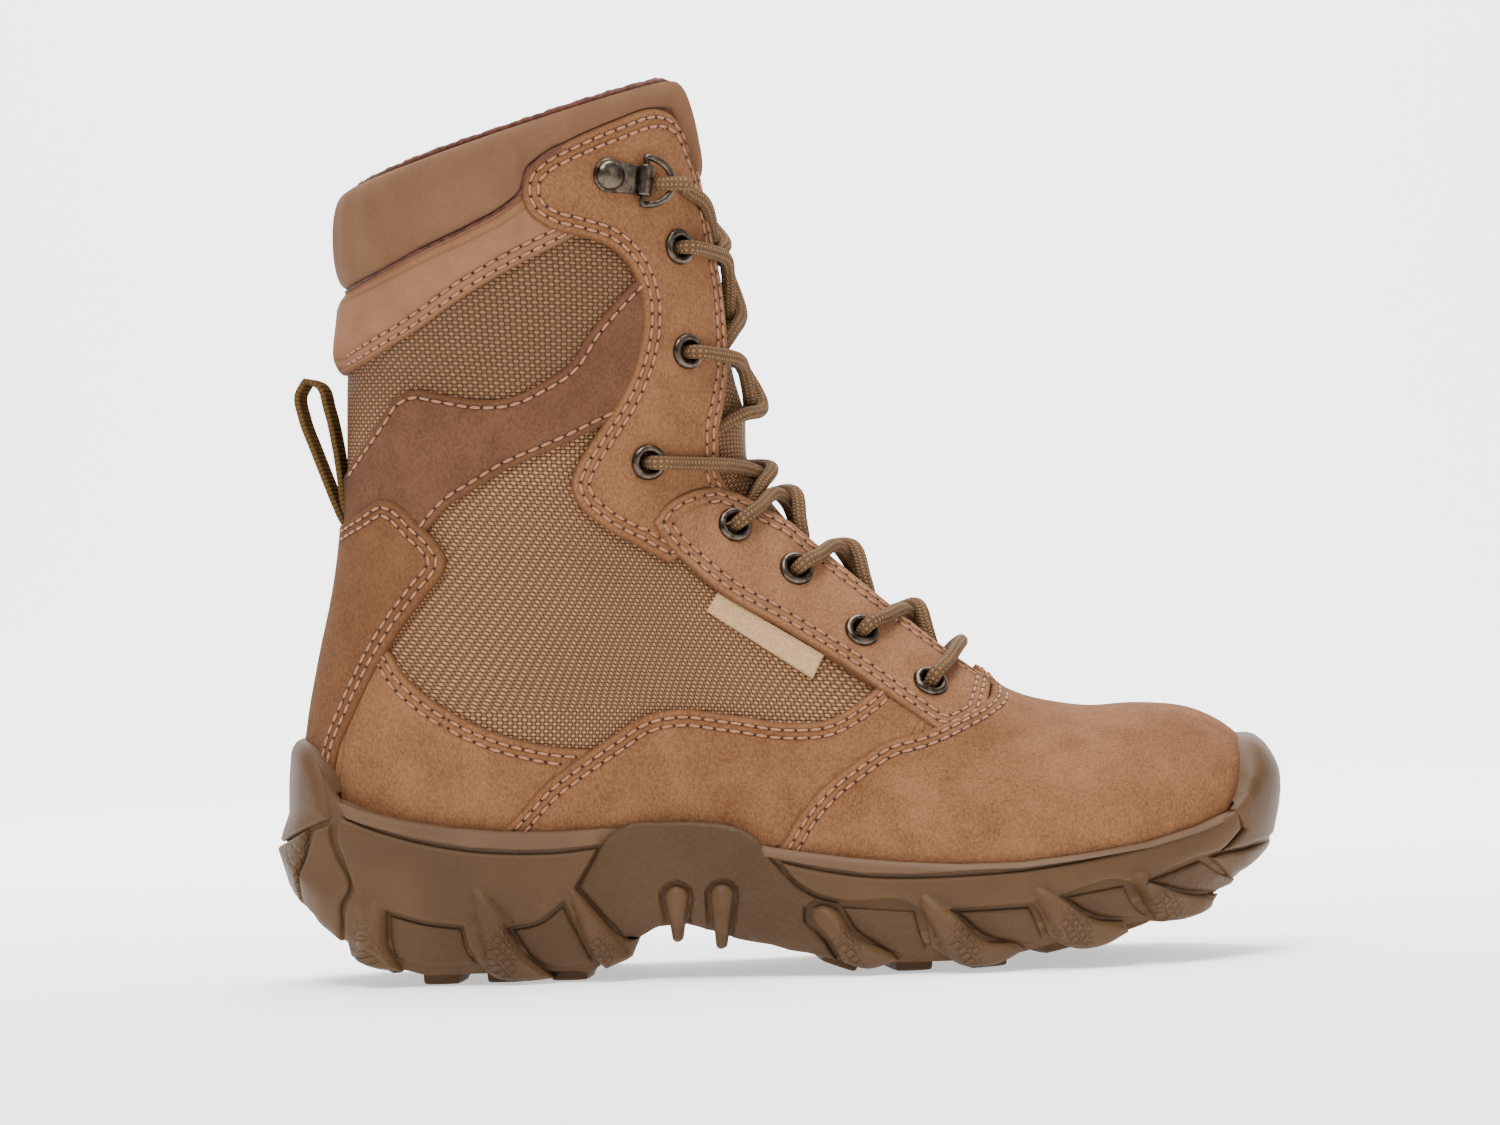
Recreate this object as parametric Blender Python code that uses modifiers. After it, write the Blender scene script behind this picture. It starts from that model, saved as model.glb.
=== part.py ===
"""Right-foot tactical boot: a hollow lasted upper with sewn overlays on a moulded cup sole.

Frame: +X to the toe, +Y to the inner (medial) side, +Z up, origin on the floor under the boot's middle.
Tables and functions work in millimetres; meshes are made in metres.
"""

import math

import bmesh
import bpy
import numpy as np
from mathutils import Vector

MM = 0.001
CENTRE_X = 0.3
CENTRE_Y = -2.15
LATERAL = -1
MEDIAL = 1
SIDES = ((LATERAL, "lateral"), (MEDIAL, "medial"))

# Wall and layer sizes
WALL = 2.0
GAP = 0.3
LAYER_LOW = 1.2
LAYER_HIGH = 1.7
ROLL_DEPTH = 3.4
TONGUE_LIFT = -3.7
TONGUE_WALL = 2.4
TONGUE_HALF = 27.0
TONGUE_ROWS = (8.6, 9.5, 10.5, 11.5, 12.5, 13.5, 14.5, 15.5, 16.5, 18, 19.5, 21, 22.5, 24, 25)
SHARP_ANGLE = math.radians(40)

# Upper sections, toe to collar: ridge point, low point, ridge offset, half widths, share of the width
# kept at the feather edge, where the section is widest, and how full it is above and below that.
COLUMNS = ("top_x", "top_z", "low_x", "low_z", "ridge_y", "lateral", "medial", "foot", "full_at", "crown",
           "seat")
SECTIONS = np.array([
    (141.0, 47.0, 140.4, 36.0, 7.5, 0.0, 0.0, 1.00, 0.80, 2.40, 2.0),
    (140.0, 54.5, 138.4, 35.4, 7.2, 14.0, 13.0, 0.97, 0.80, 2.40, 2.0),
    (136.4, 61.8, 133.0, 34.3, 6.6, 24.5, 22.5, 0.97, 0.80, 2.40, 2.0),
    (130.0, 67.2, 123.5, 32.0, 5.8, 35.5, 30.5, 0.97, 0.78, 2.30, 2.0),
    (120.5, 71.2, 110.0, 28.2, 5.2, 45.5, 37.0, 0.97, 0.76, 2.20, 2.0),
    (107.0, 72.6, 93.0, 24.5, 4.8, 52.5, 41.5, 0.97, 0.74, 2.10, 2.0),
    (93.0, 72.5, 73.0, 22.0, 4.4, 56.0, 43.5, 0.97, 0.73, 2.00, 2.0),
    (79.5, 74.6, 51.0, 21.6, 4.0, 56.0, 43.0, 0.965, 0.72, 1.90, 2.0),
    (66.0, 79.6, 27.5, 24.0, 3.5, 52.5, 39.8, 0.96, 0.72, 1.80, 2.0),
    (54.0, 89.2, 3.5, 28.0, 3.0, 47.5, 36.0, 0.955, 0.72, 1.75, 2.0),
    (42.5, 100.0, -22.5, 31.3, 2.5, 43.2, 33.2, 0.95, 0.72, 1.70, 2.0),
    (31.0, 111.2, -50.0, 33.2, 2.0, 40.2, 32.4, 0.94, 0.70, 1.70, 2.0),
    (19.5, 122.4, -77.5, 34.2, 1.5, 38.6, 33.2, 0.93, 0.68, 1.70, 2.0),
    (8.5, 133.2, -103.0, 34.8, 1.0, 37.6, 34.6, 0.90, 0.64, 1.75, 2.0),
    (0.3, 141.8, -122.5, 35.4, 0.6, 37.2, 35.2, 0.74, 0.60, 1.80, 2.0),
    (-4.2, 148.8, -133.2, 36.4, 0.3, 36.8, 35.4, 0.42, 0.57, 1.85, 2.0),
    (-5.2, 156.0, -137.6, 42.0, 0.0, 36.4, 35.4, 0.0, 0.55, 1.90, 2.0),
    (-5.6, 163.0, -138.8, 57.0, 0.0, 36.2, 35.6, 0.0, 0.53, 1.95, 2.0),
    (-6.0, 170.5, -137.2, 75.0, 0.0, 36.2, 36.0, 0.0, 0.52, 2.00, 2.0),
    (-7.2, 180.0, -133.0, 95.5, 0.0, 36.6, 36.6, 0.0, 0.51, 2.00, 2.0),
    (-8.6, 191.0, -128.0, 116.5, 0.0, 37.2, 37.2, 0.0, 0.50, 2.00, 2.0),
    (-10.5, 203.0, -125.0, 137.0, 0.0, 38.0, 38.0, 0.0, 0.50, 2.00, 2.0),
    (-12.8, 215.5, -124.4, 158.0, 0.0, 39.0, 39.0, 0.0, 0.50, 2.00, 2.0),
    (-15.2, 228.5, -123.4, 180.5, 0.0, 40.0, 40.0, 0.0, 0.50, 2.00, 2.0),
    (-17.8, 242.0, -120.6, 205.0, 0.0, 40.4, 40.4, 0.0, 0.50, 2.00, 2.0),
    (-22.2, 261.5, -119.2, 231.2, 0.0, 40.8, 40.8, 0.0, 0.50, 2.00, 2.0),
])
LAST_ROW = len(SECTIONS) - 1
THROAT_ROW = 8
HEEL_ROW = 16
EXTRA_ROWS = (11.5,)
SIDE_CELLS = 7
# Half width of the throat opening, measured round the section, by section row
THROAT = np.array([(0, 3.0), (2, 7.0), (8, 7.5), (9, 10.5), (13, 11.5), (14.5, 18.0), (16, 23.0),
                   (17.5, 22.0), (19, 15.0), (21, 11.5), (25, 11.0)])

# Line below which the overlays stop, hidden behind the sole's lip, toe to heel
SEAT = ((160, 42), (133, 39.0), (123.5, 36.6), (110, 33), (93, 29), (73, 26.5), (51, 26), (27.5, 28.5),
        (3.5, 32.5), (-22.5, 36), (-50, 38), (-103, 39.5), (-160, 41))

# Side-view outlines of the overlays, x and z
UPPER_EYESTAY = ((8, 256), (-16, 251.5), (-24.2, 254.2), (-30.7, 253.9), (-42.5, 249.6), (-54.4, 244.5),
                 (-63.3, 239.8), (-67.9, 234.7), (-68.7, 229.3), (-66.5, 223.4), (-61.4, 219.4),
                 (-52.2, 216.5), (-45, 213.9), (-39.4, 208.7), (-35.9, 200.5), (-35.3, 191.7),
                 (-36.8, 183), (-40.6, 173), (-50.8, 157.3), (-55.4, 150.2), (-57.4, 144.5),
                 (-55.8, 139.2), (-49.3, 132.5), (-37.9, 125.4), (-29, 119.3), (-18, 119.5), (14, 132))
LOWER_EYESTAY = ((-34.8, 133.5), (-30.3, 138.3), (-22.9, 141.9), (-9.6, 144.3), (-3, 143.5), (14, 150),
                 (60, 112), (78, 92), (66, 74), (58, 66), (46, 68.5), (42.7, 71), (23, 86),
                 (1.8, 100.3), (-15.2, 111), (-23.6, 118.5), (-32, 127.6))
VAMP = ((-3.4, 33.6), (1.5, 39.5), (5.8, 46), (14.8, 55), (21.6, 59.6), (31.6, 65.4), (42.5, 67.8),
        (52.7, 71.5), (59.5, 74.5), (62.5, 76.8), (63.3, 79.7), (61.5, 82.3), (63, 98),
        (160, 98)) + SEAT[:9]
QUARTER = ((-58.2, 64.6), (-47.6, 71.2), (-39.3, 76.1), (-30.2, 77.9), (-14, 75.8), (4.7, 72.6),
           (15.2, 73.1), (22.9, 76.9), (28, 80.5), (31, 84), (48, 74), (44, 66), (36, 56),
           (14, 38)) + SEAT[8:11] + ((-85, 39), (-82.2, 43.4), (-76.2, 49.3), (-68, 57.7))
HEEL_PANEL = ((-124, 110), (-111.5, 97.0), (-109.2, 92.7), (-102.2, 85.2), (-94.5, 79.7), (-83.9, 74.1),
              (-73.3, 70.5), (-64.5, 68.5), (-54, 67.4), (-66, 48),
              (-80, 38.8)) + SEAT[11:] + ((-160, 100),)
COUNTER = ((-160, 124), (-132, 131.5), (-125.9, 134.7), (-119.5, 138.5), (-111.4, 142.3),
           (-107.9, 140.7), (-102.6, 135.3), (-96.6, 128.8), (-94.5, 124.2), (-95.2, 120.7),
           (-100.7, 113.6), (-108.3, 104.2), (-114.8, 94.5), (-122.4, 80.5), (-128.3, 67.3),
           (-129.6, 54), (-128, 40.4)) + SEAT[12:]
STRAP = ((-160, 143), (-128, 147), (-122.9, 152), (-118.5, 157.1), (-111.9, 165.9), (-107.4, 171.8),
         (-102.7, 173.7), (-94.8, 172.3), (-83.2, 170.1), (-73.4, 170.6), (-65.4, 174), (-57, 179.1),
         (-50.1, 188.9), (-41.8, 198.2), (-36, 205), (-31, 190), (-44, 163), (-51.6, 159.7),
         (-57.8, 156.8), (-66.1, 153.5), (-76, 149.5), (-85, 144.4), (-92.4, 140.1), (-98.8, 133.7),
         (-104, 126), (-160, 118))
COLLAR_BAND = ((-160, 172), (-123.1, 180.4), (-114.2, 183.6), (-102.1, 190), (-85.7, 200.5),
               (-69.4, 209.2), (-55.6, 215.8), (-47, 221), (-52, 236), (-62, 233.4), (-69.5, 229.3),
               (-73.6, 226.2), (-85, 220.2), (-97.1, 215), (-109.2, 209.1), (-118.7, 205.7), (-160, 198))
# Fullness of the padded collar roll by section row
ROLL_SWELL = {23.3: 0.5, 23.7: 0.6, 24.1: 0.85, 24.5: 1.0, 24.8: 0.9, 25.0: 0.55}
COLLAR_ROLL = ((-160, 198.4), (-118.7, 206.1), (-109.2, 209.5), (-97.1, 215.4), (-85, 220.6),
               (-73.6, 226.6), (-69.5, 229.7), (-60, 234), (-30, 244), (6, 242), (6, 290), (-160, 290))
SIDE_TAG = ((-16.1, 111.4), (-19.4, 106.1), (10.9, 85.4), (14.4, 91.9))

# Lacing: eyelet centres from the side, toe to collar, and the sizes of the metal parts
EYELETS = ((44.6, 81.7), (25.1, 97.7), (6.5, 116.7), (-11.1, 130.5), (-35.3, 150.4), (-23.2, 182.4),
           (-24.8, 213.0))
EYELET_RIM = 5.2
EYELET_BORE = 3.1
EYELET_WALL = 0.4
HOLE_SIDES = 8
LACE_RADIUS = 2.3
CLIP_AT = (-41.5, 233.4)
CLIP_SIZE = (14.0, 9.0, 1.0)
RIVET_RADIUS = 4.2
RING_SIZE = (8.5, 14.0)
RING_WIRE = 1.0

# Sole lines along the foot: x at the feather edge, z
FLOOR_DROP = 0.7
LIP_TOP = np.array([(-137.6, 57), (-127, 55.2), (-121, 52.3), (-110, 49.1), (-95, 46.2), (-81, 44.6),
                    (-66, 44.1), (-46, 44.6), (-23, 44), (-13, 42), (-4, 38), (5, 36.4), (20, 34.1),
                    (34, 32.5), (51, 31.3), (69, 31.3), (86, 33), (104, 35.5), (118, 39.1), (130, 43.6),
                    (140.4, 46.5)])
CUP_TOP = np.array([(-137.6, 73), (-135, 71.6), (-131, 66.5), (-127, 58), (-123, 52.2), (-110, 46),
                    (-93, 42.4), (-75, 40.6), (-57, 41.6), (-50, 44.5), (-44, 46.4), (-34, 46.8),
                    (-23, 46), (-13, 43.4), (-6, 37.5), (0, 35), (20, 31), (43, 28.7), (63, 28.3),
                    (86, 29.5), (106, 32.3), (121, 37.2), (127, 41.5), (131, 48), (134.5, 56),
                    (138, 62.5), (140.4, 65)])
PANEL_TOP = np.array([(-137.6, 40), (-128, 27), (-116, 21.5), (-82, 16), (-60, 24.5), (-41, 22.4),
                      (2, 25.2), (19, 20.3), (40, 19.6), (74, 19.8), (100, 24.7), (118, 29.9),
                      (130, 38), (140.4, 43)])
TREAD = np.array([(-137.6, 26), (-130, 15), (-122, 7.5), (-112, 2.2), (-104, 0), (-57, 0), (-52.5, 4),
                  (-47, 11), (-42, 14.6), (-27, 15.6), (-13, 12), (1.5, 7.3), (12, 2.5), (19, 0),
                  (59, 0), (67, 1.6), (79, 4.4), (94, 7.5), (110, 12.5), (120, 16.5), (132, 24),
                  (140.4, 31)])
LUG_DEPTH = np.array([(-137.6, 1.5), (-120, 4.5), (-60, 4.5), (-50, 0.6), (2, 0.6), (12, 4.5),
                      (110, 4.5), (140.4, 1.0)])
STATIONS = 19
HEEL_LUGS = (-118, -62, 4)
FORE_LUGS = (14, 122, 6)
LUG_BANDS = ((-0.84, -0.12), (0.12, 0.84))
LUG_LENGTH = 12.0
FIN_COLUMNS = ("top_x", "top_z", "low_x", "low_z", "top_w", "low_w", "rise")
FINS = ((-121, 25, -116, 5.4, 8, 10, 1.3), (-83.8, 27, -77.5, 0.5, 4, 17, 1.4),
        (-63, 28, -58.6, 0.7, 4, 8, 1.4), (-29.5, 27, -30, 16.5, 4, 7, 0.9),
        (-17.4, 27, -18, 15, 4, 7, 0.9), (6.7, 25, 22, 0.6, 4, 14, 1.4),
        (41.1, 26, 57, 0.6, 4, 14, 1.4), (73, 26.5, 91, 8.8, 4, 13, 1.4),
        (100.9, 30, 114, 16, 4, 11, 1.4))
FIN_FACE = 7.7

# Pull loop at the back seam: webbing path from the side
LOOP_PATH = ((-127.9, 137.6), (-129.8, 147.2), (-133.2, 157.4), (-136.8, 168), (-137.6, 174),
             (-135.2, 178.4), (-131.6, 177), (-129.4, 170), (-127.4, 158), (-127.2, 150))
LOOP_WIDTH = 13.0
LOOP_WALL = 1.3

SUEDE = ((0.30, 0.185, 0.105), 0.92, 0.0)
NUBUCK = ((0.36, 0.235, 0.145), 0.85, 0.0)
NYLON = ((0.20, 0.115, 0.060), 0.75, 0.0)
RUBBER = ((0.165, 0.090, 0.050), 0.62, 0.0)
FOAM = ((0.20, 0.115, 0.070), 0.65, 0.0)
METAL = ((0.13, 0.12, 0.11), 0.38, 1.0)
CORD = ((0.24, 0.15, 0.085), 0.8, 0.0)
LINING = ((0.11, 0.045, 0.030), 0.9, 0.0)
WEBBING = ((0.15, 0.105, 0.055), 0.85, 0.0)
FABRIC = ((0.42, 0.31, 0.20), 0.8, 0.0)


def clear_scene():
    """Remove what the start-up file holds and make the two collections."""
    for item in list(bpy.data.objects):
        bpy.data.objects.remove(item, do_unlink=True)
    made = []
    for name in ("tactical_boot", "cutters"):
        group = bpy.data.collections.new(name)
        bpy.context.scene.collection.children.link(group)
        made.append(group)
    made[1].hide_render = True
    return made


PARTS, CUTTERS = clear_scene()


def material(name, finish):
    """A plain Principled material with the finish (colour, roughness, metallic)."""
    colour, roughness, metallic = finish
    made = bpy.data.materials.new(name)
    made.use_nodes = True
    shader = made.node_tree.nodes["Principled BSDF"]
    shader.inputs["Base Color"].default_value = (*colour, 1.0)
    shader.inputs["Roughness"].default_value = roughness
    shader.inputs["Metallic"].default_value = metallic
    return made


def world(point):
    """Millimetres in boot sizes to metres in the frame."""
    return Vector(((point[0] - CENTRE_X) * MM, (point[1] - CENTRE_Y) * MM, point[2] * MM))


def shade(mesh):
    """Shade a mesh smooth, with its sharp edges kept crisp."""
    mesh.shade_smooth()
    mesh.set_sharp_from_angle(angle=SHARP_ANGLE)


def mesh_object(name, points, faces, finish=None, weights=None):
    """An object from points (mm) and faces, merged; without a finish it is a cutter."""
    bm = bmesh.new()
    layer = bm.verts.layers.float.new("weight") if weights is not None else None
    verts = [bm.verts.new(world(p)) for p in points]
    if layer is not None:
        for vert, weight in zip(verts, weights):
            vert[layer] = weight
    for face in faces:
        corners = [verts[i] for i in face]
        bm.faces.new(corners)
    bmesh.ops.remove_doubles(bm, verts=bm.verts, dist=0.00002)
    bmesh.ops.dissolve_degenerate(bm, edges=bm.edges, dist=0.00001)
    bmesh.ops.delete(bm, geom=[e for e in bm.edges if not e.link_faces], context="EDGES")
    bm.normal_update()
    mesh = bpy.data.meshes.new(name)
    bm.to_mesh(mesh)
    shade(mesh)
    values = [v[layer] for v in bm.verts] if layer is not None else None
    bm.free()
    made = bpy.data.objects.new(name, mesh)
    if values is not None:
        group = made.vertex_groups.new(name="weight")
        for index, weight in enumerate(values):
            group.add([index], weight, "REPLACE")
    if finish is None:
        CUTTERS.objects.link(made)
        made.display_type = "WIRE"
        made.hide_render = True
    else:
        PARTS.objects.link(made)
        mesh.materials.append(material(name, finish))
    return made


def outward(made):
    """Point every face of a closed mesh outwards."""
    bm = bmesh.new()
    bm.from_mesh(made.data)
    bmesh.ops.recalc_face_normals(bm, faces=bm.faces)
    if bm.calc_volume(signed=True) < 0:
        bmesh.ops.reverse_faces(bm, faces=bm.faces)
    bm.to_mesh(made.data)
    bm.free()
    return made


def cut(made, cutter, operation="DIFFERENCE"):
    """Add an exact Boolean with the cutter."""
    step = made.modifiers.new(operation.lower(), "BOOLEAN")
    step.operation = operation
    step.solver = "EXACT"
    step.object = cutter
    return made


def between_rows(rows, at):
    """Values at a fractional row number, on a smooth curve through the rows."""
    last = len(rows) - 1
    i = int(min(max(math.floor(at), 0), last - 1))
    f = at - i
    a, b, c, d = rows[max(i - 1, 0)], rows[i], rows[i + 1], rows[min(i + 2, last)]
    return 0.5 * (2 * b + (c - a) * f + (2 * a - 5 * b + 4 * c - d) * f * f + (3 * b - 3 * c + d - a) * f ** 3)


def section(at):
    """The section at a fractional row, as a dictionary of its columns."""
    values = dict(zip(COLUMNS, between_rows(SECTIONS, at)))
    if at >= HEEL_ROW:
        values["foot"] = 0.0
    values["foot"] = min(max(values["foot"], 0.0), 1.0)
    return values


def skin(values, t, side):
    """Points on a section: t is 0 at the ridge and 1 at the low point, side is -1 or 1."""
    t = np.asarray(t, float)
    full = values["full_at"]
    above = 1 - np.clip(1 - t / full, 0, 1) ** values["crown"]
    below = 1 - (1 - values["foot"] ** 2) * np.clip((t - full) / (1 - full), 0, 1) ** values["seat"]
    widest = max(values["lateral"] if side < 0 else values["medial"], 0.0)
    y = values["ridge_y"] + side * widest * np.sqrt(np.clip(above, 0, 1) * np.clip(below, 0, 1))
    x = values["top_x"] + t * (values["low_x"] - values["top_x"])
    z = values["top_z"] + t * (values["low_z"] - values["top_z"])
    return np.stack([x, y, z], axis=-1)


FINE_T = 0.5 - 0.5 * np.cos(np.linspace(0, math.pi, 161))


def girth_t(at, side, spans):
    """t of the points at the given distances round section `at` from the ridge, and its whole half girth."""
    points = skin(section(at), FINE_T, side)
    run = np.concatenate([[0], np.cumsum(np.linalg.norm(np.diff(points, axis=0), axis=1))])
    return np.interp(spans, run, FINE_T), run[-1]


def normal_at(at, t, side):
    """Outward unit normal of the upper at row `at` and t on a side."""
    e = 0.01
    t = min(max(t, e), 1 - e)
    low, high = max(at - e, 0), min(at + e, LAST_ROW)
    along = skin(section(high), t, side) - skin(section(low), t, side)
    values = section(at)
    round_it = skin(values, t + e, side) - skin(values, t - e, side)
    n = np.cross(round_it, along) * side
    return n / np.linalg.norm(n)


def throat_half(at):
    """Half width of the throat round the section at a row."""
    return float(np.interp(at, THROAT[:, 0], THROAT[:, 1]))


def girth_point(at, side, span, lift=0.0):
    """Point and normal at a distance round the section from the ridge, lifted off the upper."""
    t, _ = girth_t(at, side, [span])
    n = normal_at(at, float(t[0]), side)
    return skin(section(at), float(t[0]), side) + n * lift, n


def from_side(x, z):
    """Row and t of the upper at a point seen from the side."""
    best = None
    steps = np.linspace(0, LAST_ROW, 501)
    values = np.array([between_rows(SECTIONS, s)[:4] for s in steps])
    run = values[:, 2:4] - values[:, 0:2]
    away = np.array([x, z]) - values[:, 0:2]
    cross = run[:, 0] * away[:, 1] - run[:, 1] * away[:, 0]
    for i in np.nonzero(np.sign(cross[:-1]) != np.sign(cross[1:]))[0]:
        f = cross[i] / (cross[i] - cross[i + 1])
        at = steps[i] + f * (steps[i + 1] - steps[i])
        row = between_rows(SECTIONS, at)
        line = row[2:4] - row[0:2]
        t = float(np.dot(np.array([x, z]) - row[0:2], line) / np.dot(line, line))
        if -0.02 <= t <= 1.02:
            best = (at, min(max(t, 0.0), 1.0))
    return best


def spans_across(at, side, half=None):
    """Distances from the ridge of a section's mesh columns, ridge to feather or back."""
    _, whole = girth_t(at, side, [0])
    gap = min(throat_half(at), 0.3 * whole)
    if half is not None:
        return list(np.linspace(0, half, 4))
    return [0, gap / 2] + list(gap + (whole - gap) * np.linspace(0, 1, SIDE_CELLS + 1))


def open_surface(name, lift, finish, rows=None, half=None, notch=True, bulge=None):
    """The upper's surface at a distance off it, as an open mesh.

    half keeps only a strip about the ridge, notch leaves the throat open, bulge gives each row a weight.
    """
    rows = sorted(set(range(LAST_ROW + 1)) | set(EXTRA_ROWS)) if rows is None else rows
    points, weights, faces = [], [], []
    columns = 4 if half is not None else SIDE_CELLS + 3
    for at in rows:
        values = section(at)
        for side in (LATERAL, MEDIAL):
            spans = spans_across(at, side, half)
            ts, _ = girth_t(at, side, spans)
            for t in ts:
                lifted = skin(values, float(t), side)
                if lift and at > 0:
                    lifted = lifted + normal_at(at, float(t), side) * lift
                if at == 0:
                    lifted = lifted + np.array([lift, 0, 0])
                if side * (lifted[1] - values["ridge_y"]) < 0 or t == 0 or (t == 1 and values["foot"] == 0):
                    lifted[1] = values["ridge_y"]
                points.append(lifted)
                weights.append(1.0 if bulge is None else bulge(at))
    for r in range(len(rows) - 1):
        opened = notch and rows[r] >= THROAT_ROW
        for k, side in enumerate((LATERAL, MEDIAL)):
            for c in range(columns - 1):
                if opened and c < 2:
                    continue
                a = (2 * r + k) * columns + c
                b = a + 2 * columns
                for face in ((a, b, b + 1), (a, b + 1, a + 1)):
                    faces.append(face if side < 0 else face[::-1])
    return mesh_object(name, points, faces, finish, None if bulge is None else weights)


def thicken(made, depth, outside):
    """Give an open surface its wall."""
    step = made.modifiers.new("wall", "SOLIDIFY")
    step.thickness = depth * MM
    step.offset = 1.0 if outside else -1.0
    step.use_quality_normals = True
    if "weight" in made.vertex_groups:
        step.vertex_group = "weight"
    return made


def rounded(outline, tight=3.0, parts=1):
    """A closed outline with its corners eased by a short curve."""
    points = np.array(outline, float)
    made = []
    for i, corner in enumerate(points):
        before, after = points[i - 1], points[(i + 1) % len(points)]
        to_before, to_after = before - corner, after - corner
        la, lb = np.linalg.norm(to_before), np.linalg.norm(to_after)
        turn = math.acos(float(np.clip(np.dot(to_before, to_after) / (la * lb), -1, 1)))
        if turn > math.radians(120):
            made.append(corner)
            continue
        cut_back = min(tight, la / 2.2, lb / 2.2)
        start, end = corner + to_before * cut_back / la, corner + to_after * cut_back / lb
        for f in np.linspace(0, 1, parts + 1):
            made.append((1 - f) ** 2 * start + 2 * f * (1 - f) * corner + f * f * end)
    return np.array(made)


def grown(outline, by):
    """A closed outline moved outwards by a distance."""
    points = np.array(outline, float)
    ahead = np.roll(points, -1, axis=0)
    area = np.sum(points[:, 0] * ahead[:, 1] - ahead[:, 0] * points[:, 1])
    step = ahead - points
    step /= np.linalg.norm(step, axis=1)[:, None]
    side = np.stack([step[:, 1], -step[:, 0]], axis=1) * math.copysign(1, area)
    both = side + np.roll(side, 1, axis=0)
    both /= np.maximum(np.sum(both * side, axis=1), 0.35)[:, None]
    return points + both * by


def prism(name, outline, y_low, y_high):
    """A cutter through the boot with a side-view outline."""
    n = len(outline)
    points = [(x, y_low, z) for x, z in outline] + [(x, y_high, z) for x, z in outline]
    faces = [tuple(range(n)), tuple(range(2 * n - 1, n - 1, -1))]
    faces += [(i, (i + 1) % n, n + (i + 1) % n, n + i) for i in range(n)]
    return outward(mesh_object(name, points, faces))


SIDE_SPAN = {LATERAL: (-95, -0.15), MEDIAL: (0.15, 95), 0: (-95, 95)}


def overlay(name, outline, depth, side, over, finish):
    """A sewn layer cut from the upper's surface by its outline, kept clear of the layers over it."""
    made = thicken(open_surface(name, GAP, finish), depth, True)
    cut(made, prism(name + "_outline", rounded(outline), *SIDE_SPAN[side]), "INTERSECT")
    for i, other in enumerate(over):
        cut(made, prism(f"{name}_clear_{i}", grown(rounded(other), GAP), *SIDE_SPAN[0]))
    return made


def build_upper():
    """The hollow upper, with holes where the eyelets pass."""
    upper = thicken(open_surface("upper", 0.0, NYLON), WALL, False)
    pierce(upper)
    return upper


def eyelet_frame(index, side):
    """Centre on the upper, outward axis and row of an eyelet."""
    at, t = from_side(*EYELETS[index])
    return skin(section(at), t, side), normal_at(at, t, side), at, t


def turned(name, profile, sides, centre, axis, finish):
    """A solid turned about an axis from (radius, height) pairs in mm."""
    spin = Vector((0, 0, 1)).rotation_difference(Vector(axis))
    points, faces, n = [], [], len(profile)
    for i in range(sides):
        a = 2 * math.pi * i / sides
        for r, h in profile:
            points.append(np.array(centre) + np.array(spin @ Vector((r * math.cos(a), r * math.sin(a), h))))
    for i in range(sides):
        j = (i + 1) % sides
        faces += [(i * n + k, j * n + k, j * n + (k + 1) % n, i * n + (k + 1) % n) for k in range(n)]
    return outward(mesh_object(name, points, faces, finish))


def pierce(made):
    """Cut the eyelet holes through a layer with one set of cylinders."""
    radius = EYELET_BORE + EYELET_WALL + GAP
    points, faces = [], []
    for index in range(len(EYELETS)):
        for side, _ in SIDES:
            centre, axis, _, _ = eyelet_frame(index, side)
            spin = Vector((0, 0, 1)).rotation_difference(Vector(axis))
            base = len(points)
            for h in (-7, 7):
                for i in range(HOLE_SIDES):
                    a = 2 * math.pi * i / HOLE_SIDES
                    ring = spin @ Vector((radius * math.cos(a), radius * math.sin(a), h))
                    points.append(centre + np.array(ring))
            n = HOLE_SIDES
            faces += [(base + i, base + (i + 1) % n, base + n + (i + 1) % n, base + n + i) for i in range(n)]
            faces += [tuple(base + i for i in range(n - 1, -1, -1)), tuple(base + n + i for i in range(n))]
    cut(made, outward(mesh_object(made.name + "_holes", points, faces)))


def build_overlays():
    """The sewn layers, top layers first so that each knows what lies over it."""
    overlay("vamp", VAMP, LAYER_HIGH, 0, (), SUEDE)
    overlay("counter", COUNTER, LAYER_HIGH, 0, (), SUEDE)
    for side, word in SIDES:
        low = overlay(f"lower_eyestay_{word}", LOWER_EYESTAY, LAYER_HIGH, side, (VAMP,), SUEDE)
        high = overlay(f"upper_eyestay_{word}", UPPER_EYESTAY, LAYER_HIGH, side, (LOWER_EYESTAY,), SUEDE)
        pierce(low)
        pierce(high)
        overlay(f"strap_{word}", STRAP, LAYER_LOW, side, (COUNTER, UPPER_EYESTAY), SUEDE)
        overlay(f"quarter_{word}", QUARTER, LAYER_LOW, side, (VAMP, LOWER_EYESTAY), SUEDE)
        overlay(f"heel_panel_{word}", HEEL_PANEL, LAYER_LOW, side, (COUNTER, QUARTER), SUEDE)
    overlay("side_tag", SIDE_TAG, 0.8, LATERAL, (LOWER_EYESTAY,), FABRIC)
    overlay("collar_band", COLLAR_BAND, LAYER_HIGH, 0, (UPPER_EYESTAY,), NUBUCK)
    roll = open_surface("collar_roll", GAP, NUBUCK, rows=tuple(ROLL_SWELL), bulge=ROLL_SWELL.get)
    thicken(roll, ROLL_DEPTH, True)
    cut(roll, prism("collar_roll_outline", rounded(COLLAR_ROLL), *SIDE_SPAN[0]), "INTERSECT")
    cut(roll, prism("collar_roll_clear", grown(rounded(UPPER_EYESTAY), GAP), *SIDE_SPAN[0]))


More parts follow.
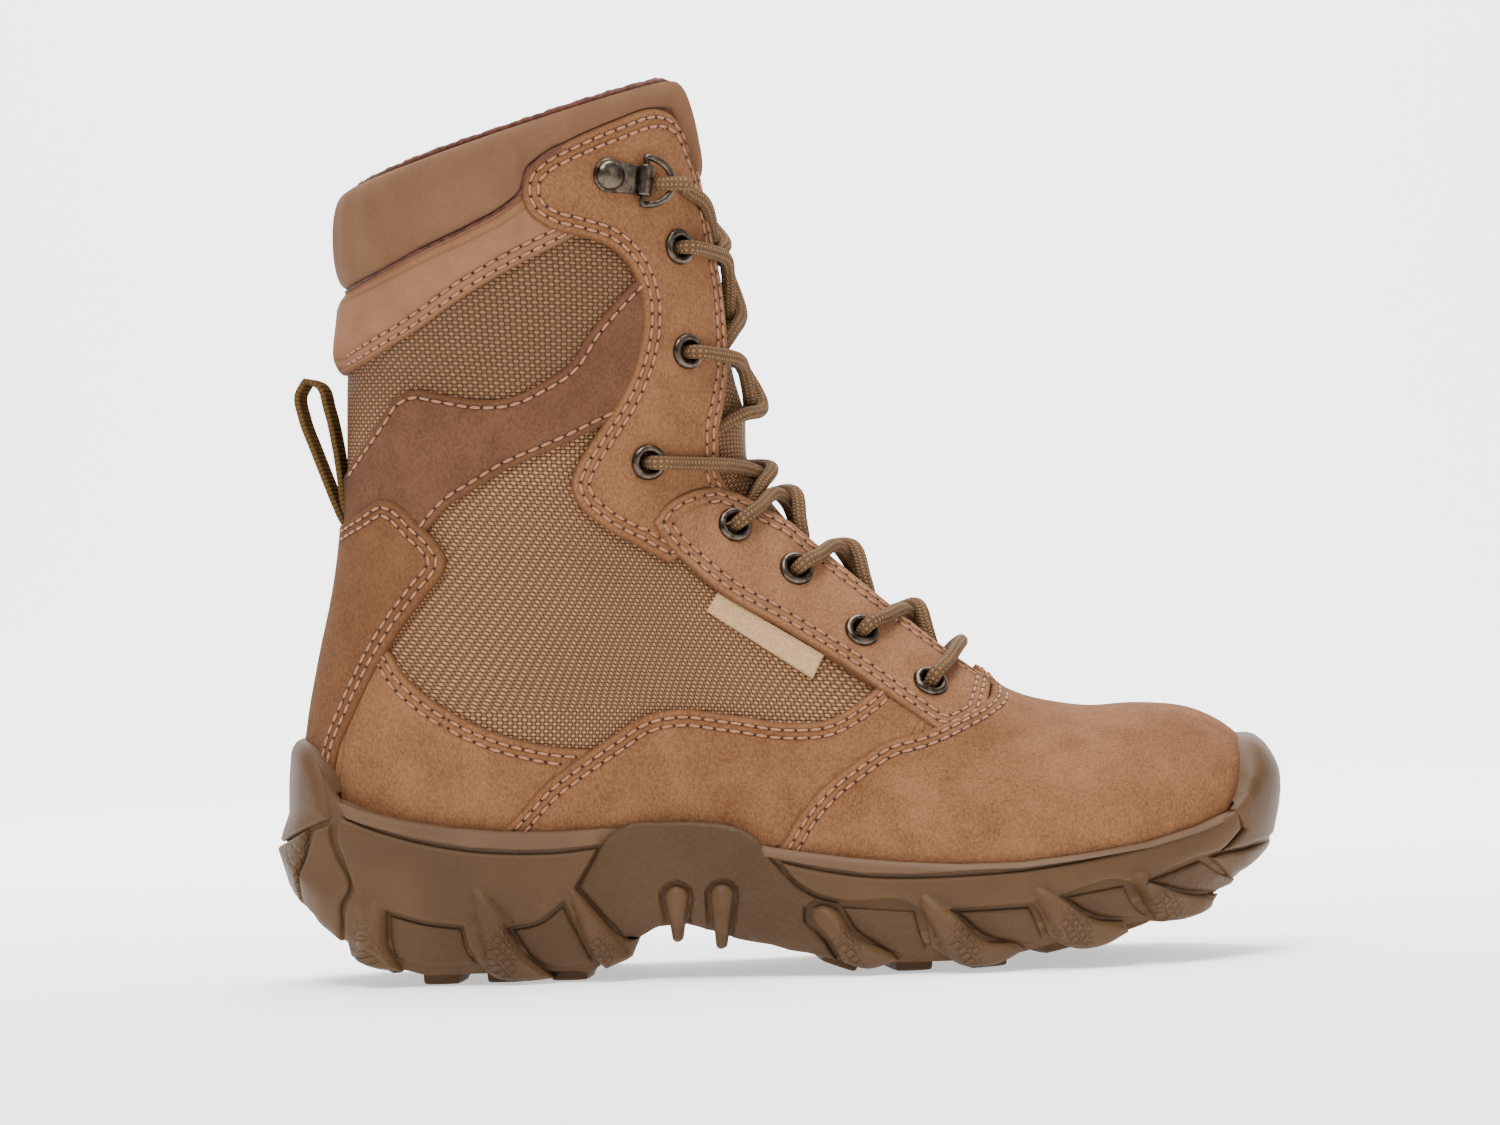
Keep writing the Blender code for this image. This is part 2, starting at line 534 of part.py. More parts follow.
def build_tongue():
    """The tongue, a strip under the eyestays from the vamp to the collar."""
    sheet = open_surface("tongue", TONGUE_LIFT, NYLON, rows=TONGUE_ROWS, half=TONGUE_HALF, notch=False)
    thicken(sheet, TONGUE_WALL, False)


def feather():
    """Feather edge seen from above: toe to heel, points and outward normals for the two sides."""
    rows = SECTIONS[:HEEL_ROW + 1]
    columns = {name: rows[:, i] for i, name in enumerate(COLUMNS)}
    made = {}
    for side, word in SIDES:
        edge = np.stack([columns["low_x"], columns["ridge_y"] + side * columns[word] * columns["foot"]], axis=1)
        fine = np.array([between_rows(edge, s) for s in np.linspace(0, HEEL_ROW, 241)])
        run = np.concatenate([[0], np.cumsum(np.linalg.norm(np.diff(fine, axis=0), axis=1))])
        spread = np.linspace(0, 1, STATIONS + 1)
        spread = 0.55 * spread + 0.45 * (0.5 - 0.5 * np.cos(math.pi * spread))
        points = np.stack([np.interp(spread * run[-1], run, fine[:, k]) for k in (0, 1)], axis=1)
        step = np.gradient(points, axis=0)
        away = np.stack([step[:, 1], -step[:, 0]], axis=1) * side
        away[0] = (1, 0)
        away[-1] = (-1, 0)
        made[side] = (points, away / np.linalg.norm(away, axis=1)[:, None])
    return made


FEATHER = feather()


def along(table, x):
    """z of a sole line at x."""
    return float(np.interp(x, table[:, 0], table[:, 1]))


def floor_z(x):
    """Height of the platform the upper stands on."""
    order = SECTIONS[:HEEL_ROW][::-1]
    return float(np.interp(x, order[:, 2], order[:, 3])) - FLOOR_DROP


def base_z(x):
    """Underside of the outsole between its lugs."""
    return along(TREAD, x) + along(LUG_DEPTH, x)


def well_z(x):
    """Floor inside the outsole's cup."""
    return min(base_z(x) + 4.0, floor_z(x) - 3.0)


def ends(x, side_value, toe_value, heel_value):
    """A margin that changes from its side value to toe and heel values round the ends."""
    toe = min(max((x - 126) / 11, 0), 1)
    heel = min(max((-122 - x) / 12, 0), 1)
    return side_value + toe * toe * (3 - 2 * toe) * (toe_value - side_value) \
        + heel * heel * (3 - 2 * heel) * (heel_value - side_value)


def ring_stack(name, levels, finish):
    """A solid from rings that follow the feather edge; a level is (margin of x, height of x)."""
    points, faces = [], []
    n = STATIONS + 1
    for margin, height in levels:
        for side in (LATERAL, MEDIAL):
            edge, away = FEATHER[side]
            for p, out in zip(edge, away):
                q = p + out * margin(p[0])
                points.append((q[0], q[1], height(p[0])))
    for level in range(len(levels)):
        for k in (0, 1):
            a = (2 * level + k) * n
            b = a + 2 * n
            if level < len(levels) - 1:
                faces += [(a + i, a + i + 1, b + i + 1, b + i) for i in range(n - 1)]
    for level in (0, len(levels) - 1):
        a = 2 * level * n
        faces += [(a + i, a + i + 1, a + n + i + 1, a + n + i) for i in range(n - 1)]
    return outward(mesh_object(name, points, faces, finish))


def build_midsole():
    """Slab inside the cup with a lip round the upper."""
    levels = [(lambda x: ends(x, 4.0, 3.8, 3.8), floor_z),
              (lambda x: ends(x, 4.7, 4.2, 4.2), lambda x: along(LIP_TOP, x)),
              (lambda x: ends(x, 5.7, 5.1, 5.2), lambda x: along(LIP_TOP, x) - 0.5),
              (lambda x: ends(x, 5.7, 5.3, 5.4), lambda x: well_z(x) + GAP)]
    return ring_stack("midsole", levels, FOAM)


def build_insole():
    """Loose footbed on the platform."""
    inset = lambda x: ends(x, -3.6, -3.6, -7.4)
    levels = [(lambda x: inset(x) - 0.5, lambda x: floor_z(x) + 4.0), (inset, lambda x: floor_z(x) + 2.0),
              (inset, lambda x: floor_z(x) + GAP)]
    return ring_stack("insole", levels, LINING)


def hexahedron(points, faces, corners):
    """Add a block with eight corners: four of one face, then the four across from them."""
    base = len(points)
    points.extend(corners)
    for f in ((0, 1, 2, 3), (7, 6, 5, 4), (0, 4, 5, 1), (1, 5, 6, 2), (2, 6, 7, 3), (3, 7, 4, 0)):
        faces.append(tuple(base + i for i in f))


def feather_at(x, side):
    """Feather point and normal of a side at x."""
    edge, away = FEATHER[side]
    order = np.argsort(edge[:, 0])
    y = np.interp(x, edge[order, 0], edge[order, 1])
    out = np.array([np.interp(x, edge[order, 0], away[order, k]) for k in (0, 1)])
    return np.array([x, y]), out / np.linalg.norm(out)


def fin_block(points, faces, v, side):
    """Add a side fin: a ridge down the wall that becomes a lug below the cup's floor."""
    bend = well_z(v["low_x"]) - 2.8
    share = (v["top_z"] - bend) / (v["top_z"] - v["low_z"])
    base = len(points)
    for f, deep, trim in ((0.0, 6.5, 0.8), (share, 6.5, 0.0), (1.0, 2.7, 1.0)):
        x = v["top_x"] + f * (v["low_x"] - v["top_x"])
        z = v["top_z"] + f * (v["low_z"] - v["top_z"])
        half = (v["top_w"] + f * (v["low_w"] - v["top_w"])) / 2
        proud = FIN_FACE + v["rise"] - trim
        for dx, margin in ((-half, proud), (half, proud), (half, deep), (-half, deep)):
            p, out = feather_at(x + dx, side)
            q = p + out * margin
            points.append((q[0], q[1], max(z, along(TREAD, x + dx)) if f == 1 else z))
    for level in (0, 4):
        faces += [tuple(base + level + i for i in (k, (k + 1) % 4, 4 + (k + 1) % 4, 4 + k)) for k in range(4)]
    faces += [tuple(base + i for i in range(4)), tuple(base + 8 + i for i in range(4))]


def tread_blocks():
    """Lugs under the sole and fins up its sides, as one set of blocks."""
    points, faces = [], []
    for first, last, count in (HEEL_LUGS, FORE_LUGS):
        for x in np.linspace(first, last, count):
            for low, high in LUG_BANDS:
                lean = 3.0 if first > 0 else -2.0
                corners = []
                for top in (False, True):
                    for dx, f in ((-1, low), (1, low), (1, high), (-1, high)):
                        px = x + dx * (LUG_LENGTH / 2 - 0.8 * (not top)) + lean * abs(f)
                        half_lat, _ = feather_at(px, LATERAL)
                        half_med, _ = feather_at(px, MEDIAL)
                        middle = (half_lat[1] + half_med[1]) / 2
                        reach = (half_med[1] - half_lat[1]) / 2 + 5.0
                        z = base_z(px) + 1.2 if top else along(TREAD, px)
                        corners.append((px, middle + f * reach, z))
                hexahedron(points, faces, corners)
    for fin in FINS:
        v = dict(zip(FIN_COLUMNS, fin))
        for side, _ in SIDES:
            fin_block(points, faces, v, side)
    return outward(mesh_object("tread_blocks", points, faces))


def build_outsole():
    """Moulded cup: wall, saddle, toe guard and heel wrap as one stack, with its lugs and fins."""
    top = lambda x: along(CUP_TOP, x)
    knee = lambda x: min(top(x), 52.0)
    lean = lambda x: 0.5 * max(top(x) - 52.0, 0.0)
    levels = [(lambda x: ends(x, 6.0, 5.6, 5.7), well_z),
              (lambda x: ends(x, 6.0, 5.6, 5.7), knee),
              (lambda x: ends(x, 6.0, 5.6 - lean(x), 5.7 - 0.15 * lean(x)), top),
              (lambda x: ends(x, 7.1, 7.8 - lean(x), 7.6 - 0.15 * lean(x)), lambda x: top(x) - 0.4),
              (lambda x: ends(x, 7.3, 8.2, 7.8), lambda x: knee(x) - 1.4),
              (lambda x: ends(x, 7.6, 9.2, 9.6), lambda x: (along(PANEL_TOP, x) + knee(x)) / 2),
              (lambda x: ends(x, 7.6, 8.6, 11.4), lambda x: along(PANEL_TOP, x)),
              (lambda x: ends(x, 6.4, 6.4, 8.0), lambda x: base_z(x) + 1.2),
              (lambda x: 5.0, base_z)]
    outsole = ring_stack("outsole", levels, RUBBER)
    return cut(outsole, tread_blocks(), "UNION")


def build_eyelets():
    """Flanged metal eyelets through the eyestays."""
    flange = GAP + LAYER_HIGH + 0.35
    barrel = EYELET_BORE + EYELET_WALL
    profile = [(EYELET_BORE, flange + 1.0), (EYELET_RIM, flange + 0.3), (barrel, flange),
               (barrel - 0.1, -WALL - 0.3)]
    for index in range(len(EYELETS)):
        for side, word in SIDES:
            centre, axis, _, _ = eyelet_frame(index, side)
            turned(f"eyelet_{word}_{index + 1}", profile, HOLE_SIDES, centre, axis, METAL)


def tube(name, path, radius, finish, closed=False, sides=6):
    """A round bar along a path of points (mm)."""
    curve = bpy.data.curves.new(name, "CURVE")
    curve.dimensions = "3D"
    curve.bevel_depth = radius * MM
    curve.bevel_resolution = max(sides // 2 - 2, 0)
    curve.use_fill_caps = not closed
    line = curve.splines.new("POLY")
    line.points.add(len(path) - 1)
    for point, p in zip(line.points, path):
        point.co = (*world(p), 1.0)
    line.use_cyclic_u = closed
    holder = bpy.data.objects.new(name + "_path", curve)
    CUTTERS.objects.link(holder)
    made = bpy.data.meshes.new_from_object(holder.evaluated_get(bpy.context.evaluated_depsgraph_get()))
    CUTTERS.objects.unlink(holder)
    bpy.data.objects.remove(holder)
    bm = bmesh.new()
    bm.from_mesh(made)
    bmesh.ops.remove_doubles(bm, verts=bm.verts, dist=0.00001)
    bmesh.ops.recalc_face_normals(bm, faces=bm.faces)
    bm.to_mesh(made)
    bm.free()
    shade(made)
    result = bpy.data.objects.new(name, made)
    if finish is None:
        CUTTERS.objects.link(result)
        result.display_type = "WIRE"
        result.hide_render = True
    else:
        made.materials.clear()
        made.materials.append(material(name, finish))
        PARTS.objects.link(result)
    return result


def lace_stop(index, side):
    """Row and distance round the section where the lace meets eyelet `index`, or the ring after the last."""
    if index < len(EYELETS):
        at, t = from_side(*EYELETS[index])
    else:
        at, t = from_side(CLIP_AT[0] + 11.5, CLIP_AT[1] + 1.0)
    points = skin(section(at), np.linspace(0, t, 60), side)
    return at, float(np.sum(np.linalg.norm(np.diff(points, axis=0), axis=1)))


def build_laces():
    """The lace where it lies over the tongue: a bar, then a crossing for each row."""
    over = GAP + LAYER_HIGH + LACE_RADIUS + 0.45
    bar = []
    for side, f in ((LATERAL, 1.0), (LATERAL, 0.45), (LATERAL, 0.0), (MEDIAL, 0.45), (MEDIAL, 1.0)):
        at, reach = lace_stop(0, side)
        bar.append(girth_point(at, side, max(f * (reach - 8.2), 0.01), over + 0.5)[0])
    tube("lace_bar", bar, LACE_RADIUS, CORD)
    for index in range(len(EYELETS)):
        strands = []
        for side, _ in SIDES:
            at0, _ = lace_stop(index, side)
            at1, reach1 = lace_stop(index + 1, -side)
            rise, middle = at1 - at0, (at0 + at1) / 2
            past, upper = middle + 0.32 * rise, side > 0
            stops = ((at0 + 0.12 * rise, side, throat_half(at0) - 3.8, -0.8),
                     (at0 + 0.3 * rise, side, 0.4 * throat_half(middle), 1.3 + 0.3 * upper),
                     (middle, side, 0.01, 3.4 + 0.85 * upper),
                     (past, -side, throat_half(past) - 1.0, over + 0.35),
                     (at1 - 0.06 * rise, -side, reach1 - 7.6, over - 0.1))
            strands.append([girth_point(*stop)[0] for stop in stops])
        first = tube(f"lace_cross_{index + 1}", strands[0], LACE_RADIUS, CORD)
        cut(first, tube(f"lace_cross_{index + 1}_other", strands[1], LACE_RADIUS, None), "UNION")


def build_rings():
    """Clip plate, rivet and lace ring at the top of each eyestay."""
    seat = GAP + LAYER_HIGH + 0.4
    for side, word in SIDES:
        at, t = from_side(*CLIP_AT)
        centre, n = skin(section(at), t, side), normal_at(at, t, side)
        up = np.array((0.18, 0, 1.0))
        up = up - n * np.dot(up, n)
        up /= np.linalg.norm(up)
        front = np.cross(up, n)
        front *= math.copysign(1, front[0])
        length, width, depth = CLIP_SIZE

        def place(a, b, c):
            return centre + front * a + up * b + n * (seat + c)

        corners = []
        for c in (0, depth):
            for a, b in ((-1, -1), (1, -1), (1, 1), (-1, 1)):
                corners.append(place(a * length / 2, b * width / 2, c))
        points, faces = [], []
        hexahedron(points, faces, corners)
        clip = outward(mesh_object(f"ring_clip_{word}", points, faces, METAL))
        barrel_at = place(length / 2 + 0.8, 0, 1.9)
        half = RING_SIZE[1] / 2 - 2.6
        barrel = [(1.35, -half), (2.0, -half), (2.0, half), (1.35, half)]
        cut(clip, turned(f"ring_barrel_{word}", barrel, 8, barrel_at, up, None), "UNION")
        foot = seat + depth
        dome = [(0.0, foot + 0.3), (RIVET_RADIUS, foot + 0.3), (RIVET_RADIUS * 0.75, foot + 1.5),
                (0.0, foot + 1.9)]
        turned(f"ring_rivet_{word}", dome, 10, centre - front * 3.0, n, METAL)
        ring = []
        reach, tall = RING_SIZE
        for a in np.linspace(-math.pi / 2, math.pi / 2, 7):
            ahead = (front + n * 0.12) * reach * math.cos(a)
            ring.append(barrel_at + ahead + up * (tall / 2) * math.sin(a))
        tube(f"lace_ring_{word}", ring, RING_WIRE, METAL, closed=True)


def build_pull_loop():
    """Webbing loop sewn at the back seam."""
    path = np.array(LOOP_PATH, float)
    step = np.gradient(path, axis=0)
    away = np.stack([-step[:, 1], step[:, 0]], axis=1)
    away /= np.linalg.norm(away, axis=1)[:, None]
    points, faces = [], []
    for y in (-LOOP_WIDTH / 2, LOOP_WIDTH / 2):
        for sign in (-1, 1):
            face = path + sign * away * LOOP_WALL / 2
            points += [(x, y, z) for x, z in face]
    n = len(path)
    for i in range(n - 1):
        for a, b in ((0, 1), (1, 3), (3, 2), (2, 0)):
            faces.append((a * n + i, a * n + i + 1, b * n + i + 1, b * n + i))
    for i in (0, n - 1):
        faces.append((i, n + i, 3 * n + i, 2 * n + i))
    outward(mesh_object("pull_loop", points, faces, WEBBING))


build_upper()
build_tongue()
build_insole()
build_midsole()
build_outsole()
build_overlays()
build_eyelets()
build_laces()
build_rings()
build_pull_loop()
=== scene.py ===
"""Looks of a right-foot tactical boot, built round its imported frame.

Tables are in boot millimetres: +X to the toe, +Y to the inner side, +Z up. Every surface of the upper comes
from one function of a section row and a signed share of the half girth, so that linings, layers, seams and
eyelets sit on each other. The sole's wall is a second such surface, over the distance round the feather edge
and the height.
"""

from __future__ import annotations

import logging
import math
from dataclasses import dataclass, field
from enum import Enum, IntEnum
from typing import Callable, Sequence, Union

import bpy
import numpy as np
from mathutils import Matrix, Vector, geometry

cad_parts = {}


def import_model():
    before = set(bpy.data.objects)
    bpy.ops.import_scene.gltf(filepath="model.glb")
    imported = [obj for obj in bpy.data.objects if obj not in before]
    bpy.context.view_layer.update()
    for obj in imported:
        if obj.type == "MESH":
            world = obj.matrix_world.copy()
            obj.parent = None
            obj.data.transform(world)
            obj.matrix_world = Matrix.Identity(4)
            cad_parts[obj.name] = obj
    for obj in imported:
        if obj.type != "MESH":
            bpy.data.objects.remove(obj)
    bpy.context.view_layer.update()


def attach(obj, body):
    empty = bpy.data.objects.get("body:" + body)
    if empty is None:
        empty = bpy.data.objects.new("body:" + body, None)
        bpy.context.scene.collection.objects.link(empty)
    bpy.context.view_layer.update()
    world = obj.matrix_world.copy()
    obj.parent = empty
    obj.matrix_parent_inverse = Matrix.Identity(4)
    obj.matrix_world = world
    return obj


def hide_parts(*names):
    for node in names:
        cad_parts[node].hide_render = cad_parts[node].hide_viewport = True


LOG = logging.getLogger("boot")

MM = 0.001
CENTRE = np.array((0.3, -2.15, 0.0))
WALL = 2.0
ROW_STEPS = 500
TURN_STEPS = 160
COLLAR_ROW = 24.8
HOLE_REACH = 12.0
STITCH_ROWS = (2.5, 4.9)
STRAP_ROWS = (2.2,)
BAND_ROWS = (1.7, 4.3)
UP = np.array((0.0, 0.0, 1.0))
BLACK = (0.0, 0.0, 0.0)

COLUMNS = ("top_x", "top_z", "low_x", "low_z", "ridge_y", "lateral", "medial", "foot", "full_at", "crown",
           "seat")
SECTIONS = np.array([
    (141.0, 47.0, 140.4, 36.0, 7.5, 0.0, 0.0, 1.00, 0.80, 2.40, 2.0),
    (140.0, 54.5, 138.4, 35.4, 7.2, 14.0, 13.0, 0.97, 0.80, 2.40, 2.0),
    (136.4, 61.8, 133.0, 34.3, 6.6, 24.5, 22.5, 0.97, 0.80, 2.40, 2.0),
    (130.0, 67.2, 123.5, 32.0, 5.8, 35.5, 30.5, 0.97, 0.78, 2.30, 2.0),
    (120.5, 71.2, 110.0, 28.2, 5.2, 45.5, 37.0, 0.97, 0.76, 2.20, 2.0),
    (107.0, 72.6, 93.0, 24.5, 4.8, 52.5, 41.5, 0.97, 0.74, 2.10, 2.0),
    (93.0, 72.5, 73.0, 22.0, 4.4, 56.0, 43.5, 0.97, 0.73, 2.00, 2.0),
    (79.5, 74.6, 51.0, 21.6, 4.0, 56.0, 43.0, 0.965, 0.72, 1.90, 2.0),
    (66.0, 79.6, 27.5, 24.0, 3.5, 52.5, 39.8, 0.96, 0.72, 1.80, 2.0),
    (54.0, 89.2, 3.5, 28.0, 3.0, 47.5, 36.0, 0.955, 0.72, 1.75, 2.0),
    (42.5, 100.0, -22.5, 31.3, 2.5, 43.2, 33.2, 0.95, 0.72, 1.70, 2.0),
    (31.0, 111.2, -50.0, 33.2, 2.0, 40.2, 32.4, 0.94, 0.70, 1.70, 2.0),
    (19.5, 122.4, -77.5, 34.2, 1.5, 38.6, 33.2, 0.93, 0.68, 1.70, 2.0),
    (8.5, 133.2, -103.0, 34.8, 1.0, 37.6, 34.6, 0.90, 0.64, 1.75, 2.0),
    (0.3, 141.8, -122.5, 35.4, 0.6, 37.2, 35.2, 0.74, 0.60, 1.80, 2.0),
    (-4.2, 148.8, -133.2, 36.4, 0.3, 36.8, 35.4, 0.42, 0.57, 1.85, 2.0),
    (-5.2, 156.0, -137.6, 42.0, 0.0, 36.4, 35.4, 0.0, 0.55, 1.90, 2.0),
    (-5.6, 163.0, -138.8, 57.0, 0.0, 36.2, 35.6, 0.0, 0.53, 1.95, 2.0),
    (-6.0, 170.5, -137.2, 75.0, 0.0, 36.2, 36.0, 0.0, 0.52, 2.00, 2.0),
    (-7.2, 180.0, -133.0, 95.5, 0.0, 36.6, 36.6, 0.0, 0.51, 2.00, 2.0),
    (-8.6, 191.0, -128.0, 116.5, 0.0, 37.2, 37.2, 0.0, 0.50, 2.00, 2.0),
    (-10.5, 203.0, -125.0, 137.0, 0.0, 38.0, 38.0, 0.0, 0.50, 2.00, 2.0),
    (-12.8, 215.5, -124.4, 158.0, 0.0, 39.0, 39.0, 0.0, 0.50, 2.00, 2.0),
    (-15.2, 228.5, -123.4, 180.5, 0.0, 40.0, 40.0, 0.0, 0.50, 2.00, 2.0),
    (-17.8, 242.0, -120.6, 205.0, 0.0, 40.4, 40.4, 0.0, 0.50, 2.00, 2.0),
    (-22.2, 261.5, -119.2, 231.2, 0.0, 40.8, 40.8, 0.0, 0.50, 2.00, 2.0),
])
THROAT_ROW = 8
HEEL_ROW = 16
TONGUE_LIFT = -3.7
THROAT = np.array([
    (0, 3.0), (2, 7.0), (8, 7.5), (9, 10.5), (13, 11.5), (14.5, 18.0), (16, 23.0), (17.5, 22.0), (19, 15.0),
    (21, 11.5), (25, 11.0)])

# Visible edges of the sewn layers from the side, x and z, with the ends that run on under other layers
UPPER_EYESTAY = (
    (-27.4, 254.0), (-31.2, 253.7), (-42.5, 249.6), (-54.4, 244.5), (-63.3, 239.8), (-67.9, 234.7),
    (-68.7, 229.3), (-66.5, 223.4), (-61.4, 219.4), (-52.2, 216.5), (-45, 213.9), (-39.4, 208.7),
    (-35.9, 200.5), (-35.3, 191.7), (-36.8, 183), (-40.6, 173), (-50.8, 157.3), (-55.4, 150.2),
    (-57.4, 144.5), (-55.8, 139.2), (-49.3, 132.5), (-37.9, 125.4), (-30, 120.5))
LOWER_EYESTAY = (
    (60, 71.5), (52, 68.2), (46, 68.7), (42.7, 71), (23, 86), (1.8, 100.3), (-15.2, 111), (-23.6, 118.5),
    (-32, 127.6), (-34.8, 133.0), (-30.3, 138.3), (-22.9, 141.9), (-14, 143.2))
VAMP_SEAM = (
    (-3.4, 33.6), (1.5, 39.5), (5.8, 46), (14.8, 55), (21.6, 59.6), (31.6, 65.4), (42.5, 67.8),
    (52.7, 71.5), (59.5, 74.5), (62.3, 76.8), (63.0, 79.4))
QUARTER_TOP = (
    (-82.2, 43.4), (-76.2, 49.3), (-68, 57.7), (-58.2, 64.6), (-47.6, 71.2), (-39.3, 76.1), (-30.2, 77.9),
    (-14, 75.8), (4.7, 72.6), (15.2, 73.1), (22.9, 76.9), (28, 80.5), (31, 84))
QUARTER_HID = ((48, 74), (44, 66), (36, 56), (14, 40), (3.5, 33), (-22.5, 36), (-50, 38), (-84, 39))
HEEL_PANEL_TOP = (
    (-121, 106), (-111.5, 97.0), (-109.2, 92.7), (-102.2, 85.2), (-94.5, 79.7), (-83.9, 74.1),
    (-73.3, 70.5), (-64.5, 68.5), (-54, 67.4))
HEEL_PANEL_HID = ((-66, 50), (-80, 39), (-103, 39.5), (-124, 41), (-131, 52), (-130, 70), (-126, 90))
COUNTER_EDGE = (
    (-124.4, 135.6), (-119.5, 138.5), (-111.4, 142.3), (-107.9, 140.7), (-102.6, 135.3), (-96.6, 128.8),
    (-94.5, 124.2), (-95.2, 120.7), (-100.7, 113.6), (-108.3, 104.2), (-114.8, 94.5), (-122.4, 80.5),
    (-128.3, 67.3), (-129.6, 54), (-129, 47))
STRAP_TOP = (
    (-122.6, 151.6), (-118.5, 157.1), (-111.9, 165.9), (-107.4, 171.8), (-102.7, 173.7), (-94.8, 172.3),
    (-83.2, 170.1), (-73.4, 170.6), (-65.4, 174), (-57, 179.1), (-50.1, 188.9), (-41.8, 198.2), (-35, 205),
    (-27, 212))
STRAP_LOW = (
    (-30, 172), (-40, 165.3), (-51.6, 159.7), (-57.8, 156.8), (-66.1, 153.5), (-76, 149.5), (-85, 144.4),
    (-92.4, 140.1), (-98.8, 133.7), (-104, 126), (-121, 122))
BAND_LOW = (
    (-47, 221), (-55.6, 215.8), (-69.4, 209.2), (-85.7, 200.5), (-102.1, 190), (-114.2, 183.6),
    (-121.2, 180.6))
BAND_TOP = (
    (-116.7, 205.7), (-109.2, 209.1), (-97.1, 215), (-85, 220.2), (-73.6, 226.2), (-69.5, 229.3),
    (-62, 233.4), (-52, 237))
ROLL_LOW = (
    (-117.5, 205.9), (-109.2, 209.3), (-97.1, 215.2), (-85, 220.4), (-73.6, 226.4), (-69.5, 229.7),
    (-67.0, 236.5), (-63.0, 239.9), (-54.4, 244.6), (-42.5, 249.7), (-30.7, 254.0), (-25.2, 254.6))
ROLL_STEPS = 17
SIDE_TAG = ((-16.1, 111.4), (-19.4, 106.1), (10.9, 85.4), (14.4, 91.9))
# Soft troughs (depth above zero) and swells (below zero): two ends from the side, depth, half width
CREASES = (
    (-52, 152, -14, 143, 0.8, 5.0), (-100, 146, -62, 160, 0.5, 7.0), (74, 70, 44, 44, 0.6, 6.0),
    (92, 66, 70, 38, 0.45, 7.0), (60, 62, 26, 46, 0.45, 6.0), (-112, 178, -86, 176, 0.9, 4.5),
    (-116, 188, -98, 184, -0.7, 5.0), (-92, 122, -70, 130, 0.65, 6.0), (-84, 110, -58, 118, -0.6, 8.0),
    (110, 60, 100, 40, -0.45, 9.0), (-112, 70, -92, 60, 0.4, 8.0))

EYELETS = ((44.6, 81.7), (25.1, 97.7), (6.5, 116.7), (-11.1, 130.5), (-35.3, 150.4), (-23.2, 182.4),
           (-24.8, 213.0))
LOWER_COUNT = 4
# Section rows where each pair of strands crosses the ridge; then each strand's way to its eyelet or ring,
# from the side: x and z from the eyelet, height over the facing's rest height
LACE_RIDGE = (10.2, 11.8, 13.4, 14.5, 17.4, 20.2, 21.9)
LACE_WAY = (
    ((3.6, 3.6, 0.1),),
    ((11.0, 5.0, -1.6), (5.6, 2.4, 0.1)),
    ((10.5, 5.6, -1.6), (5.2, 2.4, 0.1)),
    ((10.6, 8.0, -1.6), (5.6, 3.6, 0.1)),
    ((23.5, -1.6, -1.8), (15.5, -1.0, 0.0), (7.4, -0.5, 0.1)),
    ((15.0, -5.0, -1.8), (11.8, -2.4, 0.0), (6.4, -1.0, 0.1)),
    ((13.0, -7.4, -1.8), (10.8, -3.6, 0.0), (6.2, -1.4, 0.1)),
    ((19.0, -8.0, -1.8), (16.0, -3.5, 0.0), (11.0, 0.3, 0.2)))
RING_AT = (-35.5, 229.5)
LOWER_FACING = 2.7
UPPER_FACING = 2.0
EYELET_HOLE = 3.9
LACE_RADIUS = 2.1
CLIP_AT = (-41.5, 233.4)
CLIP_LENGTH = 14.0
RING_SIZE = (8.5, 14.0)
RING_WIRE = 1.0
LOOP_PATH = (
    (-121.5, 132.0), (-125.4, 136.4), (-127.6, 141.5), (-130.2, 148.6), (-133.4, 157.6), (-136.8, 168),
    (-137.6, 174), (-135.2, 178.4), (-131.6, 177), (-129.2, 170), (-126.9, 158), (-125.7, 148),
    (-124.8, 140), (-120.5, 132.5))
LOOP_WIDTH = 13.0
LOOP_WALL = 1.7
LOOP_TWIST = 0.12

# Sole lines along the foot: x at the feather edge, z
LIP_TOP = np.array([
    (-137.6, 57), (-127, 55.2), (-121, 52.3), (-110, 49.1), (-95, 46.2), (-81, 44.6), (-66, 44.1),
    (-46, 44.6), (-23, 44), (-13, 42), (-4, 38), (5, 36.4), (20, 34.1), (34, 32.5), (51, 31.3), (69, 31.3),
    (86, 33), (104, 35.5), (118, 39.1), (130, 43.6), (140.4, 46.5)])
CUP_TOP = np.array([
    (-137.6, 73), (-135, 71.6), (-131, 66.5), (-127, 58), (-123, 52.2), (-110, 46), (-93, 42.4),
    (-75, 40.6), (-57, 41.6), (-50, 44.5), (-44, 46.4), (-34, 46.8), (-23, 46), (-13, 43.4), (-6, 37.5),
    (0, 35), (20, 31), (43, 28.7), (63, 28.3), (86, 29.5), (106, 32.3), (121, 37.2), (127, 41.5), (131, 48),
    (134.5, 56), (138, 62.5), (140.4, 65)])
GROOVE = np.array([
    (-137.6, 53), (-128.9, 51.7), (-119, 47.5), (-106, 43.2), (-90.6, 39.9), (-75.1, 38.6), (-64.3, 38.6),
    (-51.9, 39.5), (-1.4, 34.1), (8.3, 32), (24.1, 29.2), (37.8, 28.5), (52.6, 28.8), (69.8, 29.9),
    (90.4, 32.6), (107.7, 36), (124.9, 40.5), (135.9, 44.1)])
PANEL_TOP = np.array([
    (-137.6, 40), (-128, 27), (-116, 21.5), (-82, 16), (-60, 24.5), (-41, 22.4), (2, 25.2), (19, 20.3),
    (40, 19.6), (74, 19.8), (100, 24.7), (118, 29.9), (130, 38), (140.4, 43)])
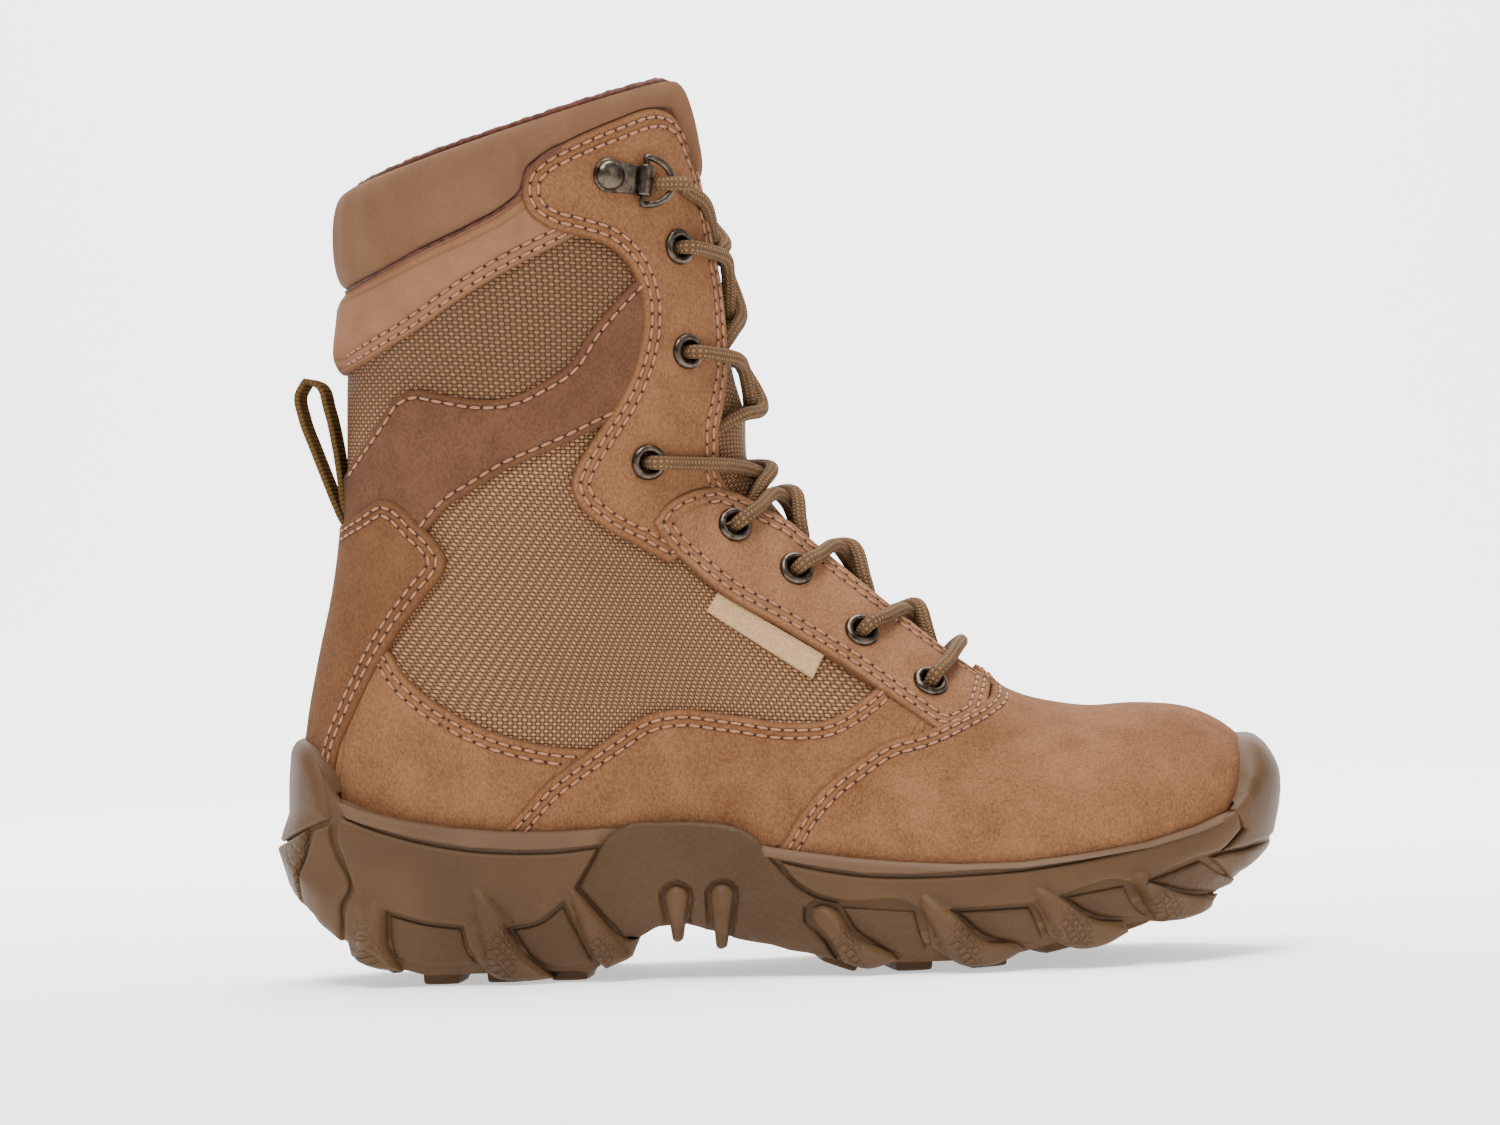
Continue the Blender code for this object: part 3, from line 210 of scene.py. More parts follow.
TREAD = np.array([
    (-137.6, 26), (-130, 15), (-122, 7.5), (-112, 2.2), (-104, 0), (-57, 0), (-52.5, 4), (-47, 11),
    (-42, 14.6), (-27, 15.6), (-13, 12), (1.5, 7.3), (12, 2.5), (19, 0), (59, 0), (67, 1.6), (79, 4.4),
    (94, 7.5), (110, 12.5), (120, 16.5), (132, 24), (140.4, 31)])
LUG_DEPTH = np.array([
    (-137.6, 1.5), (-120, 4.5), (-60, 4.5), (-50, 0.6), (2, 0.6), (12, 4.5), (110, 4.5), (140.4, 1.0)])
# Distance of the upper from the feather edge at the lip, by x
HEEL_SEAT = np.array([
    (-137.6, 1.2), (-133, -0.8), (-130, -1.9), (-127, -2.7), (-121, -2.5), (-118, -1.9), (-112, -0.6),
    (-104, 1.0), (-95, 2.2)])
HEEL_LUGS = (-118, -62, 4)
FORE_LUGS = (14, 122, 6)
LUG_BANDS = ((-0.84, -0.12), (0.12, 0.84))

# Fields of the sole's side from the side, x and z: the two combs of band and fins, then what lies between
HEEL_COMB = (
    (-129.4, 50.6), (-119, 46.6), (-106, 42.6), (-90.6, 39.5), (-75.1, 38.2), (-64.3, 38.2), (-52.6, 39.2),
    (-55.1, 34.8), (-59.6, 27.6), (-53.3, 20), (-46.6, 13.2), (-42.4, 12.2), (-45.3, 5.8), (-52, 3.1),
    (-54.6, 5.4), (-63.7, 23.1), (-71.2, 17.9), (-79.4, 16.3), (-73.9, 7.6), (-69.8, 4.3), (-66.4, 1.2),
    (-76.5, 0.4), (-85.3, 2.2), (-88.7, 5.8), (-92, 11.3), (-93.3, 17.2), (-103.7, 18.7), (-115.2, 21.8),
    (-114.8, 11.3), (-111.2, 4.4), (-118.1, 4.9), (-124.3, 7), (-127.3, 9), (-128.7, 16.5), (-127.8, 25),
    (-125.4, 29.1), (-128.4, 38.1), (-130.1, 42.9))
FORE_COMB = (
    (-1.0, 33.6), (8.3, 31.5), (24.1, 28.8), (37.8, 28.1), (52.6, 28.3), (69.8, 29.3), (90.4, 32),
    (107.7, 35.4), (124.9, 40), (134.6, 43.4), (135.6, 37), (128.4, 31), (122.8, 30), (105.9, 24.2),
    (118.2, 19.7), (128.5, 19.2), (124.9, 14.7), (118, 12.1), (109.3, 11.4), (105.5, 16), (101.1, 23),
    (99.2, 23.9), (80.3, 20.9), (89.8, 14.3), (98.9, 13.2), (100.5, 9.4), (91.8, 5.6), (83.8, 5.2),
    (75.9, 9.1), (71.7, 18.4), (71.1, 18.9), (48.9, 18), (58.8, 9.2), (67.9, 7.7), (70.1, 5.9), (60.8, 1.6),
    (51.7, 1.4), (41.6, 7.5), (38.6, 18.4), (37.5, 19.3), (15.9, 21.4), (10.2, 23.2), (3, 28))
SADDLE = (
    (-49.8, 42.8), (-44.7, 45.7), (-33.1, 46.2), (-23.2, 45.9), (-17.5, 45.2), (-10.7, 43), (-6.8, 40.3),
    (-2.5, 34.1), (3, 27.6), (10.2, 22.8), (15.9, 20.9), (9.0, 21.2), (6.4, 19.6), (6.2, 16.1), (11.2, 11),
    (15.2, 4.2), (7.4, 6), (-1.7, 8.4), (-14.1, 10.9), (-21.5, 13.4), (-27.1, 15.2), (-34.9, 15.5),
    (-38, 14.2), (-41.8, 12.0), (-46.7, 12.7), (-53.4, 20.1), (-59.4, 27.7), (-55.1, 34.8))
FIELDS = (
    ((-115.2, 21.8), (-103.7, 18.7), (-93.3, 17.2), (-92, 11.3), (-88.7, 5.8), (-99.5, 5.6), (-108.7, 6.4),
    (-113.6, 8.4), (-114.8, 11.3)),
    ((-79.4, 16.3), (-71.2, 17.9), (-63.7, 23.1), (-55, 5.4), (-61.6, 4.2), (-69.8, 4.3), (-73.9, 7.6)),
    ((15.8, 20.4), (37.9, 18.5), (39, 13.8), (41.1, 7.2), (38.1, 5.3), (31.9, 5.5), (25.7, 8.6),
    (20.1, 12.8)),
    ((48.8, 17.9), (71.1, 18.8), (73.8, 12.6), (75, 8.4), (71.3, 7.2), (66.7, 7.7), (58.8, 9.5)),
    ((80.3, 20.8), (99.2, 23.7), (103, 16.7), (106.9, 13.4), (103.4, 12.7), (98.9, 13.2), (89.8, 14.6)),
    ((105.7, 24.1), (122.6, 29.6), (129.9, 24.9), (134.4, 23), (133.2, 20.7), (128.5, 19.4), (118.2, 20)))
FIN_A = (
    (7.9, 20.1), (7.1, 16.1), (12.1, 11.4), (16.6, 3.4), (23.2, 1.3), (33.5, 3.8), (31.9, 5.5),
    (20.1, 12.4), (15.2, 19.4), (11, 21))
# Ribs of the saddle: top x and z, low x and z, half width
RIBS = ((-30.8, 27.2, -31.0, 10.8, 3.3), (-17.6, 27.4, -18.4, 8.4, 3.3))
# Fins: axis from the side (top x, z, low x, z), half widths at both ends, rise
FINS = (
    (-120, 26, -118, 5, 2.4, 8, 3.4), (-89, 28, -76, 1, 1.6, 9.5, 4.8), (-61, 28, -48.5, 3, 1.8, 6, 3.8),
    (10, 21, 24, 1, 3, 9, 4.2), (39.5, 22.5, 59, 1, 1.4, 9.5, 4.8), (72.5, 23.3, 91, 5, 1.4, 9.5, 4.6),
    (101.5, 26.5, 118, 11, 1.4, 9, 4.2))
FIELD_RINGS = (0.35, 0.8, 1.4)
# Wrap fields at the two ends, half of each: x at the feather edge and z, from middle to middle
TOE_GUARD = (
    (140.4, 64.6), (138, 62.2), (134.5, 55.7), (131, 47.7), (127.8, 43), (130.4, 37), (124.4, 31.4),
    (130, 31.8), (136, 33.2), (140.4, 34.2))
TOE_BLOCK = (
    (140.4, 33.0), (136, 32.1), (130, 30.9), (124, 30.4), (121, 29.6), (127.2, 23.6), (134, 25.8),
    (140.4, 30.6))
HEEL_WRAP = (
    (-137.6, 72.7), (-135, 71.2), (-131, 66), (-128.8, 60), (-127.8, 55), (-127.3, 49.4), (-131, 47.5),
    (-135, 44.5), (-137.6, 42.2))
HEEL_SIDE = (
    (-126.9, 48.2), (-130.5, 46.6), (-131.4, 39.9), (-132.8, 32), (-133.2, 22.7), (-130, 17), (-126.5, 13),
    (-125.2, 16.5), (-124.2, 25), (-122.4, 29.1), (-125, 38.1), (-126.4, 43))
HEEL_BACK = (
    (-137.6, 41.2), (-135, 43.4), (-132.2, 46), (-132, 40), (-133.4, 32), (-133.9, 24), (-134.5, 21.4),
    (-137.6, 26.6))

Array = np.ndarray
Colour = tuple[float, float, float]
Lift = Callable[[Array, Array], Array]


class Side(IntEnum):
    """Sides of the boot, with the sign of Y."""

    LATERAL = -1
    MEDIAL = 1

    @property
    def word(self) -> str:
        """The side's name as used by the frame's nodes."""
        return self.name.lower()


class Sewing(IntEnum):
    """How an edge is sewn: rows of stitches."""

    NONE = 0
    SINGLE = 1
    DOUBLE = 2


class Slot(Enum):
    """Names of the material slots."""

    SUEDE = "suede"
    NUBUCK = "nubuck"
    NYLON = "nylon"
    RUBBER = "rubber"
    FOAM = "foam"
    METAL = "metal"
    CORD = "cord"
    LINING = "lining"
    WEBBING = "webbing"
    TAG = "tag"


def shader_operator(operation: str, swapped: bool = False) -> Callable[["Sock", "Value"], "Sock"]:
    """An arithmetic method of a shader socket.

    Args:
        operation: The math node's operation.
        swapped: Whether the socket is the second value.

    Returns:
        The method.
    """
    def operate(self: "Sock", other: "Value") -> "Sock":
        """The result of the operation."""
        return self.graph.math(operation, *((other, self) if swapped else (self, other)))

    return operate


@dataclass(eq=False)
class Sock:
    """A shader socket that takes part in arithmetic."""

    graph: "Graph"
    socket: bpy.types.NodeSocket

    __add__ = shader_operator("ADD")
    __radd__ = shader_operator("ADD", True)
    __sub__ = shader_operator("SUBTRACT")
    __rsub__ = shader_operator("SUBTRACT", True)
    __mul__ = shader_operator("MULTIPLY")
    __rmul__ = shader_operator("MULTIPLY", True)
    __truediv__ = shader_operator("DIVIDE")

    def output(self, name: str) -> "Sock":
        """Another output of the same node."""
        return Sock(self.graph, self.socket.node.outputs[name])

    def apply(self, operation: str, other: "Value" = 0.0) -> "Sock":
        """One step of shader maths on this value."""
        return self.graph.math(operation, self, other)

    def ease(self, low: float, high: float) -> "Sock":
        """A smooth step of this value, from 0 at the low value to 1 at the high one."""
        sockets = {"Value": self, "From Min": low, "From Max": high}
        return self.graph.node("ShaderNodeMapRange", {"interpolation_type": "SMOOTHSTEP"}, sockets)


Value = Union[Sock, float]


class Graph:
    """A material under construction."""

    def __init__(self, name: str) -> None:
        """Start an empty material.

        Args:
            name: Name of the material.
        """
        self.material = bpy.data.materials.new(name)
        self.material.use_nodes = True
        self.tree = self.material.node_tree
        self.tree.nodes.clear()

    def node(self, kind: str, settings: dict | None = None, sockets: dict | None = None,
             output: int | str | None = 0) -> Sock | None:
        """Create any node: its settings first, then its sockets.

        Args:
            kind: Node type.
            settings: Attributes of the node.
            sockets: Values or sockets by input name or number.
            output: The output handed back, if any.

        Returns:
            That output.
        """
        made = self.tree.nodes.new(kind)
        for key, value in (settings or {}).items():
            setattr(made, key, value)
        for key, value in (sockets or {}).items():
            if isinstance(value, Sock):
                self.tree.links.new(value.socket, made.inputs[key])
            else:
                made.inputs[key].default_value = value
        return None if output is None else Sock(self, made.outputs[output])

    def math(self, operation: str, first: Value, second: Value = 0.0) -> Sock:
        """A math node."""
        return self.node("ShaderNodeMath", {"operation": operation}, {0: first, 1: second})

    def millimetres(self, stretch: Colour = (1.0, 1.0, 1.0)) -> Sock:
        """The object's own coordinates in millimetres, stretched along its axes.

        Args:
            stretch: Factor along each axis.

        Returns:
            The coordinates.
        """
        place = self.node("ShaderNodeTexCoord", output="Object")
        scale = tuple(1000.0 * s for s in stretch)
        return self.node("ShaderNodeVectorMath", {"operation": "MULTIPLY"}, {0: place, 1: scale})

    def surface_map(self) -> Sock:
        """The piece's own map as a vector of separate parts."""
        laid = self.node("ShaderNodeUVMap", {"uv_map": "UVMap"})
        return self.node("ShaderNodeSeparateXYZ", sockets={0: laid})

    def trait(self) -> Sock:
        """The piece's trait attribute as separate parts: edge distance, pebble (also the weight of painted
        shade), knurl.
        """
        read = self.node("ShaderNodeAttribute", {"attribute_name": "trait"}, output="Vector")
        return self.node("ShaderNodeSeparateXYZ", sockets={0: read})

    def noise(self, place: Sock, scale: float, detail: float = 2.0, rough: float = 0.55) -> Sock:
        """Fractal noise over a place, 0 to 1."""
        sockets = {"Vector": place, "Scale": scale, "Detail": detail, "Roughness": rough}
        return self.node("ShaderNodeTexNoise", {"noise_dimensions": "3D"}, sockets)

    def cells(self, place: Sock, scale: float, feature: str = "F1") -> Sock:
        """Distance in a cell pattern."""
        return self.node("ShaderNodeTexVoronoi", {"feature": feature}, {"Vector": place, "Scale": scale},
                         "Distance")

    def mix(self, factor: Value, first: Union[Sock, Colour], second: Union[Sock, Colour]) -> Sock:
        """A blend of two colours."""
        pair = [c if isinstance(c, Sock) else (*c, 1.0) for c in (first, second)]
        return self.node("ShaderNodeMix", {"data_type": "RGBA"}, {0: factor, 6: pair[0], 7: pair[1]}, 2)

    def bump(self, height: Sock, depth: float, strength: float = 1.0, under: Sock | None = None) -> Sock:
        """A bumped normal; depth is in millimetres for a height of 1.

        Args:
            height: The relief.
            depth: Depth of the relief.
            strength: Share of it that shows.
            under: Normal it is laid over.

        Returns:
            The normal.
        """
        sockets = {"Height": height, "Distance": depth * MM, "Strength": strength}
        if under is not None:
            sockets["Normal"] = under
        return self.node("ShaderNodeBump", sockets=sockets)

    def finish(self, colour: Union[Sock, Colour], rough: Value, normal: Sock | None = None,
               metal: float = 0.0, sheen: float = 0.0, specular: float = 0.35,
               glow: float = 0.0) -> bpy.types.Material:
        """Close the graph with a Principled shader.

        Args:
            colour: Base colour.
            rough: Roughness.
            normal: Bumped normal.
            metal: Metallic share.
            sheen: Weight of the cloth-like sheen.
            specular: Strength of the plain reflection.
            glow: Strength of its own white light.

        Returns:
            The material.
        """
        base = colour if isinstance(colour, Sock) else (*colour, 1.0)
        sockets = {"Base Color": base, "Roughness": rough, "Metallic": metal, "Sheen Weight": sheen,
                   "Sheen Roughness": 0.6, "Specular IOR Level": specular, "Emission Strength": glow,
                   "Emission Color": (1.0, 1.0, 1.0, 1.0)}
        if normal is not None:
            sockets["Normal"] = normal
        shader = self.node("ShaderNodeBsdfPrincipled", sockets=sockets)
        self.node("ShaderNodeOutputMaterial", sockets={"Surface": shader}, output=None)
        return self.material


@dataclass(frozen=True)
class Leather:
    """Brushed leather: two tones, the tone of its cut edge, nap and the rows it is sewn by, with painted
    shade in their grooves.
    """

    name: str
    dark: Colour
    light: Colour
    cut: Colour
    grain: float = 1.0
    rows: tuple[float, ...] = ()
    rough: float = 0.93

    def material(self) -> bpy.types.Material:
        """Build the material.

        Returns:
            The material.
        """
        g = Graph(self.name)
        place = g.millimetres()
        patch = g.noise(place, 0.020, 3.0)
        cloud = g.noise(place, 0.085, 4.0, 0.62)
        grain = g.noise(place, 1.1, 3.0, 0.7)
        nap = g.noise(g.millimetres((1.0, 1.0, 0.35)), 2.6, 2.0, 0.6)
        fine = (grain - 0.5) * 1.5 + (nap - 0.5) * 1.2
        tone = (patch - 0.5) * 0.9 + (cloud - 0.5) * 0.9 + fine * self.grain
        colour = g.mix((tone + 0.5).ease(-0.15, 1.15), self.dark, self.light)
        edge = g.trait()
        colour = g.mix(edge.ease(1.0, 0.2) * 0.65, colour, self.cut)
        height = grain * 0.5 + nap * 0.5
        normal = g.bump(height, 0.34 * self.grain, 0.8)
        if self.rows:
            dip = None
            for row in self.rows:
                near = 1.0 - ((edge - row) / 0.75).apply("ABSOLUTE").ease(0.0, 1.0)
                dip = near if dip is None else dip.apply("MAXIMUM", near)
            # Painted shade: each stitch row's groove is darkened towards the cut edge's tone.
            colour = g.mix(dip * 0.28, colour, self.cut)
            normal = g.bump(1.0 - dip, 0.35, 0.8, normal)
        return g.finish(colour, self.rough, normal, specular=0.12)


@dataclass(frozen=True)
class Weave:
    """Plain-woven yarn: pitch in millimetres, tones of the crossing yarns and of the gaps; higher up,
    painted shade under the collar band darkens it.
    """

    name: str
    pitch: float
    over: Colour
    under: Colour
    gap: Colour
    relief: float = 0.5

    def material(self) -> bpy.types.Material:
        """Build the material.

        Returns:
            The material.
        """
        g = Graph(self.name)
        place = g.millimetres()
        wander = g.noise(place, 0.05, 2.0) * 0.5
        laid = g.surface_map()
        a = laid.output("X") / (1.22 * self.pitch) + wander
        b = laid.output("Y") / (0.84 * self.pitch) + wander
        parity = ((a.apply("FLOOR") + b.apply("FLOOR")) * 0.5).apply("FRACT") * 2.0
        fa = (a.apply("FRACT") * math.pi).apply("SINE")
        fb = (b.apply("FRACT") * math.pi).apply("SINE")
        weft = fb.apply("POWER", 0.7) * (0.35 + 0.65 * fa)
        warp = fa.apply("POWER", 0.7) * (0.35 + 0.65 * fb) * 0.8
        height = weft * (1.0 - parity) + warp * parity
        patch = g.noise(place, 0.03, 3.0)
        fibre = g.noise(place, 3.0, 2.0)
        yarn = g.mix(parity, self.over, self.under)
        colour = g.mix(height.ease(0.75, 0.12), yarn, self.gap)
        shade = (patch - 0.5) * 0.7 + (fibre - 0.5) * 0.5 + 0.5
        colour = g.mix(shade.ease(-0.1, 1.1) * 0.35, colour, self.gap)
        # Painted shade: the weave darkens towards the gap tone with height, standing in for the shade under
        # the collar band.
        high = g.node("ShaderNodeSeparateXYZ", sockets={0: place}).output("Z")
        colour = g.mix(high.ease(150.0, 182.0) * 0.45, colour, self.gap)
        return g.finish(colour, 0.62, g.bump(height + fibre * 0.15, self.relief, 0.9), specular=0.2)


@dataclass(frozen=True)
class Rubber:
    """Moulded rubber with a fine grain, pebbles and knurls where the piece says so; pebbled parts are
    darkened as painted shade.
    """

    name: str
    dark: Colour
    light: Colour
    rough: float = 0.56

    def material(self) -> bpy.types.Material:
        """Build the material.

        Returns:
            The material.
        """
        g = Graph(self.name)
        place = g.millimetres()
        patch = g.noise(place, 0.035, 3.0)
        grain = g.noise(place, 1.8, 3.0, 0.7)
        trait = g.trait()
        pebble = g.cells(place, 0.62, "SMOOTH_F1").ease(0.75, 0.1) * trait.output("Y")
        parts = g.node("ShaderNodeSeparateXYZ", sockets={0: place})
        level = (parts + parts.output("Y")) / 3.4
        up = parts.output("Z") / 3.4
        rows = [((level + way).apply("FRACT") - 0.5).apply("ABSOLUTE") for way in (up, up * -1.0)]
        knurl = rows[0].apply("MAXIMUM", rows[1]).ease(0.46, 0.28) * trait.output("Z")
        tone = (patch - 0.5) * 0.9 + (grain - 0.5) * 0.6 + 0.5
        colour = g.mix(tone.ease(0.0, 1.0), self.dark, self.light)
        worn = trait.ease(1.3, 0.25)
        colour = g.mix(worn * 0.35, colour, self.light)
        # Painted shade: pebbled parts are darkened towards black by their pebble weight, most in the hollow
        # saddle and the recessed fields.
        colour = g.mix(trait.output("Y") * 0.24, colour, BLACK)
        rough = self.rough + (grain - 0.5) * 0.14
        normal = g.bump(grain, 0.10, 0.6)
        normal = g.bump(pebble, 0.28, 0.8, normal)
        normal = g.bump(knurl, 0.55, 1.0, normal)
        return g.finish(colour, rough, normal, specular=0.18)


@dataclass(frozen=True)
class Braid:
    """Round braided cord, or ribbed webbing where flat: two tones and the strand's pitch."""

    name: str
    light: Colour
    dark: Colour
    pitch: float = 2.4
    flat: bool = False

    def material(self) -> bpy.types.Material:
        """Build the material.

        Returns:
            The material.
        """
        g = Graph(self.name)
        laid = g.surface_map()
        along = laid.output("Y") / self.pitch
        across = laid.output("X") / (1.1 if self.flat else 1.0 / 8.0)
        if self.flat:
            rib = (along.apply("FRACT") * math.pi).apply("SINE")
            cross = (across.apply("FRACT") * math.pi).apply("SINE")
            height = rib * (0.5 + 0.5 * cross)
            fleck = cross.ease(0.35, 0.8) * 0.6
        else:
            one = across + along
            two = across - along
            parity = ((one.apply("FLOOR") + two.apply("FLOOR")) * 0.5).apply("FRACT").apply("ABSOLUTE") * 2.0
            ridges = [(way.apply("FRACT") * math.pi).apply("SINE") for way in (one, two)]
            height = ridges[0] * ridges[1]
            fleck = 1.0 - parity.apply("MINIMUM", 1.0) * 0.8
        place = g.millimetres()
        fibre = g.noise(place, 3.2, 2.0)
        patch = g.noise(place, 0.12, 2.0)
        colour = g.mix(fleck.apply("MINIMUM", 1.0) * (0.35 + patch * 0.6), self.light, self.dark)
        colour = g.mix(height.ease(0.5, 0.05) * 0.65, colour, self.dark)
        return g.finish(colour, 0.78, g.bump(height + fibre * 0.25, 0.35, 0.9),
                        specular=0.0 if self.flat else 0.12)


@dataclass(frozen=True)
class Metal:
    """Antique metal: dark and bright in patches of noise."""

    name: str
    dark: Colour
    light: Colour
    rough: float = 0.34

    def material(self) -> bpy.types.Material:
        """Build the material.

        Returns:
            The material.
        """
        g = Graph(self.name)
        place = g.millimetres()
        patch = g.noise(place, 0.5, 3.0)
        fine = g.noise(place, 3.0, 2.0)
        colour = g.mix((patch * 0.7 + fine * 0.3).ease(0.3, 0.7), self.dark, self.light)
        rough = self.rough + (patch - 0.5) * 0.25
        return g.finish(colour, rough, g.bump(fine, 0.03, 0.5), metal=1.0, specular=0.5)


@dataclass(frozen=True)
class Cloth:
    """Plain fine cloth or thread: two tones, size of its grain, and roughness."""

    name: str
    dark: Colour
    light: Colour
    size: float = 0.8
    rough: float = 0.9

    def material(self) -> bpy.types.Material:
        """Build the material.

        Returns:
            The material.
        """
        g = Graph(self.name)
        place = g.millimetres()
        grain = g.noise(place, 1.0 / self.size, 2.0)
        holes = g.cells(place, 0.55 / self.size)
        tone = grain * 0.6 + holes * 0.5
        colour = g.mix(tone.ease(0.2, 0.85), self.dark, self.light)
        return g.finish(colour, self.rough, g.bump(tone, 0.25 * self.size, 0.8), sheen=0.1, specular=0.2)


def edge_line(table: Sequence, step: float = 0.9, closed: bool = False, corner: float = 50.0) -> Array:
    """A dense smooth line through a table of points; sharp corners stay.

    Args:
        table: The points.
        step: Spacing of the line's points.
        closed: Whether the line comes back to its start.
        corner: Turn in degrees above which a point stays a corner.

    Returns:
        The line's points.
    """
    p = np.asarray(table, float)
    if closed:
        p = np.vstack([p, p[:1]])
    run = np.diff(p, axis=0)
    length = lengths(run)
    unit = run / length[:, None]
    count = len(run)
    limit = math.cos(math.radians(corner))

    def lead(i: int, j: int, own: int) -> Array:
        """Direction of the line where two steps meet.

        Args:
            i: The step before.
            j: The step after.
            own: Step taken at ends and sharp corners.

        Returns:
            A direction of length one.
        """
        if not closed and (i < 0 or j >= count):
            return unit[own]
        i, j = i % count, j % count
        if float(unit[i] @ unit[j]) < limit:
            return unit[own]
        both = unit[i] * length[j] + unit[j] * length[i]
        return both / np.linalg.norm(both)

    made = []
    for i in range(count):
        parts = max(int(math.ceil(length[i] / step)), 1)
        f = (np.arange(parts) / parts)[:, None]
        start, end = lead(i - 1, i, i) * length[i], lead(i, i + 1, i) * length[i]
        made.append((2 * f ** 3 - 3 * f ** 2 + 1) * p[i] + (f ** 3 - 2 * f ** 2 + f) * start
                    + (3 * f ** 2 - 2 * f ** 3) * p[i + 1] + (f ** 3 - f ** 2) * end)
    if not closed:
        made.append(p[-1:])
    return np.vstack(made)


def shrunk(outline: Sequence, by: float) -> Array:
    """A closed outline moved inwards by a distance.

    Args:
        outline: Its corners.
        by: The distance.

    Returns:
        The moved corners.
    """
    points = np.array(outline, float)
    ahead = np.roll(points, -1, axis=0)
    area = np.sum(points[:, 0] * ahead[:, 1] - ahead[:, 0] * points[:, 1])
    step = ahead - points
    step /= lengths(step)[:, None]
    away = columns(step[:, 1], -step[:, 0]) * math.copysign(1, area)
    both = away + np.roll(away, 1, axis=0)
    both /= np.maximum(np.sum(both * away, axis=1), 0.5)[:, None]
    return points - both * by


def within(points: Array, loop: Array) -> Array:
    """Which points lie inside a closed loop.

    Args:
        points: Points in two columns.
        loop: Corners of the loop.

    Returns:
        True for each point inside.
    """
    x, y = points[:, 0], points[:, 1]
    hit = np.zeros(len(points), bool)
    for (x0, y0), (x1, y1) in zip(loop, np.roll(loop, -1, axis=0)):
        if y0 != y1:
            hit ^= ((y0 > y) != (y1 > y)) & (x < (x1 - x0) * (y - y0) / (y1 - y0) + x0)
    return hit


def columns(*values: Array) -> Array:
    """Values side by side, one column each."""
    return np.stack(values, axis=1)


def lengths(vectors: Array) -> Array:
    """Length of each vector."""
    return np.linalg.norm(vectors, axis=1)


def run_of(points: Array) -> Array:
    """Distance of each point along its line, from the start."""
    return np.concatenate([[0], np.cumsum(lengths(np.diff(points, axis=0)))])


def reach_to(points: Array, line: Array) -> Array:
    """Distance of each point from the nearest point of a line."""
    return np.sqrt(((points[:, None] - line[None]) ** 2).sum(-1)).min(1)


def throat_half(w: Union[float, Array]) -> Array:
    """Distance of the throat's edge from the ridge, by section row."""
    return np.interp(w, THROAT[:, 0], THROAT[:, 1])


def between_rows(table: Array, at: Array) -> Array:
    """Values on a smooth curve through the rows of a table, at fractional rows.

    Args:
        table: Rows of values.
        at: Fractional rows.

    Returns:
        A row of values for each.
    """
    end = len(table) - 1
    i = np.clip(np.floor(at).astype(int), 0, end - 1)
    f = (at - i)[:, None]
    a, b = table[np.maximum(i - 1, 0)], table[i]
    c, d = table[i + 1], table[np.minimum(i + 2, end)]
    cubic = (3 * b - 3 * c + d - a) * f ** 3
    return 0.5 * (2 * b + (c - a) * f + (2 * a - 5 * b + 4 * c - d) * f * f + cubic)


def linked(name: str, data: bpy.types.ID) -> bpy.types.Object:
    """A new object in the scene.

    Args:
        name: Its name.
        data: Its mesh or light.

    Returns:
        The object.
    """
    made = bpy.data.objects.new(name, data)
    bpy.context.scene.collection.objects.link(made)
    return made


def unit(vectors: Array) -> Array:
    """Vectors brought to length one."""
    return vectors / np.maximum(np.linalg.norm(vectors, axis=-1, keepdims=True), 1e-9)


def ease(value: Array) -> Array:
    """Smooth step from 0 to 1."""
    f = np.clip(value, 0, 1)
    return f * f * (3 - 2 * f)


def lookup(table: Array, i: Array, j: Array) -> Array:
    """Values between the entries of a table at fractional places.

    Args:
        table: Values in two directions.
        i: Places in the first direction.
        j: Places in the second.

    Returns:
        A value for each place.
    """
    i0 = np.clip(np.floor(i).astype(int), 0, table.shape[0] - 2)
    j0 = np.clip(np.floor(j).astype(int), 0, table.shape[1] - 2)
    fi, fj = i - i0, j - j0
    low = table[i0, j0] * (1 - fi) + table[i0 + 1, j0] * fi
    return low * (1 - fj) + (table[i0, j0 + 1] * (1 - fi) + table[i0 + 1, j0 + 1] * fi) * fj


class Surface:
    """A surface over two coordinates.

    Scale turns them into rough millimetres, nudge is a small step of each, and winding turns faces outwards.
    """

    scale = (1.0, 1.0)
    nudge = (0.1, 0.1)
    winding = -1

    def at(self, a: Array, b: Array) -> Array:
        """Points of the surface."""
        raise NotImplementedError

    def steps(self, a: Array, b: Array) -> tuple[Array, Array]:
        """Change of the point with each coordinate.

        Args:
            a: First coordinates.
            b: Second coordinates.

        Returns:
            The change with each of the two.
        """
        da, db = self.nudge
        return ((self.at(a + da, b) - self.at(a - da, b)) / (2 * da),
                (self.at(a, b + db) - self.at(a, b - db)) / (2 * db))

    def normal(self, a: Array, b: Array) -> Array:
        """Outward normals."""
        along, across = self.steps(a, b)
        return unit(np.cross(across, along))

    def relief(self, base: Array) -> Array:
        """Lift that every layer on the surface shares."""
        return np.zeros(len(base))

    def place(self, a: Array, b: Array, lift: Union[float, Array] = 0.0) -> Array:
        """Points lifted off the surface."""
        base = self.at(a, b)
        return base + self.normal(a, b) * (lift + self.relief(base))[:, None]

    def move(self, a: Array, b: Array, way: Array) -> tuple[Array, Array]:
        """Coordinates after a short walk along the surface.

        Args:
            a: First coordinates.
            b: Second coordinates.
            way: The walk in millimetres.

        Returns:
            The new coordinates.
        """
        u, v = self.steps(a, b)
        uu, uv, vv = (np.sum(p * q, axis=1) for p, q in ((u, u), (u, v), (v, v)))
        pu, pv = np.sum(u * way, axis=1), np.sum(v * way, axis=1)
        span = np.maximum(uu * vv - uv * uv, 1e-9)
        return a + (pu * vv - pv * uv) / span, b + (pv * uu - pu * uv) / span


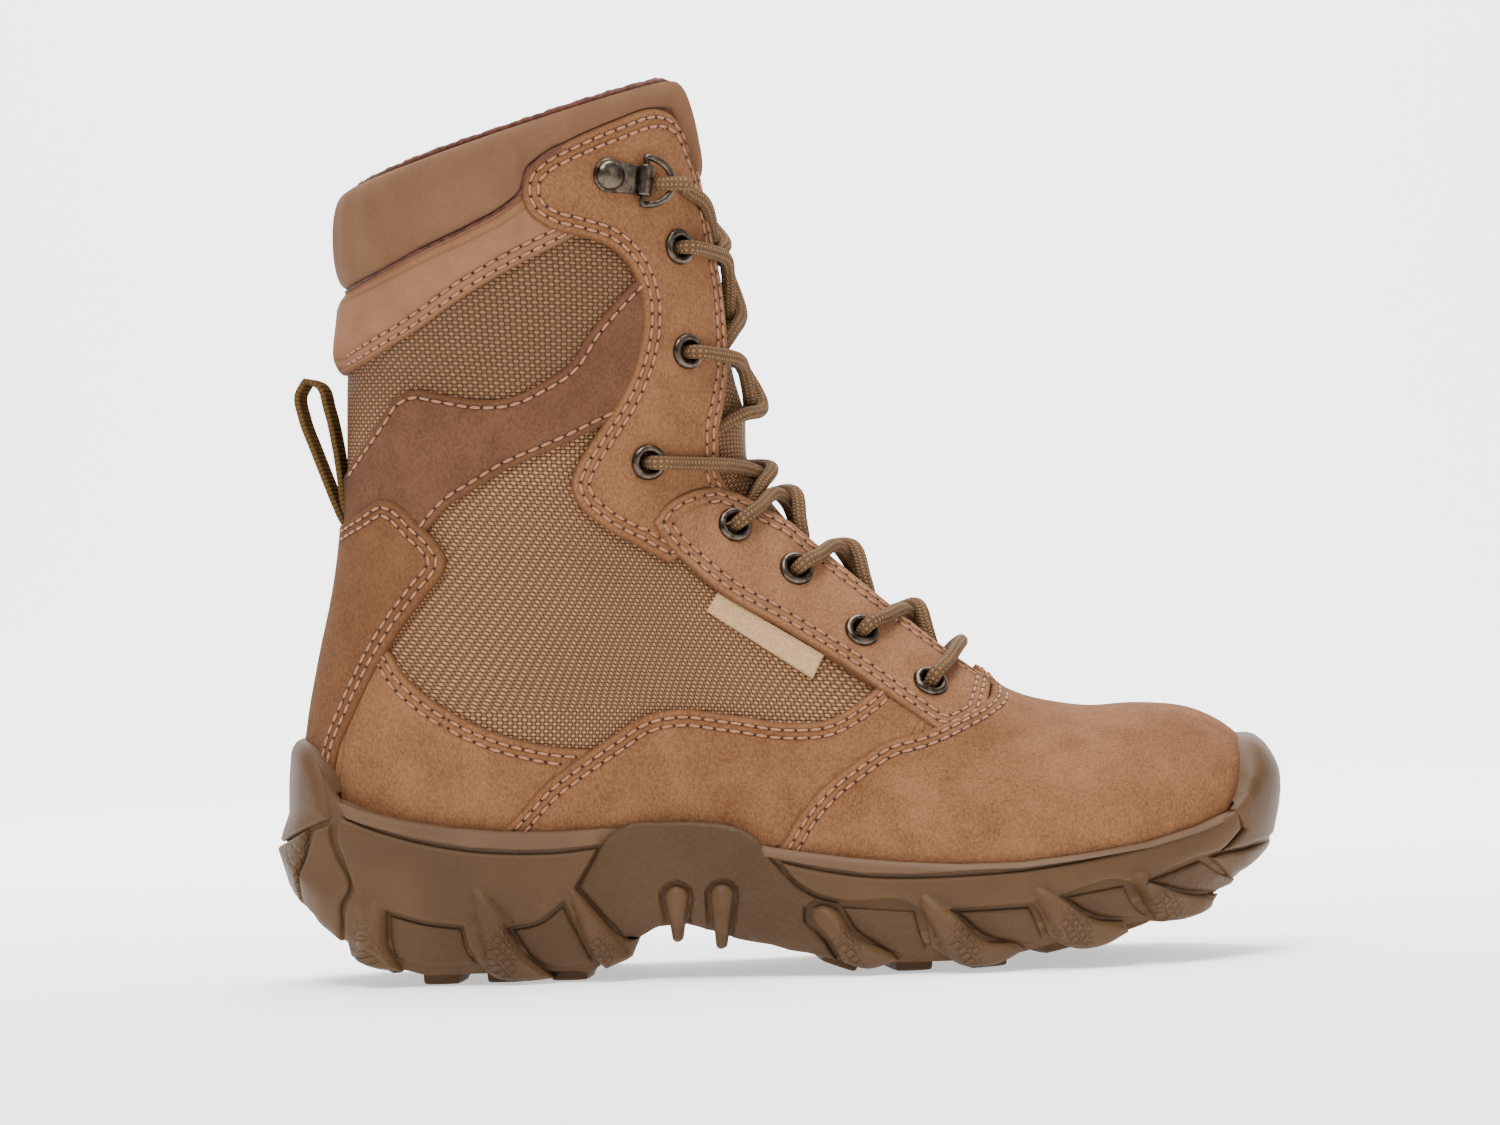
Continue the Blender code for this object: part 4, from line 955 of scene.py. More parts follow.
class Last(Surface):
    """The upper's surface: section row, and share of the half girth from the ridge (lateral below zero)."""

    scale = (15.0, 105.0)
    nudge = (0.03, 0.004)

    def __init__(self) -> None:
        """Measure the girth of every section on both sides."""
        self.end = len(SECTIONS) - 1
        self.rows = np.linspace(0, self.end, ROW_STEPS + 1)
        self.turn = np.linspace(0, 1, TURN_STEPS + 1)
        self.girth: dict[Side, Array] = {}
        self.share: dict[Side, Array] = {}
        self.inverse: dict[Side, Array] = {}
        w, u = np.meshgrid(self.rows, self.turn, indexing="ij")
        for side in Side:
            points = self.skin(w.ravel(), u.ravel(), side).reshape(*w.shape, 3)
            run = np.cumsum(np.linalg.norm(np.diff(points, axis=1), axis=2), axis=1)
            run = np.concatenate([np.zeros((len(run), 1)), run], axis=1)
            self.girth[side] = run[:, -1]
            self.share[side] = run / run[:, -1:]
            self.inverse[side] = np.array([np.interp(self.turn, s, self.turn) for s in self.share[side]])

    def sections(self, w: Array) -> dict[str, Array]:
        """Columns of the section table at fractional rows.

        Args:
            w: Fractional rows.

        Returns:
            Values by the column's name.
        """
        w = np.clip(w, 0, self.end)
        made = dict(zip(COLUMNS, between_rows(SECTIONS, w).T))
        made["foot"] = np.where(w >= HEEL_ROW, 0.0, np.clip(made["foot"], 0, 1))
        return made

    def skin(self, w: Array, turn: Array, side: Side) -> Array:
        """Points of the sections; turn runs evenly from the ridge, 0, to the low point, 1.

        Args:
            w: Fractional rows.
            turn: Place on the half section.
            side: Side of the boot.

        Returns:
            The points.
        """
        v = self.sections(w)
        t = 0.5 - 0.5 * np.cos(math.pi * np.clip(turn, 0, 1))
        above = 1 - np.clip(1 - t / v["full_at"], 0, 1) ** v["crown"]
        past = np.clip((t - v["full_at"]) / (1 - v["full_at"]), 0, 1)
        below = 1 - (1 - v["foot"] ** 2) * past ** v["seat"]
        widest = np.maximum(v[side.word], 0.0)
        y = v["ridge_y"] + side * widest * np.sqrt(np.clip(above, 0, 1) * np.clip(below, 0, 1))
        x = v["top_x"] + t * (v["low_x"] - v["top_x"])
        z = v["top_z"] + t * (v["low_z"] - v["top_z"])
        return np.stack([x, y, z], axis=-1)

    def at(self, a: Array, b: Array) -> Array:
        """Points of the surface; shares past the back seam come round on the other side.

        Args:
            a: Fractional rows.
            b: Signed shares of the way down each side.

        Returns:
            The points.
        """
        w = np.clip(np.asarray(a, float), 0, self.end)
        q = np.asarray(b, float)
        shaft = w >= HEEL_ROW
        q = np.where(shaft & (q < -1), q + 2,
                     np.where(shaft & (q > 1), q - 2, np.clip(q, -1 - shaft, 1 + shaft)))
        made = np.empty((len(w), 3))
        for side in Side:
            pick = (q < 0) if side is Side.LATERAL else (q >= 0)
            turn = lookup(self.inverse[side], w[pick] * ROW_STEPS / self.end, np.abs(q[pick]) * TURN_STEPS)
            made[pick] = self.skin(w[pick], turn, side)
        return made

    def relief(self, base: Array) -> Array:
        """Creases and swells listed in a table.

        Args:
            base: Points of the surface.

        Returns:
            Rise at each point.
        """
        made = np.zeros(len(base))
        for x0, z0, x1, z1, depth, wide in CREASES:
            along = np.array((x1 - x0, z1 - z0), float)
            away = base[:, (0, 2)] - (x0, z0)
            f = np.clip(away @ along / (along @ along), 0, 1)
            d = lengths(away - f[:, None] * along)
            made -= depth * np.exp(-(d / wide) ** 2)
        return made

    def throat(self, w: Array, side: Side) -> Array:
        """Share of the half girth taken by the throat opening."""
        return throat_half(w) / np.interp(w, self.rows, self.girth[side])

    def collar_start(self, side: Side) -> float:
        """Share of the half girth at which the collar begins."""
        return float(self.throat(np.array([COLLAR_ROW]), side)[0])

    def ahead(self, q: Array) -> Array:
        """Distance round the collar from the throat's edge, by signed share.

        Args:
            q: Signed shares.

        Returns:
            The distances.
        """
        made = np.empty(len(q))
        for side in Side:
            pick = q * side >= 0
            made[pick] = (np.abs(q[pick]) - self.collar_start(side)) * self.girth[side][-1]
        return made

    def corner(self, q: Array) -> Array:
        """Rows by which the collar is lower at its rounded front corners, by signed share."""
        return 0.42 * (1 - np.sqrt(1 - (1 - np.clip(self.ahead(q) / 10, 0, 1)) ** 2))

    @staticmethod
    def tongue_swell(w: Array) -> Array:
        """Rise of the tongue at the ankle, where the throat is wide."""
        return 3.1 * np.exp(-((w - 16.2) / 3.0) ** 2)

    def from_side(self, line: Array, side: Side, keep: bool = True) -> Array:
        """Coordinates of points seen from the side.

        Args:
            line: Points as x and z.
            side: The side they lie on.
            keep: Whether they are kept out of the throat.

        Returns:
            Row and signed share of each.
        """
        v = self.sections(self.rows)
        top = columns(v["top_x"], v["top_z"])
        run = columns(v["low_x"], v["low_z"]) - top
        made = []
        for point in line:
            away = point - top
            cross = run[:, 0] * away[:, 1] - run[:, 1] * away[:, 0]
            flips = np.nonzero(np.sign(cross[:-1]) != np.sign(cross[1:]))[0]
            best = None
            for i in flips:
                f = cross[i] / (cross[i] - cross[i + 1])
                line_i = run[i] + f * (run[i + 1] - run[i])
                t = float((point - top[i] - f * (top[i + 1] - top[i])) @ line_i / (line_i @ line_i))
                if best is None or -0.03 <= t <= 1.03:
                    best = ((i + f) * self.end / ROW_STEPS, min(max(t, 0.0), 1.0))
            made.append(best)
        w, t = np.array(made).T
        turn = np.arccos(1 - 2 * t) / math.pi
        q = lookup(self.share[side], w * ROW_STEPS / self.end, turn * TURN_STEPS)
        shut = keep & (w >= THROAT_ROW)
        return columns(w, side * np.where(shut, np.maximum(q, self.throat(w, side)), q))

    def axis(self, x: float, z: float, side: Side) -> tuple[Array, Array, Array]:
        """Coordinates, point and outward normal of the surface at a point seen from the side."""
        where = self.from_side(np.array([(x, z)]), side)
        return where[0], self.at(*where.T)[0], self.normal(*where.T)[0]

    def span_share(self, w: float, side: Side, span: float) -> float:
        """Signed share at a distance round the section from the ridge."""
        return side * span / float(np.interp(w, self.rows, self.girth[side]))


def backed(faces: list[tuple[int, ...]], count: int) -> list[tuple[int, ...]]:
    """Back and rims of a sheet whose back points follow its front points.

    Args:
        faces: Faces of the front.
        count: Number of front points.

    Returns:
        The further faces.
    """
    directed = {(i, j) for f in faces for i, j in zip(f, f[1:] + f[:1])}
    rim = sorted((j, i, i + count, j + count) for i, j in directed if (j, i) not in directed)
    return [tuple(i + count for i in f[::-1]) for f in faces] + rim


@dataclass
class Run:
    """Part of an outline in surface coordinates and how it is sewn."""

    points: Array
    sewn: Sewing = Sewing.NONE

    def flipped(self) -> "Run":
        """The run the other way round."""
        return Run(self.points[::-1], self.sewn)


@dataclass
class Seam:
    """Stitches and needle holes: places, ways along and normals."""

    stitches: list[Array] = field(default_factory=list)
    holes: list[Array] = field(default_factory=list)

    def sew(self, path: Array, normals: Array, pitch: float = 3.9) -> None:
        """Add one row of stitches along a path of points.

        Args:
            path: Points of the row.
            normals: Outward normals at the points.
            pitch: Length of a stitch and its needle hole.
        """
        run = run_of(path)
        count = int(run[-1] / pitch)
        if count < 2:
            return
        exact = run[-1] / count
        for shift, store, much in ((0.5, self.stitches, count), (0.0, self.holes, count + 1)):
            where = (np.arange(much) + shift) * exact

            def read(values: Array, places: Array) -> Array:
                """Values along the path at given distances."""
                return np.stack([np.interp(places, run, values[:, k]) for k in range(3)], axis=1)

            way = unit(read(path, where + 0.8) - read(path, where - 0.8))
            store.append(np.concatenate([read(path, where), way, unit(read(normals, where))], axis=1))


@dataclass
class Panel:
    """A layer cut from a surface by an outline: its height over the surface by distance from the edge."""

    surface: Surface
    runs: list[Run]
    lift: Lift
    foot: Union[float, Callable[[Array], Array]] = -0.15
    spacing: float = 2.0
    rings: tuple[float, ...] = (0.3, 0.9)
    holes: list[tuple[Array, Array]] = field(default_factory=list)

    def __post_init__(self) -> None:
        """Even out the outline and find the way inwards along it."""
        loop = np.concatenate([r.points for r in self.runs])
        sewn = np.concatenate([np.full(len(r.points), int(r.sewn)) for r in self.runs])
        run = np.concatenate([np.full(len(r.points), k) for k, r in enumerate(self.runs)])
        base = self.surface.at(*loop.T)
        keep = [0]
        for i in range(1, len(loop)):
            if np.linalg.norm(base[i] - base[keep[-1]]) > 0.3:
                keep.append(i)
        if np.linalg.norm(base[keep[-1]] - base[keep[0]]) < 0.3:
            keep.pop()
        points, flags = [], []
        for k, i in enumerate(keep):
            j = keep[(k + 1) % len(keep)]
            parts = max(int(np.linalg.norm(base[j] - base[i]) / 1.2), 1)
            for n in range(parts):
                points.append(loop[i] + (loop[j] - loop[i]) * n / parts)
                flags.append(sewn[i] if n == 0 or run[i] == run[j] else Sewing.NONE)
        self.loop = np.array(points)
        self.sewn = np.array(flags)
        self.edge = self.surface.at(*self.loop.T)
        way = unit(np.roll(self.edge, -1, axis=0) - np.roll(self.edge, 1, axis=0))
        inward = np.cross(self.surface.normal(*self.loop.T), way)
        trial = np.stack(self.surface.move(*self.loop.T, inward * 0.6), axis=1)
        self.inward = inward if within(trial, self.loop).mean() > 0.5 else -inward

    def inset(self, distance: float) -> Array:
        """The outline moved inwards along the surface."""
        return np.stack(self.surface.move(*self.loop.T, self.inward * distance), axis=1)

    def gap(self, points: Array) -> Array:
        """Distance of points from the outline.

        Args:
            points: Points laid flat.

        Returns:
            A distance for each.
        """
        ahead = np.roll(self.edge, -1, axis=0)
        made = np.empty(len(points))
        for start in range(0, len(points), 1200):
            part = points[start:start + 1200]
            near = ((part[:, None] - self.edge[None]) ** 2).sum(-1).argmin(1)
            best = np.full(len(part), np.inf)
            for k in (near, near - 1):
                a, b = self.edge[k], ahead[k]
                f = np.clip(((part - a) * (b - a)).sum(1) / np.maximum(((b - a) ** 2).sum(1), 1e-9), 0, 1)
                best = np.minimum(best, lengths(part - a - f[:, None] * (b - a)))
            made[start:start + 1200] = best
        return made

    def mesh(self) -> tuple[Array, list[tuple[int, ...]], Array]:
        """Triangulate the layer.

        Returns:
            Points, faces, and each point's distance from the outline.
        """
        scale = np.array(self.surface.scale)
        low, high = self.loop.min(0), self.loop.max(0)
        pitch = self.spacing / scale
        a, b = np.meshgrid(np.arange(low[0], high[0], pitch[0]), np.arange(low[1], high[1], pitch[1]),
                           indexing="ij")
        b = b + 0.5 * pitch[1] * (np.arange(a.shape[0]) % 2)[:, None]
        inner = columns(a.ravel(), b.ravel())
        inner = inner[within(inner, self.loop)]
        inner = inner[self.gap(self.surface.at(*inner.T)) > self.rings[-1] + 0.4 * self.spacing]
        sets = [self.loop]
        for distance in self.rings:
            ring = self.inset(distance)
            true = self.gap(self.surface.at(*ring.T))
            sets.append(ring[(true > 0.8 * distance) & within(ring, self.loop)])
        every = np.concatenate(sets + [inner]) * scale
        count = len(self.loop)
        edges = [(i, (i + 1) % count) for i in range(count)]
        made = geometry.delaunay_2d_cdt([Vector(p) for p in every], edges, [], 1, 1e-5)
        where = np.array([tuple(v) for v in made[0]]) / scale
        base = self.surface.at(*where.T)
        faces = [tuple(f)[::self.surface.winding] for f in made[2]]
        for centre, axis in self.holes:
            middle = base[np.array(faces)].mean(1) - centre
            off = lengths(middle - (middle @ axis)[:, None] * axis)
            clear = (off > EYELET_HOLE) | (np.abs(middle @ axis) > HOLE_REACH)
            faces = [f for f, ok in zip(faces, clear) if ok]
        distance = self.gap(base)
        normal = self.surface.normal(*where.T)
        shared = self.surface.relief(base)
        top = base + normal * (self.lift(distance, base) + shared)[:, None]
        foot = self.foot(base) if callable(self.foot) else np.full(len(base), self.foot)
        low_points = base + normal * (foot + shared)[:, None]
        return np.concatenate([top, low_points]), faces + backed(faces, len(top)), np.tile(distance, 2)

    def sew(self, seam: Seam, rows: Sequence[float]) -> None:
        """Add the stitches along the sewn part of the outline.

        Args:
            seam: Where the stitches are gathered.
            rows: Distances of the rows from the edge.
        """
        for number, distance in enumerate(rows):
            path = self.inset(distance)
            base = self.surface.at(*path.T)
            fine = (self.sewn > number) & (self.gap(base) > 0.92 * distance) & within(path, self.loop)
            start = int(np.argmin(fine))
            order = np.roll(np.arange(len(path)), -start)
            lift = self.lift(np.full(len(path), distance), base)
            points = self.surface.place(*path.T, lift + 0.1)
            normals = self.surface.normal(*path.T)
            group: list[int] = []
            for i in list(order) + [start]:
                jump = bool(group) and np.linalg.norm(points[i] - points[group[-1]]) > 4.0
                if fine[i] and not jump:
                    group.append(i)
                    continue
                if len(group) > 3:
                    seam.sew(points[group], normals[group])
                group = [i] if fine[i] else []


def cut_edge(top: float, eased: float = 0.45, over: float = 0.9) -> Lift:
    """Height of a flat layer by distance from the edge, where the cut drops by eased over a distance."""
    return lambda distance, base: top - eased * np.clip(1 - distance / over, 0, 1) ** 2


@dataclass
class Draft:
    """A mesh being gathered in boot millimetres."""

    name: str
    points: list[Array] = field(default_factory=list)
    faces: list[tuple[int, ...]] = field(default_factory=list)
    slots: list[int] = field(default_factory=list)
    traits: list[Array] = field(default_factory=list)
    maps: list[tuple[float, float]] = field(default_factory=list)
    count: int = 0

    def add(self, points: Array, faces: Sequence[Sequence[int]], slot: Union[int, Sequence[int]] = 0,
            trait: Array | None = None, laid: Array | None = None,
            corners: Sequence[tuple[float, float]] | None = None) -> None:
        """Add a set of points and faces.

        Args:
            points: Points in millimetres.
            faces: Faces by point number.
            slot: Material number, or one for each face.
            trait: Edge distance, pebble (also the weight of painted shade) and knurl of each point.
            laid: Map coordinates of each point.
            corners: Map coordinates of each face corner, in face order, in place of laid.
        """
        self.points.append(np.asarray(points, float))
        self.faces.extend(tuple(int(i) + self.count for i in f) for f in faces)
        self.slots.extend([slot] * len(faces) if isinstance(slot, int) else slot)
        self.traits.append(np.tile((9.0, 0.0, 0.0), (len(points), 1)) if trait is None else trait)
        if corners is not None:
            self.maps.extend(corners)
        elif laid is not None:
            self.maps.extend((float(laid[i][0]), float(laid[i][1])) for f in faces for i in f)
        else:
            self.maps.extend((float(points[i][0]), float(points[i][2])) for f in faces for i in f)
        self.count += len(points)

    def add_sheet(self, outer: Array, inner: Array, faces: list[tuple[int, ...]], laid: Array,
                  slots: tuple[int, int] = (0, 0)) -> None:
        """Add a sheet with a real thickness: its outside, its inside and the rims between.

        Args:
            outer: Points of the outside.
            inner: Points of the inside.
            faces: Faces of the outside.
            laid: Map of the points.
            slots: Places of the two materials.
        """
        inside = backed(faces, len(outer))
        self.add(np.concatenate([outer, inner]), faces + inside,
                 [slots[0]] * len(faces) + [slots[1]] * len(inside), laid=np.concatenate([laid, laid]))

    def add_panel(self, panel: Panel, slot: int = 0, pebble: float = 0.0,
                  knurl: Callable[[Array], Array] | None = None) -> None:
        """Add a triangulated layer.

        Args:
            panel: The layer.
            slot: Place of its material.
            pebble: How pebbled it is, which also sets how much painted shade darkens it.
            knurl: Roughness by point.
        """
        points, faces, distance = panel.mesh()
        rough = np.zeros(len(points)) if knurl is None else knurl(points)
        self.add(points, faces, slot, columns(distance, np.full(len(points), pebble), rough))

    def build(self, finishes: Sequence[bpy.types.Material], angle: float = 48.0) -> bpy.types.Object:
        """Make the object.

        Args:
            finishes: Materials by slot number.
            angle: Edges sharper than this stay crisp.

        Returns:
            The object, linked to the scene.
        """
        mesh = bpy.data.meshes.new(self.name)
        every = (np.concatenate(self.points) - CENTRE) * MM
        mesh.from_pydata(every.tolist(), [], self.faces)
        for finish in finishes:
            mesh.materials.append(finish)
        mesh.polygons.foreach_set("material_index", self.slots)
        trait = mesh.attributes.new("trait", "FLOAT_VECTOR", "POINT")
        trait.data.foreach_set("vector", np.concatenate(self.traits).astype(np.float32).ravel())
        laid = mesh.uv_layers.new(name="UVMap")
        laid.data.foreach_set("uv", np.array(self.maps, np.float32).ravel())
        mesh.shade_smooth()
        mesh.set_sharp_from_angle(angle=math.radians(angle))
        mesh.update()
        return linked(self.name, mesh)


def grid_faces(rows: int, wide: int, ring: bool = False, flip: bool = False) -> list[tuple[int, ...]]:
    """Faces of a grid of points held row by row; ring joins the last column to the first.

    Args:
        rows: Number of rows.
        wide: Points in a row.
        ring: Whether the last column joins the first.
        flip: Whether faces are turned over.

    Returns:
        The faces.
    """
    made = []
    for r in range(rows - 1):
        for c in range(wide if ring else wide - 1):
            d = (c + 1) % wide
            face = (r * wide + c, r * wide + d, (r + 1) * wide + d, (r + 1) * wide + c)
            made.append(face[::-1] if flip else face)
    return made


def add_tube(draft: Draft, path: Array, radius: Union[float, Array], sides: int = 14, closed: bool = False,
             slot: int = 0, spacing: float = 0.8) -> None:
    """Add a round cord along a smooth path.

    Args:
        draft: The mesh it goes to.
        path: Points the cord passes through.
        radius: Its radius, or one for each point of the path.
        sides: Faces round it.
        closed: Whether the path comes back to its start.
        slot: Material number.
        spacing: Distance between its rings.
    """
    path = np.asarray(path, float)
    if closed:
        path = np.vstack([path[-2:], path, path[:2]])
    steps = np.concatenate([[0], np.cumsum(np.sqrt(lengths(np.diff(path, axis=0))))])
    fine_steps = np.linspace(0, steps[-1], 40 * len(path))
    slope = np.gradient(path, steps, axis=0)
    k = np.clip(np.searchsorted(steps, fine_steps, "right") - 1, 0, len(path) - 2)
    h = (steps[k + 1] - steps[k])[:, None]
    f = (fine_steps[:, None] - steps[k][:, None]) / h
    fine = ((2 * f ** 3 - 3 * f ** 2 + 1) * path[k] + (f ** 3 - 2 * f ** 2 + f) * h * slope[k]
            + (3 * f ** 2 - 2 * f ** 3) * path[k + 1] + (f ** 3 - f ** 2) * h * slope[k + 1])
    if closed:
        inner = (fine_steps >= steps[2]) & (fine_steps <= steps[-2] - 1e-9)
        fine = fine[inner]
    run = run_of(fine)
    count = max(int(run[-1] / spacing), 4)
    where = np.linspace(0, run[-1], count, endpoint=not closed)
    line = np.stack([np.interp(where, run, fine[:, c]) for c in range(3)], axis=1)
    wide = np.full(count, radius) if np.isscalar(radius) else np.interp(
        np.linspace(0, 1, count), np.linspace(0, 1, len(radius)), radius)
    if closed:
        way = unit(np.roll(line, -1, axis=0) - np.roll(line, 1, axis=0))
    else:
        way = unit(np.gradient(line, axis=0))
    out = np.empty_like(line)
    seed = np.array((0.0, 0.0, 1.0)) if abs(way[0][2]) < 0.8 else np.array((1.0, 0.0, 0.0))
    out[0] = unit(seed - way[0] * (seed @ way[0]))
    for i in range(1, count):
        out[i] = unit(out[i - 1] - way[i] * (out[i - 1] @ way[i]))
    side = np.cross(way, out)
    angle = np.arange(sides) / sides * 2 * math.pi
    ring = out[:, None] * np.cos(angle)[None, :, None] + side[:, None] * np.sin(angle)[None, :, None]
    points = (line[:, None] + ring * wide[:, None, None]).reshape(-1, 3)
    faces = grid_faces(count, sides, ring=True)
    corners = []
    for r in range(count - 1):
        for c in range(sides):
            u0, u1 = c / sides, (c + 1) / sides
            corners += [(u0, where[r]), (u1, where[r]), (u1, where[r + 1]), (u0, where[r + 1])]
    if closed:
        for c in range(sides):
            d = (c + 1) % sides
            faces.append(((count - 1) * sides + c, (count - 1) * sides + d, d, c))
            u0, u1 = c / sides, (c + 1) / sides
            corners += [(u0, where[-1]), (u1, where[-1]), (u1, run[-1]), (u0, run[-1])]
    else:
        for start, flip in ((0, True), ((count - 1) * sides, False)):
            cap = tuple(start + i for i in range(sides))
            faces.append(cap[::-1] if flip else cap)
            corners += [(0.0, 0.0)] * sides
    draft.add(points, faces, slot, corners=corners)


def add_turned(draft: Draft, profile: Sequence[tuple[float, float]], sides: int, slot: int = 0,
               centre: Array | None = None, axis: Array | None = None) -> None:
    """Add a solid turned from a profile; a radius of 0 at both ends closes it.

    Args:
        draft: Mesh it goes into.
        profile: Radius and height of each step.
        sides: Steps of a turn.
        slot: Place of its material.
        centre: Where it stands.
        axis: The axis it turns about.
    """
    turn = Vector((0, 0, 1)).rotation_difference(Vector((0, 0, 1) if axis is None else axis)).to_matrix()
    frame = np.array(turn)
    shift = np.zeros(3) if centre is None else np.asarray(centre)
    solid = profile[0][0] == 0.0 and profile[-1][0] == 0.0
    body = list(profile[1:-1]) if solid else list(profile)
    angle = np.arange(sides) / sides * 2 * math.pi
    rings = [columns(r * np.cos(angle), r * np.sin(angle), np.full(sides, h)) for r, h in body]
    points = np.concatenate(rings)
    faces = grid_faces(len(body), sides, ring=True)
    if solid:
        points = np.concatenate([points, [(0, 0, profile[0][1]), (0, 0, profile[-1][1])]])
        n, top = len(body) * sides, (len(body) - 1) * sides
        faces += [((i + 1) % sides, i, n) for i in range(sides)]
        faces += [(top + i, top + (i + 1) % sides, n + 1) for i in range(sides)]
    else:
        top = (len(body) - 1) * sides
        faces += [(top + i, top + (i + 1) % sides, (i + 1) % sides, i) for i in range(sides)]
    draft.add(points @ frame.T + shift, faces, slot)


class Scatter:
    """Repeats one shape over points with Geometry Nodes and hands back a plain mesh."""

    def __init__(self) -> None:
        """Build the node tree."""
        tree = bpy.data.node_groups.new("repeat_on_points", "GeometryNodeTree")
        face = tree.interface
        face.new_socket("Points", in_out="INPUT", socket_type="NodeSocketGeometry")
        self.shape = face.new_socket("Shape", in_out="INPUT", socket_type="NodeSocketObject").identifier
        self.finish = face.new_socket("Finish", in_out="INPUT", socket_type="NodeSocketMaterial").identifier
        face.new_socket("Geometry", in_out="OUTPUT", socket_type="NodeSocketGeometry")
        self.tree = tree
        start = self.node("NodeGroupInput")
        shape = self.node("GeometryNodeObjectInfo", {"transform_space": "ORIGINAL"})
        turn = self.node("FunctionNodeAlignRotationToVector", {"axis": "Z"})
        spin = self.node("FunctionNodeAlignRotationToVector", {"axis": "X", "pivot_axis": "Z"})
        place = self.node("GeometryNodeInstanceOnPoints")
        real = self.node("GeometryNodeRealizeInstances")
        paint = self.node("GeometryNodeSetMaterial")
        end = self.node("NodeGroupOutput")
        links = ((start, "Shape", shape, "Object"),
                 (self.read("up"), 0, turn, "Vector"),
                 (turn, "Rotation", spin, "Rotation"),
                 (self.read("way"), 0, spin, "Vector"),
                 (start, "Points", place, "Points"),
                 (shape, "Geometry", place, "Instance"),
                 (spin, "Rotation", place, "Rotation"),
                 (self.read("size"), 0, place, "Scale"),
                 (place, "Instances", real, "Geometry"),
                 (real, "Geometry", paint, "Geometry"),
                 (start, "Finish", paint, "Material"),
                 (paint, "Geometry", end, "Geometry"))
        for first, output, second, entry in links:
            tree.links.new(first.outputs[output], second.inputs[entry])

    def node(self, kind: str, settings: dict | None = None) -> bpy.types.Node:
        """Create a node with its settings.

        Args:
            kind: Its type.
            settings: Its properties.

        Returns:
            The node.
        """
        made = self.tree.nodes.new(kind)
        for key, value in (settings or {}).items():
            setattr(made, key, value)
        return made

    def read(self, name: str) -> bpy.types.Node:
        """A node that reads a vector attribute of the points.

        Args:
            name: Name of the attribute.

        Returns:
            The node.
        """
        made = self.node("GeometryNodeInputNamedAttribute", {"data_type": "FLOAT_VECTOR"})
        made.inputs["Name"].default_value = name
        return made

    def spread(self, name: str, shape: Draft, frames: Array, finish: bpy.types.Material,
               sizes: Array | None = None) -> bpy.types.Object:
        """Repeat a shape.

        Args:
            name: Name of the object made.
            shape: The shape, in millimetres about the origin, up along Z and its way along X.
            frames: Place, way and up of each copy.
            finish: Its material.
            sizes: Scale of each copy.

        Returns:
            The object with all copies.
        """
        shape.points = [p + CENTRE for p in shape.points]
        sample = shape.build([finish])
        mesh = bpy.data.meshes.new(name + "_points")
        mesh.from_pydata(((frames[:, :3] - CENTRE) * MM).tolist(), [], [])
        sizes = np.ones((len(frames), 3)) if sizes is None else sizes
        for key, values in (("way", frames[:, 3:6]), ("up", frames[:, 6:9]), ("size", sizes)):
            layer = mesh.attributes.new(key, "FLOAT_VECTOR", "POINT")
            layer.data.foreach_set("vector", np.ascontiguousarray(values, np.float32).ravel())
        holder = linked(name + "_points", mesh)
        step = holder.modifiers.new("repeat", "NODES")
        step.node_group = self.tree
        step[self.shape] = sample
        step[self.finish] = finish
        graph = bpy.context.evaluated_depsgraph_get()
        plain = bpy.data.meshes.new_from_object(holder.evaluated_get(graph))
        plain.name = name
        made = linked(name, plain)
        bpy.data.objects.remove(holder, do_unlink=True)
        bpy.data.objects.remove(sample, do_unlink=True)
        return made


